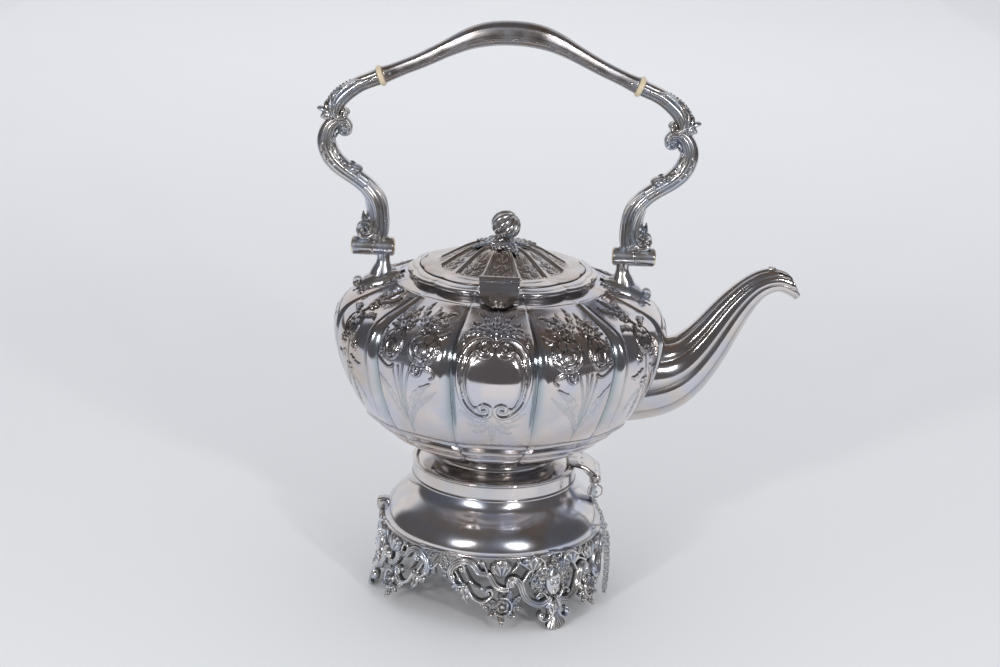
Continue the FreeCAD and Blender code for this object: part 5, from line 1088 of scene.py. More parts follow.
def spout_geo():
    g = Geo()
    nth, nu = 224, 150
    th = np.linspace(0, 2 * math.pi, nth, endpoint=False)
    us = np.linspace(0.55, 1.0, 500)
    U, TH = np.meshgrid(us, th, indexing="ij")
    P, _ = spout_point(U, TH, 0)
    cut = P[..., 2] - np.interp(P[..., 0], [150, 158.6, 161.5, 167.0, 171.0, 174.0, 178], [230, 209.6, 206.2, 205.2, 201.6, 195.2, 184])
    bad = cut > 0
    end = np.where(bad.any(0), us[np.argmax(bad, axis=0)], 1.0)
    # smooth the trim line round the tube
    for _ in range(3):
        end = (np.roll(end, 1) + 2 * end + np.roll(end, -1)) / 4
    k = np.linspace(0, 1, nu) ** 0.92
    Uo = k[:, None] * end[None]
    TH = np.repeat(th[None], nu, 0)
    Po, d = spout_point(Uo, TH, 0)
    Pi, _ = spout_point(Uo, TH, -1.1)
    # rolled edge at the mouth
    lipf = smooth01((k - 0.975) / 0.025)[:, None, None]
    ctr, _ = spout_point(Uo, TH, -100.0)
    Po = Po + (Po - Pi) * 0.25 * lipf
    cav = np.clip(d, 0, 1) ** 1.6 * 0.50
    v = np.concatenate([Po.reshape(-1, 3), Pi.reshape(-1, 3)])
    q1 = grid_quads(nu, nth, False, True)
    q2 = q1[:, ::-1] + nu * nth
    j = np.arange(nth)
    j2 = (j + 1) % nth
    e0 = np.stack([j, j2, j2 + nu * nth, j + nu * nth], -1)
    e1_ = np.stack([(nu - 1) * nth + j2, (nu - 1) * nth + j, (nu - 1) * nth + j + nu * nth, (nu - 1) * nth + j2 + nu * nth], -1)
    g.add(v, np.vstack([q1, q2, e0, e1_]), None, np.r_[cav.ravel(), np.full(nu * nth, 0.85)])
    # curl of the top reed and its bead
    pmap = lambda x, y, h: np.stack([x, -h, y], -1)
    for sg in (-1, 1):
        fm = (lambda s_: (lambda x, y, h: np.stack([x + 0 * h, -s_ * (h + 0.0), y + 0 * h], -1)))(sg)
        volute(g, fm, (157.6, 207.4), 1.9, 200, -1.2, 0.55, 3.2, ballr=0.9, base=0.4)
    add_ball(g, (157.8, 0, 207.6), 1.9, 0.1, 20, 14, (1, 1.35, 1))
    return g


build("spout_reeded", spout_geo(), "kettle", SMOOTH, ("spout",))


# ------------------------------------------------------------------ handle: grip, arms, barrels, brackets
def grip_section(th):
    """Radius factor and cavity of the faceted grip; th from the top round the camera side."""
    deg = np.abs(np.degrees(np.arctan2(np.sin(th), np.cos(th))))
    k = np.ones_like(deg)
    cav = np.zeros_like(deg)
    for c0, w_, h_ in ((52, 7.0, 0.035), (108, 6.0, 0.045), (124, 5.0, 0.035)):
        k = k + h_ * np.exp(-((deg - c0) / w_) ** 2)
        for s_ in (-1, 1):
            cav = np.maximum(cav, 0.38 * np.exp(-((deg - c0 - s_ * w_ * 1.5) / 3.0) ** 2))
    # hollow facets between the ridges
    k = k - 0.035 * np.exp(-((deg - 79) / 17) ** 2) - 0.03 * np.exp(-((deg - 152) / 18) ** 2)
    return k, cav


RINGX, RINGZ, TILT = 74.1, 312.3, math.radians(22.0)
GR = np.array([(RINGX - 1.8, RINGZ + 0.7, 4.9), (68.4, 314.6, 4.6), (62.0, 317.4, 4.35), (54.0, 320.9, 4.4), (46.0, 324.8, 4.6), (38.0, 329.0, 4.9), (30.0, 333.0, 5.6), (22.0, 336.4, 6.4),
               (13.0, 338.7, 6.95), (4.0, 339.6, 7.1), (-4.0, 339.6, 7.1), (-13.0, 338.7, 6.95), (-22.0, 336.4, 6.4), (-30.0, 333.0, 5.6), (-38.0, 329.0, 4.9), (-46.0, 324.8, 4.6), (-54.0, 320.9, 4.4),
               (-62.0, 317.4, 4.35), (-68.4, 314.6, 4.6), (-RINGX + 1.8, RINGZ + 0.7, 4.9)])
gp = spline(GR, 220)
th = np.linspace(0, 2 * math.pi, 120, endpoint=False)
kf, cf = grip_section(th)
path = np.stack([gp[:, 0], np.zeros(len(gp)), gp[:, 1]], -1)
g = Geo()
v, q, t, c = sweep(path, gp[:, 2:3] * (kf * np.sin(th))[None] * 0.97, gp[:, 2:3] * (kf * np.cos(th))[None], (0, 0, 1), cav=np.repeat(cf[None], len(gp), 0))
g.add(v, q, t, c)
build("handle_grip_faceted", g, "handle", GRIP_SHADED_SILVER, ("handle_grip",))

for side, nm in ((1, "right"), (-1, "left")):
    g = Geo()
    prof = np.array([(0.0, -1.75), (4.6, -1.75), (5.5, -1.45), (6.05, -0.8), (6.2, 0.0), (6.05, 0.8), (5.5, 1.45), (4.6, 1.75), (0.0, 1.75)])
    prof = np.vstack([[(0.05, -1.75)], spline([(4.3, -1.75), (5.4, -1.5), (6.05, -0.8), (6.2, 0.0), (6.05, 0.8), (5.4, 1.5), (4.3, 1.75)], 26), [(0.05, 1.75)]])
    v, q, c = lathe(prof, 96)
    al = np.array([-math.cos(TILT), 0, math.sin(TILT)])
    e_ = np.cross(al, [0, 1, 0])
    v = np.array([side * RINGX, 0, RINGZ]) + (v[:, 0:1] * e_ + v[:, 1:2] * np.array([0, 1, 0]) + v[:, 2:3] * al) * np.array([side, 1, 1])
    g.add(v, q, None, c)
    build(f"cream_ring_{nm}", g, "handle", IVORY, (f"insulator_ring_{nm}",))

g = Geo()
for x_, z_ in ((69.0, 314.6), (80.0, 310.1), (-69.0, 314.6), (-80.0, 310.1)):
    for sy in (-1, 1):
        add_ball(g, (x_, sy * 4.55, z_), 0.95, 0.0, 14, 9, (1, 0.6, 1))
build("rivet_heads", g, "handle", SMOOTH, ("insulator_pins",))


def side_map(y0, sg):
    """Map on the arm's flat side: x, z in plan of the handle, height out of it on side sg."""
    return lambda x, y, h: np.stack([x + 0 * h, sg * (y0 + h) + 0 * x, y + 0 * h], -1)


def reeded_tube(g, pts, sec=72, n=150, flutes=((38, 0.07), (74, 0.10), (116, 0.08)), cavg=0.6, ends=(1.0, 1.0)):
    """Cast stem: pts rows (x, z, half width, half thickness)."""
    p = spline(np.asarray(pts, float), n)
    th = np.linspace(0, 2 * math.pi, sec, endpoint=False)
    deg = np.abs(np.degrees(np.arctan2(np.sin(th), np.cos(th))))
    k, cv = np.ones(sec), np.zeros(sec)
    for c0, dp in flutes:
        e = np.exp(-((deg - c0) / 9.5) ** 2)
        k -= dp * e
        cv = np.maximum(cv, cavg * e)
    path = np.stack([p[:, 0], np.zeros(n), p[:, 1]], -1)
    t = np.gradient(path, axis=0)
    t /= np.linalg.norm(t, axis=1)[:, None]
    # th 0 points along the inner normal in the handle's plane, 90 towards the camera side
    v, q, tr, c = sweep(path, p[:, 2:3] * (k * np.cos(th))[None], p[:, 3:4] * (k * np.sin(th))[None], (0, -1, 0), cav=np.repeat(cv[None], n, 0))
    g.add(v, q, tr, c)
    return p


def arm_geo():
    g = Geo()
    # lower stem: from the barrel up the S and into the large volute
    low = [(73.4, 214.5, 3.4, 3.8), (72.4, 221.0, 4.2, 3.9), (72.5, 228.0, 4.9, 4.0), (73.5, 235.0, 5.2, 4.3), (76.2, 241.8, 5.4, 4.8), (80.6, 247.4, 5.3, 4.9), (87.2, 252.6, 5.3, 5.0), (94.6, 257.6, 5.6, 5.2), (100.8, 263.6, 5.9, 5.4),
           (104.2, 270.6, 5.7, 5.4), (104.4, 277.6, 5.0, 5.3), (101.4, 283.6, 4.2, 5.0), (96.6, 285.9, 3.2, 4.6), (92.8, 284.4, 2.4, 4.3), (91.6, 281.0, 1.9, 4.2), (93.2, 278.4, 1.6, 4.2), (95.8, 278.6, 1.2, 4.1), (96.4, 280.6, 0.8, 3.9)]
    reeded_tube(g, low)
    add_ball(g, (94.4, 281.0, 0), 1.0, 0.1, 4, 4)
    g.v.pop(); g.c.pop(); g.q.pop(); g.t.pop()
    g.n = sum(len(x) for x in g.v)
    # upper stem: from the ring over the shoulder and into the small volute
    up = [(75.8, 311.6, 4.85, 4.85), (80.2, 309.8, 4.7, 4.8), (86.0, 307.2, 4.7, 4.8), (91.8, 303.2, 4.8, 5.0), (96.8, 298.4, 4.8, 5.2), (99.4, 293.2, 4.3, 5.2), (99.0, 288.8, 3.2, 5.0), (96.0, 287.4, 2.2, 4.6), (93.6, 288.9, 1.6, 4.4), (93.4, 291.2, 1.3, 4.3), (95.0, 292.2, 0.9, 4.2), (96.0, 291.2, 0.6, 4.0)]
    reeded_tube(g, up)
    for sg in (-1, 1):
        fm = side_map(4.4, sg)
        # big and small volutes with their eyes
        volute(g, fm, (94.3, 280.7), 4.2, 80, 1.5, 0.8, 1.0, ballr=0.9, base=-2.4)
        volute(g, fm, (94.3, 290.3), 2.4, -60, 1.2, 0.6, 0.8, ballr=0.7, base=-2.4)
        # C-scroll rail on the upper shoulder
        band(g, fm, [(83.4, 309.6), (88.2, 309.2), (93.6, 305.8), (98.6, 300.6), (101.4, 294.6), (100.6, 289.4), (97.0, 286.4)], 1.0, 0.8, 1.5, ribs=1, base=-1.6)
        leafpiece(g, fm, [(99.4, 289.0), (101.8, 296.0), (97.6, 302.6), (91.0, 306.8)], 2.5, 1.1, lobes=4, teeth=0.3, base=-1.2)
        # acanthus on the elbow
        leafpiece(g, fm, [(95.0, 258.0), (102.2, 264.0), (105.6, 272.0), (104.0, 281.0)], 4.0, 1.3, lobes=6, teeth=0.45, base=-1.4)
        leafpiece(g, fm, [(97.4, 258.8), (101.6, 266.8), (100.8, 274.6), (97.6, 278.0)], 2.6, 1.5, lobes=4, teeth=0.4, base=-1.4)
        leafpiece(g, fm, [(90.0, 256.2), (96.0, 262.2), (98.8, 270.6)], 2.2, 1.4, lobes=4, teeth=0.4, base=-1.2)
        # husk on the inside of the bend
        leafpiece(g, fm, [(84.2, 252.4), (89.0, 259.0), (95.6, 259.4)], 2.6, 1.2, lobes=3, teeth=0.35, base=-1.6)
        leafpiece(g, fm, [(82.0, 247.6), (88.6, 254.0), (96.0, 258.8)], 1.8, 1.1, lobes=3, teeth=0.35, base=-1.2)
        # base C-scroll: a rail that leaves the stem, sweeps down and curls outwards round a smooth hollow
        band(g, fm, [(82.6, 249.0), (77.4, 243.0), (74.6, 236.4), (73.8, 229.4), (74.6, 223.4), (77.2, 219.2), (80.8, 218.0), (84.0, 219.4), (85.0, 222.0), (83.8, 224.2), (82.0, 223.8)], 1.6, 1.5, 2.6, ribs=1, base=-2.2, n=120)
        band(g, fm, [(69.6, 216.8), (68.8, 224.0), (69.2, 232.0), (70.6, 239.0), (74.6, 246.0), (80.6, 251.4)], 1.5, 1.3, 1.8, ribs=1, base=-2.4, n=90)
        leafpiece(g, fm, [(77.2, 220.8), (80.0, 223.6), (80.6, 228.4), (79.4, 232.6)], 2.4, 1.4, lobes=3, teeth=0.45, base=-2.6)
        leafpiece(g, fm, [(80.4, 226.0), (82.4, 229.2), (82.6, 232.2)], 1.6, 1.6, lobes=2, teeth=0.4, base=-2.4)
        add_ball(g, (83.4, sg * 4.4, 222.4), 1.9, 0.1, 20, 12)
        for x_, z_ in ((72.4, 217.4), (75.6, 218.0), (78.6, 217.4)):
            add_ball(g, (x_, sg * 4.2, z_), 1.0, 0.15, 14, 9)
    # body of the base scroll between its two faces, hollowed along the faces
    base = [(74.0, 217.6, 3.6, 3.6), (77.6, 218.8, 3.2, 3.9), (81.4, 219.6, 2.6, 3.9), (84.0, 221.0, 2.2, 3.9), (84.2, 223.2, 1.8, 3.8), (82.6, 224.2, 1.3, 3.6), (81.6, 223.6, 0.9, 3.4)]
    reeded_tube(g, base, n=60, flutes=((90, 0.08),))
    reeded_tube(g, [(81.8, 245.6, 1.2, 2.6), (79.8, 240.0, 2.2, 3.0), (77.8, 233.6, 3.0, 3.1), (77.4, 228.0, 3.4, 3.1), (78.4, 223.0, 3.2, 3.1), (79.4, 219.6, 2.4, 3.0)], n=50, flutes=((90, 0.12),), cavg=0.35)
    # inner husk and outer leaf tip, both through the thickness
    for c_, r_, sq in (((88.2, 0, 257.4), 3.7, (1.35, 1.25, 0.85)), ((104.4, 0, 288.2), 3.6, (0.8, 1.0, 1.0))):
        add_ball(g, c_, r_, 0.25, 24, 16, sq)
    # star-shaped leaf at the outer joint, carried through the thickness
    cx, cz = 104.9, 291.2
    nr_, na_ = 14, 120
    aa = np.linspace(0, 2 * math.pi, na_, endpoint=False)
    Rs = 2.6 + 3.0 * np.abs(np.cos(2.5 * (aa - 0.25))) ** 2.0
    rr_ = np.linspace(0, 1, nr_)
    for sg in (-1, 1):
        X = cx + rr_[:, None] * Rs[None] * np.cos(aa)[None]
        Z = cz + rr_[:, None] * Rs[None] * np.sin(aa)[None]
        vein = np.abs(np.cos(2.5 * (aa - 0.25)))[None]
        Y = 3.4 * (1 - 0.55 * rr_[:, None] ** 1.6) + 0.9 * rr_[:, None] * (vein - 0.5) * np.sin(rr_[:, None] * math.pi)
        v = np.stack([X, sg * Y, Z], -1).reshape(-1, 3)
        k0 = len(v)
        v = np.vstack([v, np.stack([X[-1], np.zeros(na_), Z[-1]], -1)])
        q = grid_quads(nr_, na_, False, True)
        jj = np.arange(na_)
        q = np.vstack([q, np.stack([(nr_ - 1) * na_ + jj, (nr_ - 1) * na_ + (jj + 1) % na_, k0 + (jj + 1) % na_, k0 + jj], -1)])
        g.add(v, q, None, np.r_[(0.7 * (1 - vein) * rr_[:, None]).ravel(), np.full(na_, 0.3)])
    # solid ball inside the large volute
    add_ball(g, (94.2, 0, 280.7), 4.4, 0.5, 36, 24, (1.0, 1.1, 1.0))
    add_ball(g, (94.2, 0, 290.4), 2.7, 0.5, 28, 18, (1.0, 1.5, 1.0))
    # beaded ridge on the outer edge
    ed = spline([(105.0, 294.6), (103.4, 298.4), (100.6, 302.2), (96.6, 305.8), (91.8, 308.8)], 10)
    for i, (x_, z_) in enumerate(ed):
        add_ball(g, (x_, 0, z_), 1.25 - 0.05 * i, 0.15, 14, 9, (1, 1.25, 1))
    return g


def tubebarrel(g, x0, x1, r, z, cav_end=0.4):
    prof = rounded([(2.2, x0), (r, x0), (r, x1), (2.2, x1)], 0.35)
    v, q, c = lathe(prof[::-1], 96)
    v = np.stack([v[:, 2], v[:, 0], z + v[:, 1]], -1)
    g.add(v, q, None, 0.0)


def mirror_x(v):
    return v * np.array([-1, 1, 1])


SL = 212.0
arm_g = arm_geo()
tubebarrel(arm_g, 76.5, 88.1, 5.6, SL)
for side, nm in ((1, "right"), (-1, "left")):
    g = Geo().merge(arm_g, None if side == 1 else mirror_x)
    build(f"handle_arm_cast_{nm}", g, "handle", CAST, (f"handle_arm_{nm}",))


def shoulder(r):
    """Height of the kettle's shoulder at radius r."""
    k = TT > 119
    o = np.argsort(TR[k])
    return np.interp(r, TR[k][o], TZ[k][o])


def bracket_geo():
    g = Geo()
    tubebarrel(g, 64.6, 76.3, 5.6, SL)
    # waisted post with raised edges
    post = [(70.2, 208.6, 4.4, 4.2), (70.2, 205.4, 3.8, 3.7), (70.2, 202.8, 4.1, 4.0), (70.4, 199.6, 5.6, 5.2), (70.8, 194.6, 7.4, 6.4)]
    reeded_tube(g, post, n=44, flutes=((38, 0.10), (90, 0.16), (142, 0.10)), cavg=0.75)
    # ridged tent-shaped foot running down the shoulder to a curl, and up to a forked cusp
    n, m = 60, 33
    xs = spline([(59.6, 0), (64.0, 0), (70.0, 0), (77.0, 0), (83.8, 0)], n)[:, 0]
    u = np.linspace(0, 1, n)
    zb = shoulder(xs)
    ridge = np.interp(xs, [59.6, 62.5, 67.5, 74.5, 81.0, 83.8], [1.8, 4.2, 6.6, 7.4, 6.0, 4.4])
    half = np.interp(xs, [59.6, 62.5, 66.0, 70.0, 76.0, 81.0, 83.8], [2.2, 7.2, 8.6, 9.2, 8.4, 7.0, 5.8])
    y = np.linspace(-1, 1, m)
    prof = (1 - np.abs(y) ** 1.45) * 0.80 + 0.20 * np.clip((1 - np.abs(y)) * 8, 0, 1)
    prof = prof + 0.10 * np.exp(-((np.abs(y) - 0.55) / 0.07) ** 2)
    drop = (half[:, None] * y[None]) ** 2 * 0.0065
    top = np.stack([np.repeat(xs[:, None], m, 1), half[:, None] * y[None], zb[:, None] + 0.1 - drop + ridge[:, None] * prof[None]], -1)
    bot = np.stack([np.repeat(xs[:, None], m, 1), half[:, None] * y[None], zb[:, None] - 1.2 - drop * 1.6], -1)
    cv = np.maximum(0.6 * np.exp(-((np.abs(y) - 0.72) / 0.10) ** 2), 0.4 * np.exp(-((np.abs(y) - 0.42) / 0.05) ** 2))[None] * np.ones((n, 1))
    v, q, c = slab(top, bot, cv, 0.7)
    g.add(v, q, None, c)
    for sg in (-1, 1):
        fm = side_map(4.6, sg)
        volute(g, fm, (85.4, 189.6), 2.7, 150, -1.35, 0.75, 0.9, ballr=0.9, base=-4.2)
        leafpiece(g, lambda x, y_, h, s=sg: np.stack([x + 0 * h, s * y_ + 0 * h, shoulder(np.asarray(x, float)) + 0.4 - y_ ** 2 * 0.0065 + h], -1), [(72.0, 5.0), (66.0, 8.2), (60.6, 10.2)], 2.6, 1.3, lobes=4, teeth=0.4, base=-0.5)
        leafpiece(g, lambda x, y_, h, s=sg: np.stack([x + 0 * h, s * y_ + 0 * h, shoulder(np.asarray(x, float)) + 0.5 - y_ ** 2 * 0.0065 + h], -1), [(68.0, 2.0), (62.0, 4.2), (57.6, 5.4)], 2.0, 1.2, lobes=3, teeth=0.35, base=-0.5)
        leafpiece(g, lambda x, y_, h, s=sg: np.stack([x + 0 * h, s * y_ + 0 * h, shoulder(np.asarray(x, float)) + 0.4 - y_ ** 2 * 0.0065 + h], -1), [(74.0, 6.0), (80.0, 9.0), (85.0, 9.4)], 2.2, 1.0, lobes=4, teeth=0.4, base=-0.6)
        for x_, y_ in ((76.0, 7.6), (79.5, 6.8), (82.4, 6.0)):
            add_ball(g, (x_, sg * y_, float(shoulder(x_)) + 0.3), 0.8, 0.2, 12, 8)
    v, q, c = lathe(rounded([(0.05, -4.7), (2.2, -4.7), (2.2, 4.7), (0.05, 4.7)], 0.3), 40)
    g.add(np.stack([85.4 + v[:, 0], v[:, 2], 189.6 + v[:, 1]], -1), q, None, 0.4)
    return g


br = bracket_geo()
for side, nm in ((1, "right"), (-1, "left")):
    build(f"handle_bracket_cast_{nm}", Geo().merge(br, None if side == 1 else mirror_x), "kettle", CAST, (f"handle_bracket_{nm}",))
    # domed brass-toned pin heads
    g = Geo()
    for x0, sg in ((64.2, -1), (88.5, 1)):
        pr_ = np.vstack([spline([(0.05, 1.0), (2.2, 0.9), (4.3, 0.5), (5.25, -0.1)], 14), [(5.3, -0.9), (0.05, -0.9)]])
        v, q, c = lathe(pr_, 64)
        v = np.stack([(x0 + sg * v[:, 2] * 0.9) * side, v[:, 0], SL + v[:, 1]], -1)
        g.add(v, q, None, 0.0)
    v, q, c = lathe(rounded([(0.05, 63.6), (1.9, 63.6), (1.9, 89.0), (0.05, 89.0)], 0.2), 32)
    g.add(np.stack([v[:, 2] * side, v[:, 0], SL + v[:, 1]], -1), q, None, 0.3)
    build(f"handle_pin_domed_{nm}", g, "kettle", BRASSY, (f"handle_pin_{nm}",))


# ------------------------------------------------------------------ lid hinge
HX = -1.5          # the hinge sits a little left of the axis


def hinge_map(x, y, z):
    return np.stack([x + HX + 0 * y + 0 * z, y + 0 * x + 0 * z, z + 0 * x + 0 * y], -1)


def hinge_lid():
    g = Geo()
    n, m = 61, 34
    x = np.linspace(-11.5, 11.5, n)
    line = spline([(-53.6, 211.2), (-51.6, 210.4), (-49.0, 207.4), (-46.4, 205.6), (-42.6, 205.2), (-38.8, 205.9)], m)
    X = np.repeat(x[:, None], m, 1)
    w = 1 - 0.10 * smooth01((np.arange(m)[None] / (m - 1) - 0.55) / 0.45) * np.ones((n, 1))
    Y = np.repeat(line[None, :, 0], n, 0)
    Z = np.repeat(line[None, :, 1], n, 0)
    edge = np.minimum((11.5 - np.abs(X)) / 0.5, 1)
    top = hinge_map(X * w, Y, Z + 0.12 * edge)
    bot = hinge_map(X * w, Y, Z - 1.0)
    cv = np.clip((np.abs(X) - 10.9) / 0.6, 0, 1) * 0.5
    v, q, c = slab(top, bot, cv, 0.6)
    g.add(v, q, None, c)
    for a_, b_ in ((-6.9, -2.5), (2.5, 6.9)):
        v, q, c = lathe(rounded([(1.0, a_), (2.3, a_), (2.3, b_), (1.0, b_)], 0.22), 48)
        g.add(np.stack([v[:, 2] + HX, -53.8 + v[:, 0], 209.0 + v[:, 1]], -1), q, None, 0.05)
    return g


def hinge_body():
    g = Geo()
    for a_, b_ in ((-11.5, -7.1), (-2.3, 2.3), (7.1, 11.5)):
        v, q, c = lathe(rounded([(1.0, a_), (2.3, a_), (2.3, b_), (1.0, b_)], 0.22), 48)
        g.add(np.stack([v[:, 2] + HX, -53.8 + v[:, 0], 209.0 + v[:, 1]], -1), q, None, 0.05)
    # plate from the knuckles down to the shoulder, slightly hollowed
    n, m = 71, 40
    x = np.linspace(-1, 1, n)
    s = np.linspace(0, 1, m)
    line = spline([(-55.4, 208.0), (-56.6, 206.0), (-57.2, 203.4), (-58.2, 201.2), (-60.2, 199.3), (-62.6, 197.7), (-65.0, 196.3)], m)
    half = np.interp(s, [0, 0.42, 0.55, 0.7, 0.85, 1.0], [11.4, 11.2, 10.4, 8.8, 6.0, 3.4])
    # outline of the bottom: two pointed lobes either side of the middle
    xx = x[:, None] * half[None]
    lobe = smooth01((s[None] - 0.45) / 0.12) * (0.5 - 0.5 * np.cos(np.clip(np.abs(x[:, None]) / 0.9, 0, 1) * 2 * math.pi)) * 0.9
    vee = smooth01((s[None] - 0.40) / 0.1) * np.exp(-((np.abs(xx) - 7.4 * (s[None] - 0.40) / 0.6) / 0.7) ** 2)
    dd = 0.35 + 0.55 * lobe + 0.55 * vee - 0.25 * smooth01(s[None] / 0.1) * smooth01((0.42 - s[None]) / 0.1) * (1 - x[:, None] ** 2)
    tn = np.gradient(line, axis=0)
    tn /= np.linalg.norm(tn, axis=1)[:, None]
    ny, nz = tn[:, 1], -tn[:, 0]
    flip_ = -1 if ny.mean() > 0 else 1
    ny, nz = ny * flip_, nz * flip_
    Y = line[None, :, 0] + dd * ny[None]
    Z = line[None, :, 1] + dd * nz[None]
    top = hinge_map(xx, Y, Z)
    bot = hinge_map(xx, np.repeat(line[None, :, 0], n, 0) - 1.0 * ny[None], np.repeat(line[None, :, 1], n, 0) - 1.0 * nz[None])
    cv = np.clip(0.75 * smooth01((s[None] - 0.45) / 0.1) * smooth01((np.abs(x[:, None]) - 0.45) / 0.2) + 0.6 * np.exp(-((s[None] - 0.42) / 0.03) ** 2), 0, 1) * np.ones_like(xx)
    v, q, c = slab(top, bot, cv, 0.7)
    g.add(v, q, None, c)
    for sg in (-1, 1):
        add_ball(g, (HX + sg * 1.5, -62.0, 198.8), 1.1, 0.0, 18, 12, (1, 1, 0.9))
    return g


build("lid_hinge_plate_lid", hinge_lid(), "lid", SMOOTH, ("lid_hinge_lid_leaf",))
build("lid_hinge_plate_body", hinge_body(), "kettle", SMOOTH, ("lid_hinge_body_leaf",))


# ------------------------------------------------------------------ the three cast feet, joined by an engraved frieze
FR = 67.0


def foot_r(z):
    return np.interp(z, [0, 6, 13, 24, 34, 46], [71.6, 70.8, 69.2, 67.4, 66.6, 66.4])


def foot_map(c0, sg):
    def f(s, z, h):
        s, z, h = np.broadcast_arrays(np.asarray(s, float), np.asarray(z, float), np.asarray(h, float))
        a = c0 + sg * s / FR
        r = foot_r(z) + h
        return np.stack([r * np.cos(a), r * np.sin(a), z], -1)
    return f


def stipple(n, m, amp=0.16):
    k = rng.normal(size=(n, m))
    return amp * (k + np.roll(k, 1, 0) + np.roll(k, 1, 1)) / 1.7


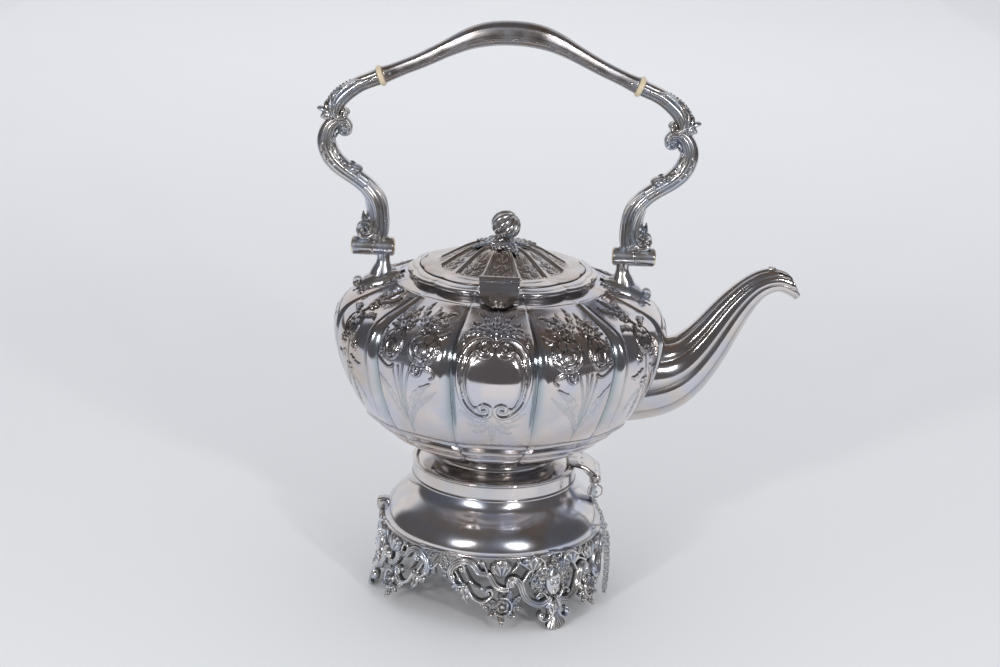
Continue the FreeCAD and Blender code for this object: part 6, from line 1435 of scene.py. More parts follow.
def half_foot(g, fm):
    """Ornament on one side of the foot's middle line; the other side mirrors it."""
    # arched band with three reeds, running from the outer volute over to the rose spray
    band(g, fm, [(-60.2, 29.6), (-62.4, 33.4), (-61.4, 37.9), (-58.5, 41.0), (-54.3, 42.4), (-50.2, 41.6), (-47.1, 38.6), (-45.1, 36.2), (-40.3, 35.6), (-37.8, 32.7), (-35.5, 29.2), (-31.1, 26.6), (-26.6, 26.9)], 2.3, 1.9, 1.9, ribs=3, base=-1.4, n=130)
    band(g, fm, [(-46.6, 40.8), (-45.6, 42.6), (-43.0, 41.8), (-41.4, 39.0), (-40.6, 36.4)], 0.9, 0.7, 1.2, ribs=1, base=-1.4, n=30)
    # hanging bars inside the arch
    band(g, fm, [(-55.6, 39.0), (-53.4, 36.2), (-51.3, 32.5), (-48.3, 29.2), (-44.2, 27.1)], 1.35, 0.9, 1.7, ribs=2, base=-1.4, n=50)
    add_ball(g, (0, 0, 0), 1.0, 0.15, 16, 10, fn=lambda X, Y, Z: fm(-43.4 + X * 1.35, 26.9 + Y * 1.35, 0.6 + Z * 1.3))
    band(g, fm, [(-61.6, 33.6), (-60.9, 30.4), (-58.9, 27.6), (-55.6, 26.6), (-53.2, 28.2)], 1.1, 0.8, 1.4, ribs=1, base=-1.4, n=40)
    band(g, fm, [(-60.0, 36.6), (-58.2, 33.8), (-56.6, 31.0), (-54.8, 28.8)], 0.8, 0.8, 1.2, ribs=1, base=-1.4, n=30)
    for s_, z_, r_ in ((-61.0, 29.6, 1.7), (-60.2, 26.0, 1.5), (-57.6, 24.6, 1.4), (-62.4, 32.4, 1.3)):
        add_ball(g, (0, 0, 0), 1.0, 0.3, 14, 9, fn=lambda X, Y, Z, s_=s_, z_=z_, r_=r_: fm(s_ + X * r_, z_ + Y * r_, 0.0 + Z * r_ * 0.9))
    # leaf pendant
    leafpiece(g, fm, [(-54.2, 29.0), (-53.6, 23.6), (-51.4, 16.6)], 3.6, 1.0, lobes=3, teeth=0.35, base=-1.0, n=44)
    leafpiece(g, fm, [(-55.6, 27.6), (-58.0, 25.2), (-60.0, 23.2)], 1.9, 1.1, lobes=2, teeth=0.3, base=-1.0, n=26)
    # C-scroll with curled ends
    band(g, fm, [(-53.0, 28.6), (-51.4, 25.6), (-48.9, 21.8), (-45.6, 19.5), (-41.9, 19.1), (-38.6, 21.2), (-37.1, 24.2), (-38.2, 26.4), (-40.3, 26.0), (-40.6, 24.4)], 1.35, 1.0, 1.6, ribs=1, base=-1.4, n=90)
    volute(g, fm, (-39.6, 24.2), 2.3, 20, 1.1, 0.85, 1.5, ballr=0.8, base=-1.4)
    leafpiece(g, fm, [(-44.6, 19.6), (-41.6, 16.2), (-38.2, 12.4)], 2.2, 1.2, lobes=4, teeth=0.4, base=-1.0, n=30)
    leafpiece(g, fm, [(-45.4, 18.2), (-41.0, 18.0), (-36.4, 16.4)], 1.9, 1.2, lobes=3, teeth=0.4, base=-1.0, n=30)
    # rose in its wreath
    def rose_h(U, V_):
        R_ = np.hypot(U, V_)
        A_ = np.arctan2(V_, U)
        pet = 0.5 + 0.5 * np.cos(5 * A_ + 2.2 * np.sin(R_ * 5))
        H = 1.1 + 0.9 * np.exp(-(R_ / 0.32) ** 2) + 0.55 * pet * np.exp(-((R_ - 0.68) / 0.24) ** 2) - 0.5 * np.exp(-((R_ - 0.42) / 0.09) ** 2)
        H = H * np.sqrt(np.clip(1.02 - R_ ** 4, 0, 1))
        return H - 0.3, np.clip(0.25 + 0.7 * np.exp(-((R_ - 0.43) / 0.10) ** 2) + 0.5 * (1 - pet) * (R_ > 0.5), 0, 1)
    patch(g, fm, (-31.2, 16.2), 4.3, 4.3, rose_h, 41, 41, base=-1.6)
    band(g, fm, [(-31.2 + 5.3 * math.cos(a), 16.2 + 5.3 * math.sin(a)) for a in np.radians(np.linspace(-150, 110, 14))], 0.8, 0.8, 1.3, ribs=1, base=-1.4, n=80, m=11)
    for a_, L, wd in ((-100, 10.6, 2.4), (-48, 10.4, 2.4), (-150, 9.6, 2.2), (-12, 11.8, 2.6), (58, 9.6, 2.2), (150, 8.6, 2.0), (100, 8.4, 1.8)):
        r0 = math.radians(a_)
        p0 = np.array([-31.2 + 4.4 * math.cos(r0), 16.2 + 4.4 * math.sin(r0)])
        p1 = np.array([-31.2 + L * math.cos(r0 + 0.10), 16.2 + L * math.sin(r0 + 0.10)])
        leafpiece(g, fm, [p0, (p0 + p1) / 2 + (0.3, -0.2), p1], wd, 1.2, lobes=3, teeth=0.42, base=-1.0, n=30, lift=0.5)
    leafpiece(g, fm, [(-28.4, 20.4), (-26.4, 23.4), (-27.0, 26.8)], 1.8, 1.2, lobes=3, teeth=0.3, base=-1.0, n=24)
    leafpiece(g, fm, [(-25.4, 17.2), (-22.4, 19.6), (-19.4, 22.4)], 2.3, 1.1, lobes=4, teeth=0.4, base=-1.0, n=28)
    for s_, z_ in ((-31.6, 7.6), (-24.6, 10.8), (-37.4, 11.4), (-31.8, 5.9)):
        add_ball(g, (0, 0, 0), 1.0, 0.25, 14, 9, fn=lambda X, Y, Z, s_=s_, z_=z_: fm(s_ + X * 1.0, z_ + Y * 1.15, 0.7 + Z * 1.0))
    # three-reeded S-band down to the foot
    band(g, fm, [(-26.4, 28.4), (-27.4, 30.2), (-26.4, 32.2), (-23.4, 32.2), (-21.0, 29.3), (-19.5, 24.6), (-17.2, 20.6), (-13.2, 17.4), (-8.6, 16.2), (-4.2, 17.6), (-1.2, 19.6)], 2.7, 1.7, 2.5, ribs=3, base=-1.2, n=120)
    volute(g, fm, (-26.0, 29.6), 2.5, 40, 1.15, 0.95, 2.2, ballr=0.95, base=-1.2)
    # crisped leaves under the drum's edge
    for c_, L in (((-35.4, 34.6), [(-35.4, 35.4), (-36.0, 40.0), (-33.6, 44.6)]), ((-30.6, 35.0), [(-30.2, 35.2), (-30.0, 40.4), (-28.4, 44.4)]), ((-33.0, 35.0), [(-33.0, 35.0), (-33.2, 40.6), (-31.4, 45.8)])):
        leafpiece(g, fm, L, 3.3, 2.2, lobes=2, teeth=0.2, base=-1.4, n=40, lift=0.6)
    def puff(U, V_):
        R_ = np.hypot(U, V_)
        f_ = 0.5 + 0.5 * np.cos(np.arctan2(V_ + 1.1, U) * 14)
        H = 2.7 * np.sqrt(np.clip(1.0 - R_ ** 2.4, 0, 1)) * (0.72 + 0.28 * f_) - 0.3
        return H, np.clip((1 - f_) * 0.75, 0, 1)
    patch(g, fm, (-32.2, 39.6), 6.1, 5.9, puff, 49, 41, base=-1.6)
    patch(g, fm, (-13.8, 41.6), 6.6, 4.5, puff, 49, 41, base=-1.6)
    band(g, fm, [(-22.8, 44.6), (-20.4, 42.4), (-18.0, 42.0), (-15.4, 43.8), (-11.0, 45.4), (-7.4, 42.8), (-6.1, 38.4)], 1.1, 0.8, 2.6, ribs=1, base=-1.4, n=60)
    band(g, fm, [(-26.6, 36.6), (-24.6, 39.0), (-22.6, 41.8), (-22.8, 44.4)], 0.9, 0.8, 1.2, ribs=1, base=-1.4, n=36)
    # hair wings and small scrolls by the mask
    for k_, L in enumerate(([(-1.0, 38.2), (-5.4, 37.0), (-8.8, 31.6), (-13.6, 27.6)], [(-1.4, 39.8), (-7.4, 38.2), (-11.2, 33.4), (-15.4, 29.8)], [(-2.8, 36.4), (-6.4, 33.0), (-8.2, 28.0), (-11.4, 24.4)], [(-4.8, 33.6), (-6.6, 29.4), (-7.4, 25.0), (-9.0, 21.8)])):
        leafpiece(g, fm, L, 1.7, 1.9 - 0.15 * k_, lobes=5, teeth=0.18, base=-0.8, n=44)
    band(g, fm, [(-10.8, 22.4), (-7.6, 23.2), (-5.0, 20.6), (-3.6, 17.6), (-4.6, 15.8)], 0.9, 0.7, 1.9, ribs=1, base=-1.2, n=44)
    volute(g, fm, (-10.0, 20.6), 1.8, 60, 1.0, 0.65, 1.6, ballr=0.6, base=-1.2)
    band(g, fm, [(-20.8, 29.2), (-17.6, 33.4), (-15.0, 37.2), (-11.6, 39.0)], 1.1, 0.8, 1.4, ribs=1, base=-1.4, n=36)
    # stem, side volute and fan of the toe
    band(g, fm, [(-1.6, 17.8), (-3.4, 14.6), (-2.9, 11.0), (-3.7, 7.9), (-6.6, 6.3), (-9.2, 7.8), (-9.4, 10.2), (-7.6, 10.9)], 1.25, 0.95, 2.0, ribs=1, base=-1.2, n=80)
    band(g, fm, [(-1.0, 16.0), (-4.4, 14.4), (-6.0, 13.0)], 0.8, 0.7, 1.4, ribs=1, base=-1.2, n=20)
    # outer volute at the end of the frieze
    volute(g, fm, (-55.6, 37.8), 3.4, 200, -1.2, 1.0, 1.7, ballr=1.0, base=-1.4)
    leafpiece(g, fm, [(-63.6, 36.2), (-66.4, 33.0), (-64.8, 29.2)], 2.2, 1.3, lobes=3, teeth=0.4, base=-1.0, n=28)
    band(g, fm, [(-70.15, 39.6), (-67.8, 36.0), (-65.4, 34.4), (-63.2, 35.4), (-62.0, 38.0)], 0.8, 0.8, 1.3, ribs=1, base=-1.4, n=36)


def middle_foot(g, fm):
    """Pieces on the foot's middle line."""
    # pounced ground behind the mask
    n, m = 81, 61
    u = np.linspace(-1, 1, n)
    v_ = np.linspace(0, 1, m)
    s = u[:, None] * np.interp(v_, [0, 0.25, 0.5, 0.75, 1], [9.5, 14.2, 16.2, 13.6, 8.0])[None]
    z = 21.0 + v_[None] * 21.5 + 0 * s
    H = -0.55 + stipple(n, m, 0.13)
    cvn = np.clip(0.55 + 0.4 * np.sign(-H - 0.55), 0.15, 0.95)
    top = fm(s, z, H)
    bot = fm(s, z, np.full_like(s, -2.0))
    v, q, c = slab(top, bot, cvn, 0.8)
    g.add(v, q, None, c)

    # calm symmetrical mask with ordinary even proportions
    def mask(U, V_):
        R_ = np.sqrt(U ** 2 + V_ ** 2)
        G = lambda a, b, sa, sb: np.exp(-((np.abs(U) - a) / sa) ** 2 - ((V_ - b) / sb) ** 2)
        H = 2.3 * np.sqrt(np.clip(1.0 - R_ ** 2.6, 0, 1))
        H = H - 0.50 * G(0.36, 0.05, 0.20, 0.10) + 0.34 * G(0.36, 0.03, 0.13, 0.055)
        H = H + 0.32 * G(0.36, 0.20, 0.24, 0.05) + 0.15 * G(0.0, 0.45, 0.5, 0.18)
        ridge = np.exp(-(U / 0.13) ** 2) * smooth01((V_ + 0.46) / 0.06) * smooth01((0.24 - V_) / 0.2)
        H = H + ridge * (0.45 + 0.75 * np.clip((0.2 - V_) / 0.6, 0, 1)) + 0.30 * G(0.15, -0.40, 0.08, 0.05)
        H = H + 0.30 * G(0.42, -0.25, 0.22, 0.18) + 0.34 * G(0.0, -0.60, 0.24, 0.045) + 0.36 * G(0.0, -0.71, 0.20, 0.05) - 0.32 * G(0.0, -0.655, 0.26, 0.022)
        H = H + 0.42 * G(0.0, -0.88, 0.20, 0.08)
        cvm = 0.30 * G(0.36, 0.10, 0.22, 0.05) + 0.2 * G(0.36, -0.04, 0.16, 0.03) + 0.6 * G(0.0, -0.655, 0.26, 0.025) + 0.5 * G(0.12, -0.46, 0.10, 0.03) + 0.4 * np.clip((R_ - 0.9) / 0.1, 0, 1)
        return H + 0.4, np.clip(cvm, 0, 1)
    patch(g, fm, (0.0, 28.6), 5.0, 8.2, mask, 91, 121, base=-1.0)
    for sg in (-1, 1):
        leafpiece(g, lambda x, y, h, sg=sg: fm(sg * x, y, h), [(0.0, 40.8), (-2.6, 38.6), (-5.0, 35.0), (-5.9, 30.6)], 1.5, 3.1, lobes=5, teeth=0.12, base=0.0, n=44)
        leafpiece(g, lambda x, y, h, sg=sg: fm(sg * x, y, h), [(0.0, 39.0), (-1.8, 37.4), (-4.0, 34.8), (-5.4, 31.4)], 1.1, 3.3, lobes=5, teeth=0.10, base=0.4, n=40)
    leafpiece(g, fm, [(0.0, 37.4), (0.2, 41.6), (0.0, 46.2)], 2.6, 2.4, lobes=4, teeth=0.35, base=-0.8, n=36, lift=0.5)
    band(g, fm, [(-4.0, 44.6), (-3.0, 46.4), (-0.6, 46.9), (2.6, 46.6), (5.0, 45.4), (4.4, 43.8), (2.8, 43.9)], 0.9, 0.7, 1.8, ribs=1, base=-1.2, n=60)
    # bud and flaring toe with seven flutes
    def bud(U, V_):
        R_ = np.hypot(U, V_)
        f_ = 0.5 + 0.5 * np.cos(np.arctan2(V_ + 1.4, U) * 12)
        return 2.9 * np.sqrt(np.clip(1 - R_ ** 2.4, 0, 1)) * (0.8 + 0.2 * f_) + 0.2, np.clip((1 - f_) * 0.6, 0, 1)
    patch(g, fm, (0.0, 14.2), 2.6, 3.0, bud, 33, 33, base=-1.0)
    n, m = 127, 44
    u = np.linspace(-1, 1, n)
    v_ = np.linspace(0, 1, m)
    half = np.interp(v_, [0, 0.15, 0.45, 0.8, 1.0], [1.7, 1.9, 2.7, 5.2, 6.1])
    fl = np.abs(np.cos(u * 3.5 * math.pi)) ** 0.6
    endz = 0.04 + 2.2 * (np.abs(u) ** 2.0) + 0.75 * (1 - fl)
    z = 12.2 + (endz[:, None] - 12.2) * v_[None]
    s = u[:, None] * half[None]
    H = (0.3 + 1.9 * v_[None] ** 1.5) + 0.95 * fl[:, None] * smooth01(v_[None] / 0.2) * np.sqrt(np.clip(1 - u[:, None] ** 4 * 0.9, 0, 1)) - 0.9 * smooth01((v_[None] - 0.93) / 0.07)
    cvn = (1 - fl[:, None]) ** 1.2 * smooth01(v_[None] / 0.15) * 0.95
    top = fm(s, z, H)
    bot = fm(s, z, -1.4 + 1.3 * v_[None] ** 1.5 + 0 * s)
    v, q, c = slab(top, bot, cvn, 0.8)
    g.add(v, q, None, c)
    for sg in (-1, 1):
        add_ball(g, (0, 0, 0), 1.0, 0.15, 20, 12, fn=lambda X, Y, Z, sg=sg: fm(sg * 8.4 + X * 1.9, 9.2 + Y * 1.9, 0.9 + Z * 1.9))


def frieze_piece(g, fm):
    """Flat engraved acanthus between two feet; s from 57 to 70.15, mirrored on the next foot."""
    n, m = 90, 70
    s = np.linspace(-70.35, -56.0, n)
    lo = np.interp(s, [-70.35, -68.4, -66.8, -65.4, -63.6, -61.4, -59.4, -57.6, -56.0], [39.4, 37.8, 35.4, 34.6, 36.0, 39.2, 41.4, 42.4, 42.6])
    v_ = np.linspace(0, 1, m)
    S = np.repeat(s[:, None], m, 1)
    Z = lo[:, None] + (47.0 - lo[:, None]) * v_[None]
    R = Relief(-72, -55, 33, 49, 0.12)
    R.leaf(np.array([(-70.2, 44.6), (-66.4, 41.6), (-64.6, 35.6)]), 2.2, 0.7, 6, 0.4)
    R.leaf(np.array([(-69.6, 46.2), (-64.4, 44.6), (-59.4, 43.4)]), 1.6, 0.7, 6, 0.4)
    R.leaf(np.array([(-70.2, 42.2), (-68.6, 39.4), (-66.8, 36.6)]), 1.3, 0.6, 4, 0.35)
    R.leaf(np.array([(-66.0, 45.0), (-62.6, 42.0), (-60.8, 39.6)]), 1.3, 0.6, 4, 0.35)
    R.line(np.array([(-70.3, 46.6), (-66.0, 46.9), (-60.0, 46.6)]), 0.3, 0.2)
    H = R.sample(S, Z) * 1.0
    C = R.sample(S, Z, "c")
    edge = smooth01(v_ / 0.06)[None]
    top = fm(S, Z, -0.3 + H * 1.3 * edge + 0.3 * (1 - edge))
    bot = fm(S, Z, np.full_like(S, -1.7))
    v, q, c = slab(top, bot, np.clip(C * 0.9 + 0.25, 0, 1), 0.7)
    g.add(v, q, None, c)


foot_names = {-56.5: "stand_foot_front_right", 63.5: "stand_foot_back_right", 183.5: "stand_foot_left"}
for deg, node in foot_names.items():
    c0 = math.radians(deg)
    g = Geo()
    for sg in (1, -1):
        half_foot(g, foot_map(c0, sg))
        frieze_piece(g, foot_map(c0, sg))
    middle_foot(g, foot_map(c0, 1))
    # narrow ledge behind the ornament, under the drum's rolled edge
    n = 140
    a = c0 + np.linspace(-70.15, 70.15, n) / FR
    pr_ = rounded([(63.2, 42.4), (65.4, 42.4), (65.4, 45.0), (63.2, 45.0)], 0.2)
    A, K = np.meshgrid(a, np.arange(len(pr_)), indexing="ij")
    v = np.stack([pr_[K, 0] * np.cos(A), pr_[K, 0] * np.sin(A), pr_[K, 1]], -1)
    k = len(pr_)
    vv = np.vstack([v.reshape(-1, 3), v[0].mean(0), v[-1].mean(0)])
    j = np.arange(k)
    tri = np.vstack([np.stack([np.full(k, n * k), j, (j + 1) % k], -1), np.stack([np.full(k, n * k + 1), (n - 1) * k + (j + 1) % k, (n - 1) * k + j], -1)])
    g.add(vv, grid_quads(n, k, False, True), tri, 0.6)
    build(node + "_cast", g, "stand", CAST, (node,))


# ------------------------------------------------------------------ front hinge, its pull-out pin, keeper lug
def ybarrel(g, y0, y1, r, x=60.8, z=76.2, rr=0.3, cav=0.05, n=56, bore=0.0):
    v, q, c = lathe(rounded([(max(bore, 0.05), y0), (r, y0), (r, y1), (max(bore, 0.05), y1)], rr), n)
    g.add(np.stack([x + v[:, 0], v[:, 2], z + v[:, 1]], -1), q, None, cav)


g = Geo()
sec = rounded([(44.5, 86.4), (50.2, 86.3), (55.4, 84.2), (60.4, 80.6), (61.3, 79.2), (60.6, 77.9), (58.4, 77.2), (56.4, 78.6), (53.0, 82.2), (49.8, 84.3), (44.5, 84.5)], 0.7)
ny_ = 41
yy = np.linspace(-12.6, 12.6, ny_)
fl_ = 0.25 * np.cos(yy / 12.6 * math.pi * 3) - 0.9 * smooth01((np.abs(yy) - 11.6) / 1.0) * 0.3
k = len(sec)
cen = sec.mean(0)
v = np.zeros((ny_, k, 3))
for i in range(ny_):
    sc_ = 1.0 + 0.02 * fl_[i]
    v[i, :, 0] = cen[0] + (sec[:, 0] - cen[0]) * sc_
    v[i, :, 1] = yy[i]
    v[i, :, 2] = cen[1] + (sec[:, 1] - cen[1]) * (sc_ + 0.06 * fl_[i])
vv = np.vstack([v.reshape(-1, 3), v[0].mean(0), v[-1].mean(0)])
j = np.arange(k)
tri = np.vstack([np.stack([np.full(k, ny_ * k), (j + 1) % k, j], -1), np.stack([np.full(k, ny_ * k + 1), (ny_ - 1) * k + j, (ny_ - 1) * k + (j + 1) % k], -1)])
g.add(vv, grid_quads(ny_, k, False, True), tri, 0.1)
for y0, y1 in ((-13.0, -6.9), (6.9, 13.0)):
    ybarrel(g, y0, y1, 3.6, bore=1.8)
for yb in (-8.6, 0.0, 8.6):
    add_ball(g, (52.4, yb, 85.3), 1.0, 0.0, 16, 10, (1, 1, 0.6))
build("kettle_hinge_strap_shaped", g, "kettle", SMOOTH, ("kettle_hinge_strap",))

g = Geo()
ybarrel(g, -6.6, 6.6, 3.6, bore=1.8)
pts = spline([(61.0, 73.6, 5.9, 2.0), (60.6, 69.6, 4.7, 1.8), (60.2, 65.4, 5.2, 1.8), (60.6, 61.0, 6.1, 2.0), (61.6, 57.4, 5.0, 1.7)], 44)
th = np.linspace(0, 2 * math.pi, 48, endpoint=False)
cs = np.sign(np.cos(th)) * np.abs(np.cos(th)) ** 0.7
sn = np.sign(np.sin(th)) * np.abs(np.sin(th)) ** 0.7
path = np.stack([pts[:, 0], np.zeros(len(pts)), pts[:, 1]], -1)
v, q, t, c = sweep(path, pts[:, 2:3] * cs[None], pts[:, 3:4] * sn[None], (1, 0, 0), cav=0.15)
# the sweep's first axis must lie along y
if np.ptp(v[:, 1]) < 6:
    v, q, t, c = sweep(path, pts[:, 3:4] * sn[None], pts[:, 2:3] * cs[None], (1, 0, 0), cav=0.15)
g.add(v, q, t, c)
for z_, r_ in ((63.2, 1.4), (66.8, 1.0)):
    add_ball(g, (62.0, 0, z_), r_, 0.1, 16, 10)
build("stand_hinge_post_shaped", g, "stand", CAST, ("stand_hinge_post",))

g = Geo()
ybarrel(g, -14.4, 14.4, 1.68, rr=0.25)
ybarrel(g, -15.1, -14.3, 3.0, rr=0.35)
add_ball(g, (60.8, -16.6, 76.2), 2.6, 0.0, 28, 18, (1, 1, 1))
ybarrel(g, -18.9, -18.2, 1.5, rr=0.25)
th = np.linspace(0, 2 * math.pi, 61)[:-1]


def torus(g, c, R, r, e1_, e2_, n=60, m=16, stretch=1.0, cav=0.1):
    e1_, e2_ = np.asarray(e1_, float), np.asarray(e2_, float)
    e3 = np.cross(e1_, e2_)
    a, b = np.meshgrid(np.linspace(0, 2 * math.pi, n, endpoint=False), np.linspace(0, 2 * math.pi, m, endpoint=False), indexing="ij")
    d = np.cos(a)[..., None] * e1_ * stretch + np.sin(a)[..., None] * e2_
    dn = d / np.linalg.norm(d, axis=-1, keepdims=True)
    p = np.asarray(c, float) + R * d + r * (np.cos(b)[..., None] * dn + np.sin(b)[..., None] * e3)
    g.add(p.reshape(-1, 3), grid_quads(n, m, True, True), None, cav)


torus(g, (60.8, -20.4, 76.4), 1.9, 0.65, (0, 1, 0), (0, 0, 1))
build("lock_pin_turned", g, "lock_pin", SMOOTH, ("lock_pin",))
g = Geo()
torus(g, (60.8, -20.4, 72.2), 4.2, 0.55, (1, 0, 0), (0, 0, 1), n=72)
build("lock_ring_round", g, "lock_pin", SMOOTH, ("lock_ring",))

# chain of elongated links between the ring and the stand
CH = np.array([(61.1, -20.4, 64.95), (63.0, -20.4, 61.4), (65.4, -20.4, 57.0), (67.0, -20.3, 50.0), (68.2, -20.3, 40.0), (69.4, -20.6, 28.0), (69.4, -21.4, 18.0), (69.2, -22.0, 12.6), (69.4, -21.4, 8.6), (70.0, -18.4, 6.6),
               (70.6, -15.2, 8.6), (71.0, -14.4, 12.6), (71.2, -14.8, 18.0), (71.2, -15.4, 26.0), (70.8, -16.0, 34.0), (70.2, -16.5, 41.0), (69.6, -16.8, 45.4)])
cp = spline(CH, 1400)
cl = np.concatenate([[0], np.cumsum(np.linalg.norm(np.diff(cp, axis=0), axis=1))])
g = Geo()
low = np.array([60.8, -20.4, 68.0])
torus(g, low + (0.0, 0, -1.1), 1.75, 0.3, (0, 1, 0), (0, 0, 1), n=36, m=10)
pitch, side = 2.35, np.array([1.0, 0, 0])
for i in range(int(cl[-1] / pitch) + 1):
    d0 = i * pitch
    p = np.array([np.interp(d0, cl, cp[:, k]) for k in range(3)])
    t = np.array([np.interp(min(d0 + 0.6, cl[-1]), cl, cp[:, k]) for k in range(3)]) - np.array([np.interp(max(d0 - 0.6, 0), cl, cp[:, k]) for k in range(3)])
    t /= np.linalg.norm(t)
    side = side - t * side.dot(t)
    side /= np.linalg.norm(side)
    other = np.cross(t, side)
    e = (side + other if i % 2 == 0 else side - other) / math.sqrt(2)
    torus(g, p, 1.02, 0.35, t, e, n=26, m=8, stretch=1.62, cav=0.25)
build("lock_chain_links", g, "lock_pin", CAST, ("lock_chain",))

g = Geo()
sec = rounded([(-70.0, 54.4), (-66.0, 55.3), (-62.6, 54.8), (-62.8, 51.0), (-64.6, 48.2), (-69.4, 47.0), (-70.4, 50.4)], 0.8)
ny_ = 15
yy = np.linspace(-3.3, 3.3, ny_)
k = len(sec)
cen = sec.mean(0)
v = np.zeros((ny_, k, 3))
for i in range(ny_):
    sc_ = math.sqrt(max(1 - (yy[i] / 3.6) ** 6, 0.1))
    v[i, :, 0], v[i, :, 1], v[i, :, 2] = cen[0] + (sec[:, 0] - cen[0]) * sc_, yy[i], cen[1] + (sec[:, 1] - cen[1]) * sc_
vv = np.vstack([v.reshape(-1, 3), v[0].mean(0), v[-1].mean(0)])
j = np.arange(k)
tri = np.vstack([np.stack([np.full(k, ny_ * k), (j + 1) % k, j], -1), np.stack([np.full(k, ny_ * k + 1), (ny_ - 1) * k + j, (ny_ - 1) * k + (j + 1) % k], -1)])
g.add(vv, grid_quads(ny_, k, False, True), tri, 0.2)
add_ball(g, (-69.6, 0, 51.2), 1.6, 0.1, 18, 12, (0.6, 1, 1))
build("keeper_lug_shaped", g, "stand", SMOOTH, ("keeper_lug",))


# ------------------------------------------------------------------ base disc inside the kettle's foot ring
b0, b1 = [np.array(x) * 1000 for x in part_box("kettle_body")]
zb = b0[2]
g = Geo()
prof = np.array([(0.05, zb + 1.0), (12.0, zb + 0.9), (24.0, zb + 0.6), (33.0, zb + 0.3), (38.0, zb + 0.4), (38.0, zb + 1.9), (24.0, zb + 2.0), (0.05, zb + 2.3)])
v, q, c = lathe(spline(prof[:5], 24).tolist() + prof[5:].tolist(), 180)
g.add(v, q, None, 0.3)
build("kettle_base_disc", g, "kettle", INSIDE, ())


# ------------------------------------------------------------------ stage, light, camera
def plane(name, corners, mat):
    me = bpy.data.meshes.new(name)
    me.from_pydata([Vector(c) for c in corners], [], [(0, 1, 2, 3)])
    ob = bpy.data.objects.new(name, me)
    bpy.context.scene.collection.objects.link(ob)
    me.materials.append(mat)
    return ob


floor_mat = plain_surface("floor_paper", (0.80, 0.805, 0.82), (0.83, 0.835, 0.85), 0.75, 3.0, 0.0)
plane("floor", [(-6, -6, 0), (6, -6, 0), (6, 6, 0), (-6, 6, 0)], floor_mat)


def card(name, centre, size, normal, colour, strength):
    """Panel seen only in the metal's reflections."""
    m = bpy.data.materials.new(name)
    m.use_nodes = True
    nt = m.node_tree
    nt.nodes.clear()
    o = _n(nt, "ShaderNodeOutputMaterial", 300)
    e = _n(nt, "ShaderNodeEmission", 0)
    e.inputs[0].default_value = (*colour, 1)
    e.inputs[1].default_value = strength
    nt.links.new(e.outputs[0], o.inputs[0])
    q = Vector(normal).to_track_quat("Z", "Y")
    w, h = size[0] / 2, size[1] / 2
    pts = [Vector(centre) + q @ Vector(p) for p in ((-w, -h, 0), (w, -h, 0), (w, h, 0), (-w, h, 0))]
    ob = plane(name, pts, m)
    ob.visible_camera = ob.visible_diffuse = ob.visible_shadow = ob.visible_transmission = False
    return ob


# the dark room beyond the table's edge, as the metal sees it
DARK = (0.100, 0.095, 0.100)
card("room_floor_front", (0, -3.40, 0.0015), (8.0, 6.0), (0, 0, 1), DARK, 1.0)
card("room_floor_left", (-3.85, 2.5, 0.0015), (6.0, 6.0), (0, 0, 1), DARK, 1.0)
card("room_floor_right", (3.85, 2.5, 0.0015), (6.0, 6.0), (0, 0, 1), DARK, 1.0)


def area(name, loc, target, size, power, colour=(1, 1, 1), shape="SQUARE", spread=math.pi):
    d = bpy.data.lights.new(name, "AREA")
    d.shape = shape
    d.size = size if np.isscalar(size) else size[0]
    if not np.isscalar(size):
        d.shape = "RECTANGLE"
        d.size_y = size[1]
    d.energy = power
    d.color = colour
    d.spread = spread
    ob = bpy.data.objects.new(name, d)
    ob.location = loc
    ob.rotation_mode = "QUATERNION"
    ob.rotation_quaternion = (Vector(target) - Vector(loc)).to_track_quat("-Z", "Y")
    bpy.context.scene.collection.objects.link(ob)
    return ob


area("key_left", (-0.74, -1.28, 0.60), (0, 0, 0.12), 0.10, 5.2, (1.0, 0.98, 0.96))
area("key_right", (0.74, -1.28, 0.60), (0, 0, 0.12), 0.10, 5.2, (1.0, 0.98, 0.96))
area("key_left_b", (-0.60, -1.38, 0.82), (0, 0, 0.12), 0.07, 1.4, (1.0, 0.98, 0.96))
area("key_right_b", (0.60, -1.38, 0.82), (0, 0, 0.12), 0.07, 1.4, (1.0, 0.98, 0.96))
back = area("back_fill", (0, 2.2, 1.6), (0, 2.6, 0.0), 2.6, 15.0, (0.98, 0.99, 1.0))
back.visible_glossy = False

world = bpy.data.worlds.new("studio")
bpy.context.scene.world = world
world.use_nodes = True
wt = world.node_tree
wt.nodes.clear()
wo = _n(wt, "ShaderNodeOutputWorld", 600)
bg = _n(wt, "ShaderNodeBackground", 200, 100)
bg.inputs[0].default_value = (0.74, 0.755, 0.79, 1)
bg.inputs[1].default_value = 0.895
# what the metal reflects: a white backdrop behind the object, a dark room to the front, sides and above
tcw = _n(wt, "ShaderNodeTexCoord", -1200)
sep = _n(wt, "ShaderNodeSeparateXYZ", -1000)
wt.links.new(tcw.outputs["Generated"], sep.inputs[0])
ab = _n(wt, "ShaderNodeMath", -800, 100, operation="ABSOLUTE")
wt.links.new(sep.outputs[0], ab.inputs[0])
sub = _n(wt, "ShaderNodeMath", -600, 100, operation="SUBTRACT")      # y - |x| * 0.75: inside the backdrop's width
mu = _n(wt, "ShaderNodeMath", -700, 0, operation="MULTIPLY")
mu.inputs[1].default_value = 0.62
wt.links.new(ab.outputs[0], mu.inputs[0])
wt.links.new(sep.outputs[1], sub.inputs[0])
wt.links.new(mu.outputs[0], sub.inputs[1])
e1w = _n(wt, "ShaderNodeMapRange", -400, 100)
e1w.inputs["From Min"].default_value, e1w.inputs["From Max"].default_value = -0.04, 0.10
wt.links.new(sub.outputs[0], e1w.inputs["Value"])
e2w = _n(wt, "ShaderNodeMapRange", -400, -150)
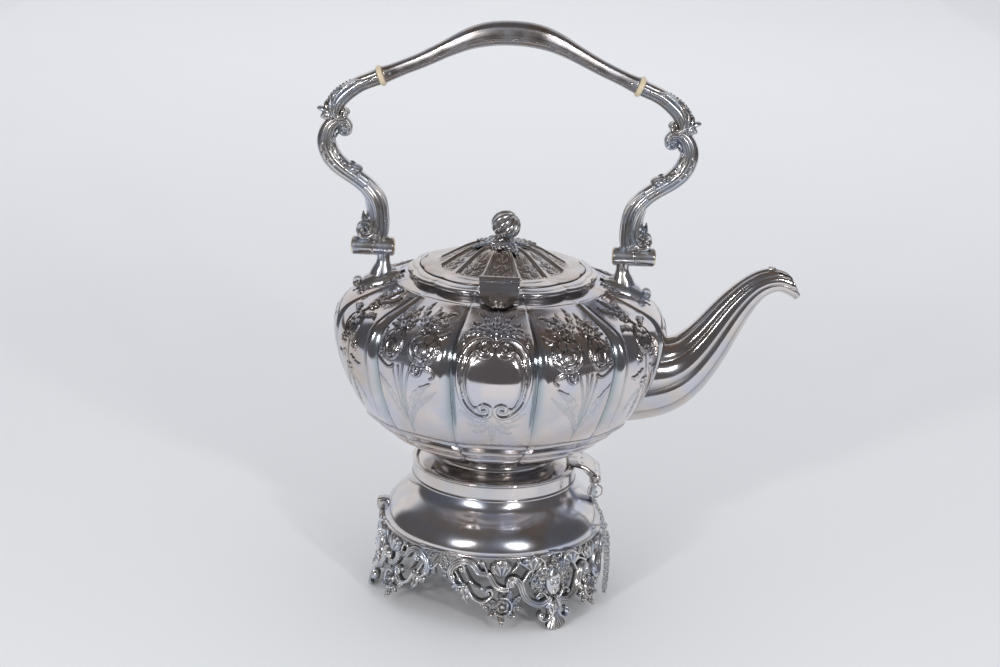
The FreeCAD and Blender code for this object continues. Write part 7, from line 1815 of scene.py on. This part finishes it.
e2w.inputs["From Min"].default_value, e2w.inputs["From Max"].default_value = 0.835, 0.785
wt.links.new(sep.outputs[2], e2w.inputs["Value"])
both = _n(wt, "ShaderNodeMath", -200, 0, operation="MULTIPLY")
wt.links.new(e1w.outputs[0], both.inputs[0])
wt.links.new(e2w.outputs[0], both.inputs[1])
up = _n(wt, "ShaderNodeMapRange", -400, -400)
up.inputs["From Min"].default_value, up.inputs["From Max"].default_value = 0.55, 0.98
wt.links.new(sep.outputs[2], up.inputs["Value"])
roomc = _n(wt, "ShaderNodeMix", -200, -300, data_type="RGBA")
roomc.inputs[6].default_value, roomc.inputs[7].default_value = (0.096, 0.093, 0.100, 1), (0.128, 0.102, 0.084, 1)
wt.links.new(up.outputs[0], roomc.inputs[0])
mixw = _n(wt, "ShaderNodeMix", 0, -100, data_type="RGBA")
mixw.inputs[7].default_value = (0.80, 0.795, 0.81, 1)
wt.links.new(both.outputs[0], mixw.inputs[0])
wt.links.new(roomc.outputs[2], mixw.inputs[6])
bg2 = _n(wt, "ShaderNodeBackground", 200, -100)
wt.links.new(mixw.outputs[2], bg2.inputs[0])
lp = _n(wt, "ShaderNodeLightPath", 200, 350)
ms = _n(wt, "ShaderNodeMixShader", 420)
wt.links.new(lp.outputs["Is Glossy Ray"], ms.inputs[0])
wt.links.new(bg.outputs[0], ms.inputs[1])
wt.links.new(bg2.outputs[0], ms.inputs[2])
wt.links.new(ms.outputs[0], wo.inputs[0])

cam_d = bpy.data.cameras.new("camera")
cam_d.lens, cam_d.sensor_width, cam_d.sensor_fit = 73.0, 36.0, "HORIZONTAL"
cam_d.clip_start, cam_d.clip_end = 0.01, 50
cam = bpy.data.objects.new("camera", cam_d)
bpy.context.scene.collection.objects.link(cam)
P_, RHO_ = math.radians(17.01), math.radians(2.46)
Rv, Uv, Fv = Vector((1, 0, 0)), Vector((0, math.sin(P_), math.cos(P_))), Vector((0, math.cos(P_), -math.sin(P_)))
rx = Rv * math.cos(RHO_) + Uv * math.sin(RHO_)
ry = -Rv * math.sin(RHO_) + Uv * math.cos(RHO_)
rz = -Fv
cam.matrix_world = Matrix(((rx.x, ry.x, rz.x, 0.00004), (rx.y, ry.y, rz.y, -1.150), (rx.z, ry.z, rz.z, 0.5132), (0, 0, 0, 1)))
bpy.context.scene.camera = cam
bpy.context.scene.view_settings.view_transform = "Standard"
